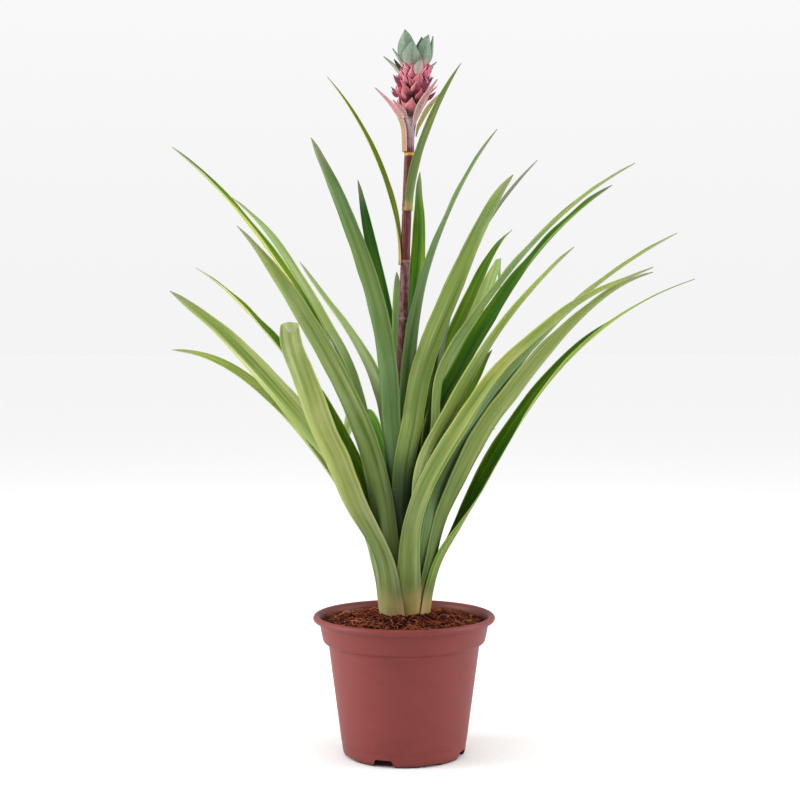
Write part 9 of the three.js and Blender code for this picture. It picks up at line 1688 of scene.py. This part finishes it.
# ---------------------------------------------------------------- bracts below the fruit
BRACTS = {
    "bract_left": ([[-0.6, -1.9, 396], [-0.8, -2, 404], [-1.4, -1.9, 412], [-4, -1.7, 419.2], [-8.5, -1.4, 426], [-13.6, -1.2, 432], [-19.2, -1.2, 437.8]], -150, [2.9, 2.9, 3, 3, 2.4, 1.4, 0.3], 0.42, (1, 0.55, 0)),
    "bract_right": ([[7.9, -0.6, 406], [9.4, -0.9, 411], [11.9, -0.9, 416], [15.4, -0.5, 422.2], [19.6, -0.1, 428.6], [24.2, 0.2, 434.6]], -28, [0.5, 2.2, 3, 2.9, 1.8, 0.3], 0.42, (1.6, 0, -0.1)),
    "bract_front_right": ([[6.4, -4.1, 412.6], [8.6, -6.6, 419], [12.6, -9.4, 427.2], [17.2, -10.6, 435], [21.6, -11.2, 441.4]], -58, [0.9, 2.7, 2.7, 1.7, 0.3], 0.4, (0.1, 0.3, 0.1)),
    "bract_front_left": ([[1.6, -5.3, 417], [-1.2, -7.9, 420.6], [-4, -9.7, 424], [-7.4, -10.9, 428.2]], -122, [0.9, 2.6, 1.9, 0.3], 0.4, (0, 0.9, 0.15)),
    "bract_back": ([[4, 4.3, 412.6], [3.6, 8.4, 419.4], [3, 12.6, 427.2], [2.4, 17.4, 435.6]], 93, [0.9, 2.9, 2.1, 0.3], 0.4, (0.4, 0.4, 0)),
}
for number, (node, (pts, az, halves, channel, tone)) in enumerate(BRACTS.items()):
    at, rows = blade_rows(pts, az, halves, channel, 0.75)
    s = Shape()
    strap(s, at, rows, 48, 15, 60 + number, tone, 0.25, 0.05, 0.5, 2.0)
    s.object(node + "_blade", [BRACT], "bract", [node])
    s_mesh = bpy.data.meshes[node + "_blade"]
    s_mesh.polygons.foreach_set("material_index", np.zeros(len(s_mesh.polygons), dtype=np.int32))

# ---------------------------------------------------------------- fruit
CORE = [(0, 418.9), (3.0, 418.9), (5.0, 421), (7.6, 425), (9.0, 431), (9.0, 438), (8.0, 444), (6.6, 449), (4.6, 452.2), (2.2, 453.8), (0, 453.8)]


def fruit_axis(z):
    return 4.2 + (z - 419) * 0.1


fruit = Shape()
core = [(max(0.0, r - (2.0 if r > 4 else 0.6)), z) for r, z in CORE]
ct = Shape()
fine = smooth_rows(np.arange(len(core)), np.array(core, float), np.linspace(0, len(core) - 1, 41))
fine[:, 0] = np.maximum(fine[:, 0], 0)
fine[0, 0] = fine[-1, 0] = 0
turned(ct, [tuple(p) for p in fine], 56)
pts = np.vstack(ct.points)
pts[:, 0] += fruit_axis(pts[:, 2])
bump_ = np.array([1 + 0.05 * noise.fractal(Vector(p) * 0.5, 1.0, 2.0, 3) for p in pts])
pts[:, 0] = fruit_axis(pts[:, 2]) + (pts[:, 0] - fruit_axis(pts[:, 2])) * bump_
pts[:, 1] *= bump_
fruit.put(pts, ct.faces, 1)
rf = random.Random(9)


def eye(az, z0, length, half, lean, thick=2.3, tone=(0, 0, 0), reach=0.0, turn=0.0, kind=0):
    """A fleshy pointed bract on the fruit: azimuth, height of its base, length, half width, how far the tip leans out."""
    a = math.radians(az)
    r0 = float(np.interp(z0, [q[1] for q in CORE[1:-1]], [q[0] for q in CORE[1:-1]])) - 2.2 + reach
    steps_ = [(r0 - 0.6, 0.0), (r0 + 1.7, 0.28), (r0 + 2.4 + lean * 0.35, 0.62), (r0 + 1.8 + lean * 0.8, 0.88), (r0 + 1.3 + lean, 1.0)]
    pts_ = []
    for rr, f in steps_:
        zz = z0 + f * length
        aa = a + math.radians(turn) * f * f
        pts_.append([fruit_axis(zz) + rr * math.cos(aa), rr * math.sin(aa), zz])
    at_, rows_ = blade_rows(pts_, az, [half * 0.62, half * 0.98, half * 0.92, half * 0.48, 0.22], 0.42, thick, 0.62)
    strap(fruit, at_, rows_, 26, 11, rf.randint(1, 900), tone, 0.3, 0.1, 0.45, 2.0, kinds=(kind, kind, kind))


ROWS = [
    (419.2, 6, -120, 10.4, 3.3, 0.2), (422.8, 8, -68, 10.6, 3.2, 0.9), (427.0, 8, -96, 10.8, 3.1, 1.2), (431.4, 9, -73, 10.8, 2.8, 1.4),
    (435.8, 9, -93, 10.6, 2.5, 1.6), (440.0, 9, -73, 10.4, 2.2, 1.5), (443.8, 8, -92, 10.0, 1.9, 1.4), (447.2, 6, -60, 8.6, 1.8, 1.0),
]
for n, (z0, count, start, length, half, lean) in enumerate(ROWS):
    for k in range(count):
        az = start + 360 / count * k + rf.uniform(-5, 5)
        if n < 3 and abs((az + 93 + 180) % 360 - 180) < (34, 26, 15)[n]:
            continue  # room for the broad bract at the foot
        magenta = (0.75 if n >= 5 else 0.35 if n >= 3 else 0.0) + rf.uniform(-0.15, 0.2)
        pale = rf.choice((0.0, 0.15, 0.3, 0.6))
        eye(az, z0 + rf.uniform(-1.1, 1.1), length * rf.uniform(0.86, 1.12), half * rf.uniform(0.86, 1.1), lean + rf.uniform(-0.6, 1.2), 2.2, (max(0, magenta), pale, rf.uniform(-0.55, 0.1)), turn=rf.uniform(-22, 22))
# small ones, uneven and sharp, push out between them
for k in range(54):
    z0, az = rf.uniform(422.5, 446.0), rf.uniform(0, 360)
    if z0 < 429 and abs((az + 93 + 180) % 360 - 180) < 30:
        continue
    deep = max(0.0, (z0 - 432) / 14) + rf.uniform(-0.2, 0.3)
    eye(az, z0, rf.uniform(5.6, 9.0), rf.uniform(1.0, 1.8), rf.uniform(1.8, 3.6), 1.2, (max(0, deep), rf.choice((0.0, 0.2, 0.7)), rf.uniform(-0.55, 0.15)), reach=rf.uniform(0.7, 1.5), turn=rf.uniform(-26, 26))
# the broad rounded bract at the foot of the fruit
eye(-93, 419.2, 11.6, 4.4, -0.8, 2.8, (0.0, 0.5, 0.0), reach=4.6, turn=3)
# narrow pointed bracts that stand out between them
for az, z0, length, half, lean, tone in [
    (-172, 429.5, 13.5, 1.9, 3.0, (0.1, 0.6, 0.1)), (-150, 421.0, 11.0, 2.6, 3.0, (0.0, 0.5, 0.1)), (-24, 426.5, 9.6, 2.1, 7.6, (0.3, 0.0, -0.45)),
    (-12, 429.5, 9.0, 1.9, 7.2, (0.3, 0.1, -0.4)), (140, 428.0, 11.0, 2.0, 3.4, (0.2, 0.3, -0.1)), (78, 431.0, 11.0, 2.0, 3.2, (0.2, 0.2, -0.1)),
    (30, 434.0, 10.5, 2.0, 3.6, (0.3, 0.1, -0.2)), (-138, 443.0, 10.0, 2.0, 1.6, (0.5, 0.5, 0.1)), (112, 441.5, 9.5, 2.0, 1.8, (0.6, 0.2, 0.0)),
    (-52, 443.0, 10.5, 2.4, 1.8, (0.9, 0.1, 0.05)), (-30, 441.5, 10.5, 2.3, 2.6, (0.9, 0.2, 0.1)), (172, 436.5, 10.0, 2.0, 2.6, (0.4, 0.2, 0.0)),
]:
    eye(az, z0, length, half, lean, 1.3, tone, reach=0.9, turn=rf.uniform(-8, 8))
# dark flower remains, pointed and slightly twisted
for foot, tip, fat in [
    ((-2.2, -4.8, 440.0), (-7.0, -5.6, 445.4), 1.6), ((-1.4, -5.6, 438.2), (-5.0, -6.6, 441.0), 1.1), ((11.2, -5.6, 437.4), (19.0, -6.6, 443.8), 1.6),
    ((10.4, -6.6, 438.2), (15.9, -8.0, 443.8), 1.5), ((10.8, -5.2, 435.2), (15.0, -6.4, 438.6), 1.4), ((-4.0, -4.6, 431.6), (-8.3, -5.2, 434.8), 1.0),
    ((-3.6, 3.2, 434.8), (-8.4, 4.6, 439.4), 1.4), ((12.4, 4.0, 433.8), (17.6, 6.2, 438.8), 1.5), ((4.4, 8.0, 436.8), (3.6, 13.4, 442.2), 1.5),
    ((9.6, 7.2, 430.2), (13.4, 11.6, 434.2), 1.4), ((-0.6, 7.0, 428.6), (-3.6, 11.8, 432.6), 1.4), ((8.2, 6.6, 441.6), (11.6, 10.2, 446.0), 1.3),
    ((14.2, -1.0, 430.6), (20.6, -1.8, 434.9), 1.5),
]:
    foot, tip = np.array(foot), np.array(tip)
    up = np.array([0, 0, 1.0])
    path = [foot + (tip - foot) * f - up * 0.9 * math.sin(math.pi * f) for f in np.linspace(0, 1, 14)]
    radii = [fat * w for w in np.interp(np.linspace(0, 1, 14), [0, 0.2, 0.5, 0.8, 1.0], [0.7, 0.95, 0.9, 0.45, 0.08])]
    tube(fruit, path, radii, 12, kind=2, seed=rf.randint(1, 99), lumps=lambda k, a, l: 1 + 0.16 * math.sin(3 * a + l * 0.35) + 0.06 * math.sin(7 * a - l * 0.5))
fruit.object("fruit_cone", [FRUIT, BERRY, FLOWER], "fruit", ["fruit"])

# ---------------------------------------------------------------- crown
CROWN = {
    "crown_scale_front": ([[4.2, -6.6, 450.2], [4.2, -8.7, 455.2], [4.5, -8.7, 460.2], [5.1, -7.3, 464.2], [5.7, -5.4, 467.7]], -92, [4, 6, 6.2, 3.6, 0.3], 0.4, (0, 0.1, 0.05)),
    "crown_scale_left": ([[0.8, -1.7, 453.6], [0.5, -3.5, 459.5], [0.4, -3.6, 465.5], [0.5, -2.8, 470.8], [0.5, -1.2, 475.4]], -115, [2.8, 5.6, 6, 4.2, 0.3], 0.36, (0.05, 0, 0.05)),
    "crown_scale_right": ([[12.2, -2.8, 451.8], [13.4, -4.1, 457.5], [13.9, -4.5, 462.5], [14.8, -3.9, 467.5], [16, -2.7, 471.7]], -68, [2.6, 4.9, 5, 3.4, 0.3], 0.36, (0, 0, 0.08)),
    "crown_scale_back_tall": ([[10, 3.4, 454.6], [11.2, 4.5, 463], [11.6, 3.7, 471.7]], 68, [2.4, 4.2, 0.3], 0.36, (0.5, 0, -0.1)),
    "crown_scale_low_front": ([[8.6, -9.5, 444.9], [9.3, -11.3, 448.2], [10.1, -11.6, 451.2], [11.3, -10.9, 454.6]], -80, [1.8, 3.5, 2.7, 0.3], 0.36, (0, 0.75, 0)),
    "crown_scale_thin_left": ([[-1.4, -3.2, 451.8], [-4.2, -4.4, 456.9], [-7.6, -5, 462.4]], -165, [1.8, 1.8, 0.3], 0.4, (0, 0.1, 0)),
    "crown_scale_low_left": ([[-3, -1.2, 446.4], [-7.4, -1.6, 451.9], [-13.4, -1.8, 457.9]], -175, [2.9, 2.3, 0.3], 0.4, (0, 0.35, 0.05)),
    "crown_scale_back_left_small": ([[-2.4, 3.8, 449.6], [-4.9, 4.8, 453.6], [-6.6, 5.2, 457.5]], 140, [2.4, 2.3, 0.3], 0.4, (0.7, 0, 0)),
    "crown_scale_low_right": ([[15.2, 0.6, 448], [17.9, 0.9, 451.4], [21.2, 0.9, 454.8]], 2, [2.4, 2, 0.3], 0.4, (0, 0.1, 0.08)),
    "crown_scale_back_left": ([[1.8, 3.4, 455], [-0.9, 4.6, 460.5], [-1.6, 4.4, 466]], 145, [2.4, 3.3, 0.3], 0.36, (0.6, 0, -0.1)),
    "crown_scale_back": ([[6.4, 7.8, 451], [6.4, 9.6, 459], [6.9, 7.6, 467.2]], 92, [3.4, 5.2, 0.3], 0.4, (0.1, 0.1, 0)),
    "crown_scale_back_right": ([[14.9, 3.6, 452.4], [17.9, 4.4, 458.5], [18.6, 4.4, 464.5], [18.9, 3.2, 472.2]], 8, [2.4, 3.7, 3.5, 0.3], 0.36, (0.1, 0.05, 0.1)),
}
for number, (node, (pts, az, halves, channel, tone)) in enumerate(CROWN.items()):
    at, rows = blade_rows(pts, az, halves, channel, 0.95, 0.3)
    s = Shape()
    strap(s, at, rows, 40, 17, 80 + number, tone, 0.18, 0.07, 0.5, 2.0)
    s.object(node + "_blade", [CROWN_IN, CROWN_OUT, CROWN_OUT], "crown", [node])

# ---------------------------------------------------------------- floor, light and camera
floor_mesh = bpy.data.meshes.new("studio_floor")
bm = bmesh.new()
n = 48
ring = [bm.verts.new((60.0 * math.cos(2 * math.pi * k / n), 60.0 * math.sin(2 * math.pi * k / n), 0.0)) for k in range(n)]
bm.faces.new(ring)
bm.to_mesh(floor_mesh)
bm.free()
floor = bpy.data.objects.new("studio_floor", floor_mesh)
bpy.context.scene.collection.objects.link(floor)
fm = Net("studio_paper")
grain = fm.noise(fm.place(), 300.0, 2.0)
floor_mesh.materials.append(fm.done(fm.ramp(grain, [(0.3, (0.86, 0.86, 0.86)), (0.7, (0.885, 0.885, 0.885))]), 0.9, Specular_IOR_Level=0.2))

world = bpy.data.worlds.new("studio")
bpy.context.scene.world = world
world.use_nodes = True
tree = world.node_tree
sky = tree.nodes["Background"]
sky.inputs["Color"].default_value = (1.0, 1.0, 1.0, 1.0)


def world_step(x, lo, hi, a, b):
    n = tree.nodes.new("ShaderNodeMapRange")
    n.interpolation_type, n.clamp = "SMOOTHSTEP", True
    tree.links.new(x, n.inputs[0])
    for s, v in zip(n.inputs[1:5], (lo, hi, a, b)):
        if isinstance(v, bpy.types.NodeSocket):
            tree.links.new(v, s)
        else:
            s.default_value = v
    return n.outputs[0]


# an even pale surround: brighter overhead, darker on the side the view is taken from
towards = tree.nodes.new("ShaderNodeSeparateXYZ")
tree.links.new(tree.nodes.new("ShaderNodeTexCoord").outputs["Generated"], towards.inputs[0])
level = world_step(towards.outputs[1], -0.25, 0.55, 0.42, 0.905)
# close to the horizon it is equally pale all the way round
band = world_step(towards.outputs[2], 0.12, 0.24, 0.905, 0.0)
pale = tree.nodes.new("ShaderNodeMath")
pale.operation = "MAXIMUM"
tree.links.new(world_step(towards.outputs[2], 0.0, 0.75, level, 1.12), pale.inputs[0])
tree.links.new(band, pale.inputs[1])
tree.links.new(pale.outputs[0], sky.inputs["Strength"])


def soft_box(name, place, aim, size, watts, tall=1.0, colour=(1, 1, 1)):
    light = bpy.data.lights.new(name, "AREA")
    light.shape, light.size, light.size_y = "RECTANGLE", size, size * tall
    light.energy, light.color = watts, colour
    o = bpy.data.objects.new(name, light)
    o.location = place
    o.rotation_euler = (Vector(aim) - Vector(place)).to_track_quat("-Z", "Y").to_euler()
    bpy.context.scene.collection.objects.link(o)


soft_box("box_left", (-1.35, -0.18, 0.5), (0, 0, 0.2), 0.8, 21.0, 1.5)
soft_box("box_right", (1.35, -0.12, 0.5), (0, 0, 0.2), 0.8, 15.0, 1.5)
soft_box("box_top", (-0.15, -0.35, 1.6), (0, 0, 0.2), 1.0, 5.0)

scene = bpy.context.scene
scene.view_settings.view_transform = "Standard"
scene.view_settings.look = "None"
cam = bpy.data.cameras.new("camera")
cam.lens, cam.sensor_width, cam.clip_end = 68.445, 36.0, 200.0
camera = bpy.data.objects.new("camera", cam)
camera.location = (-0.0027, -1.0, 0.268)
camera.rotation_euler = (math.radians(90 - 1.96), 0, 0)
bpy.context.scene.collection.objects.link(camera)
scene.camera = camera
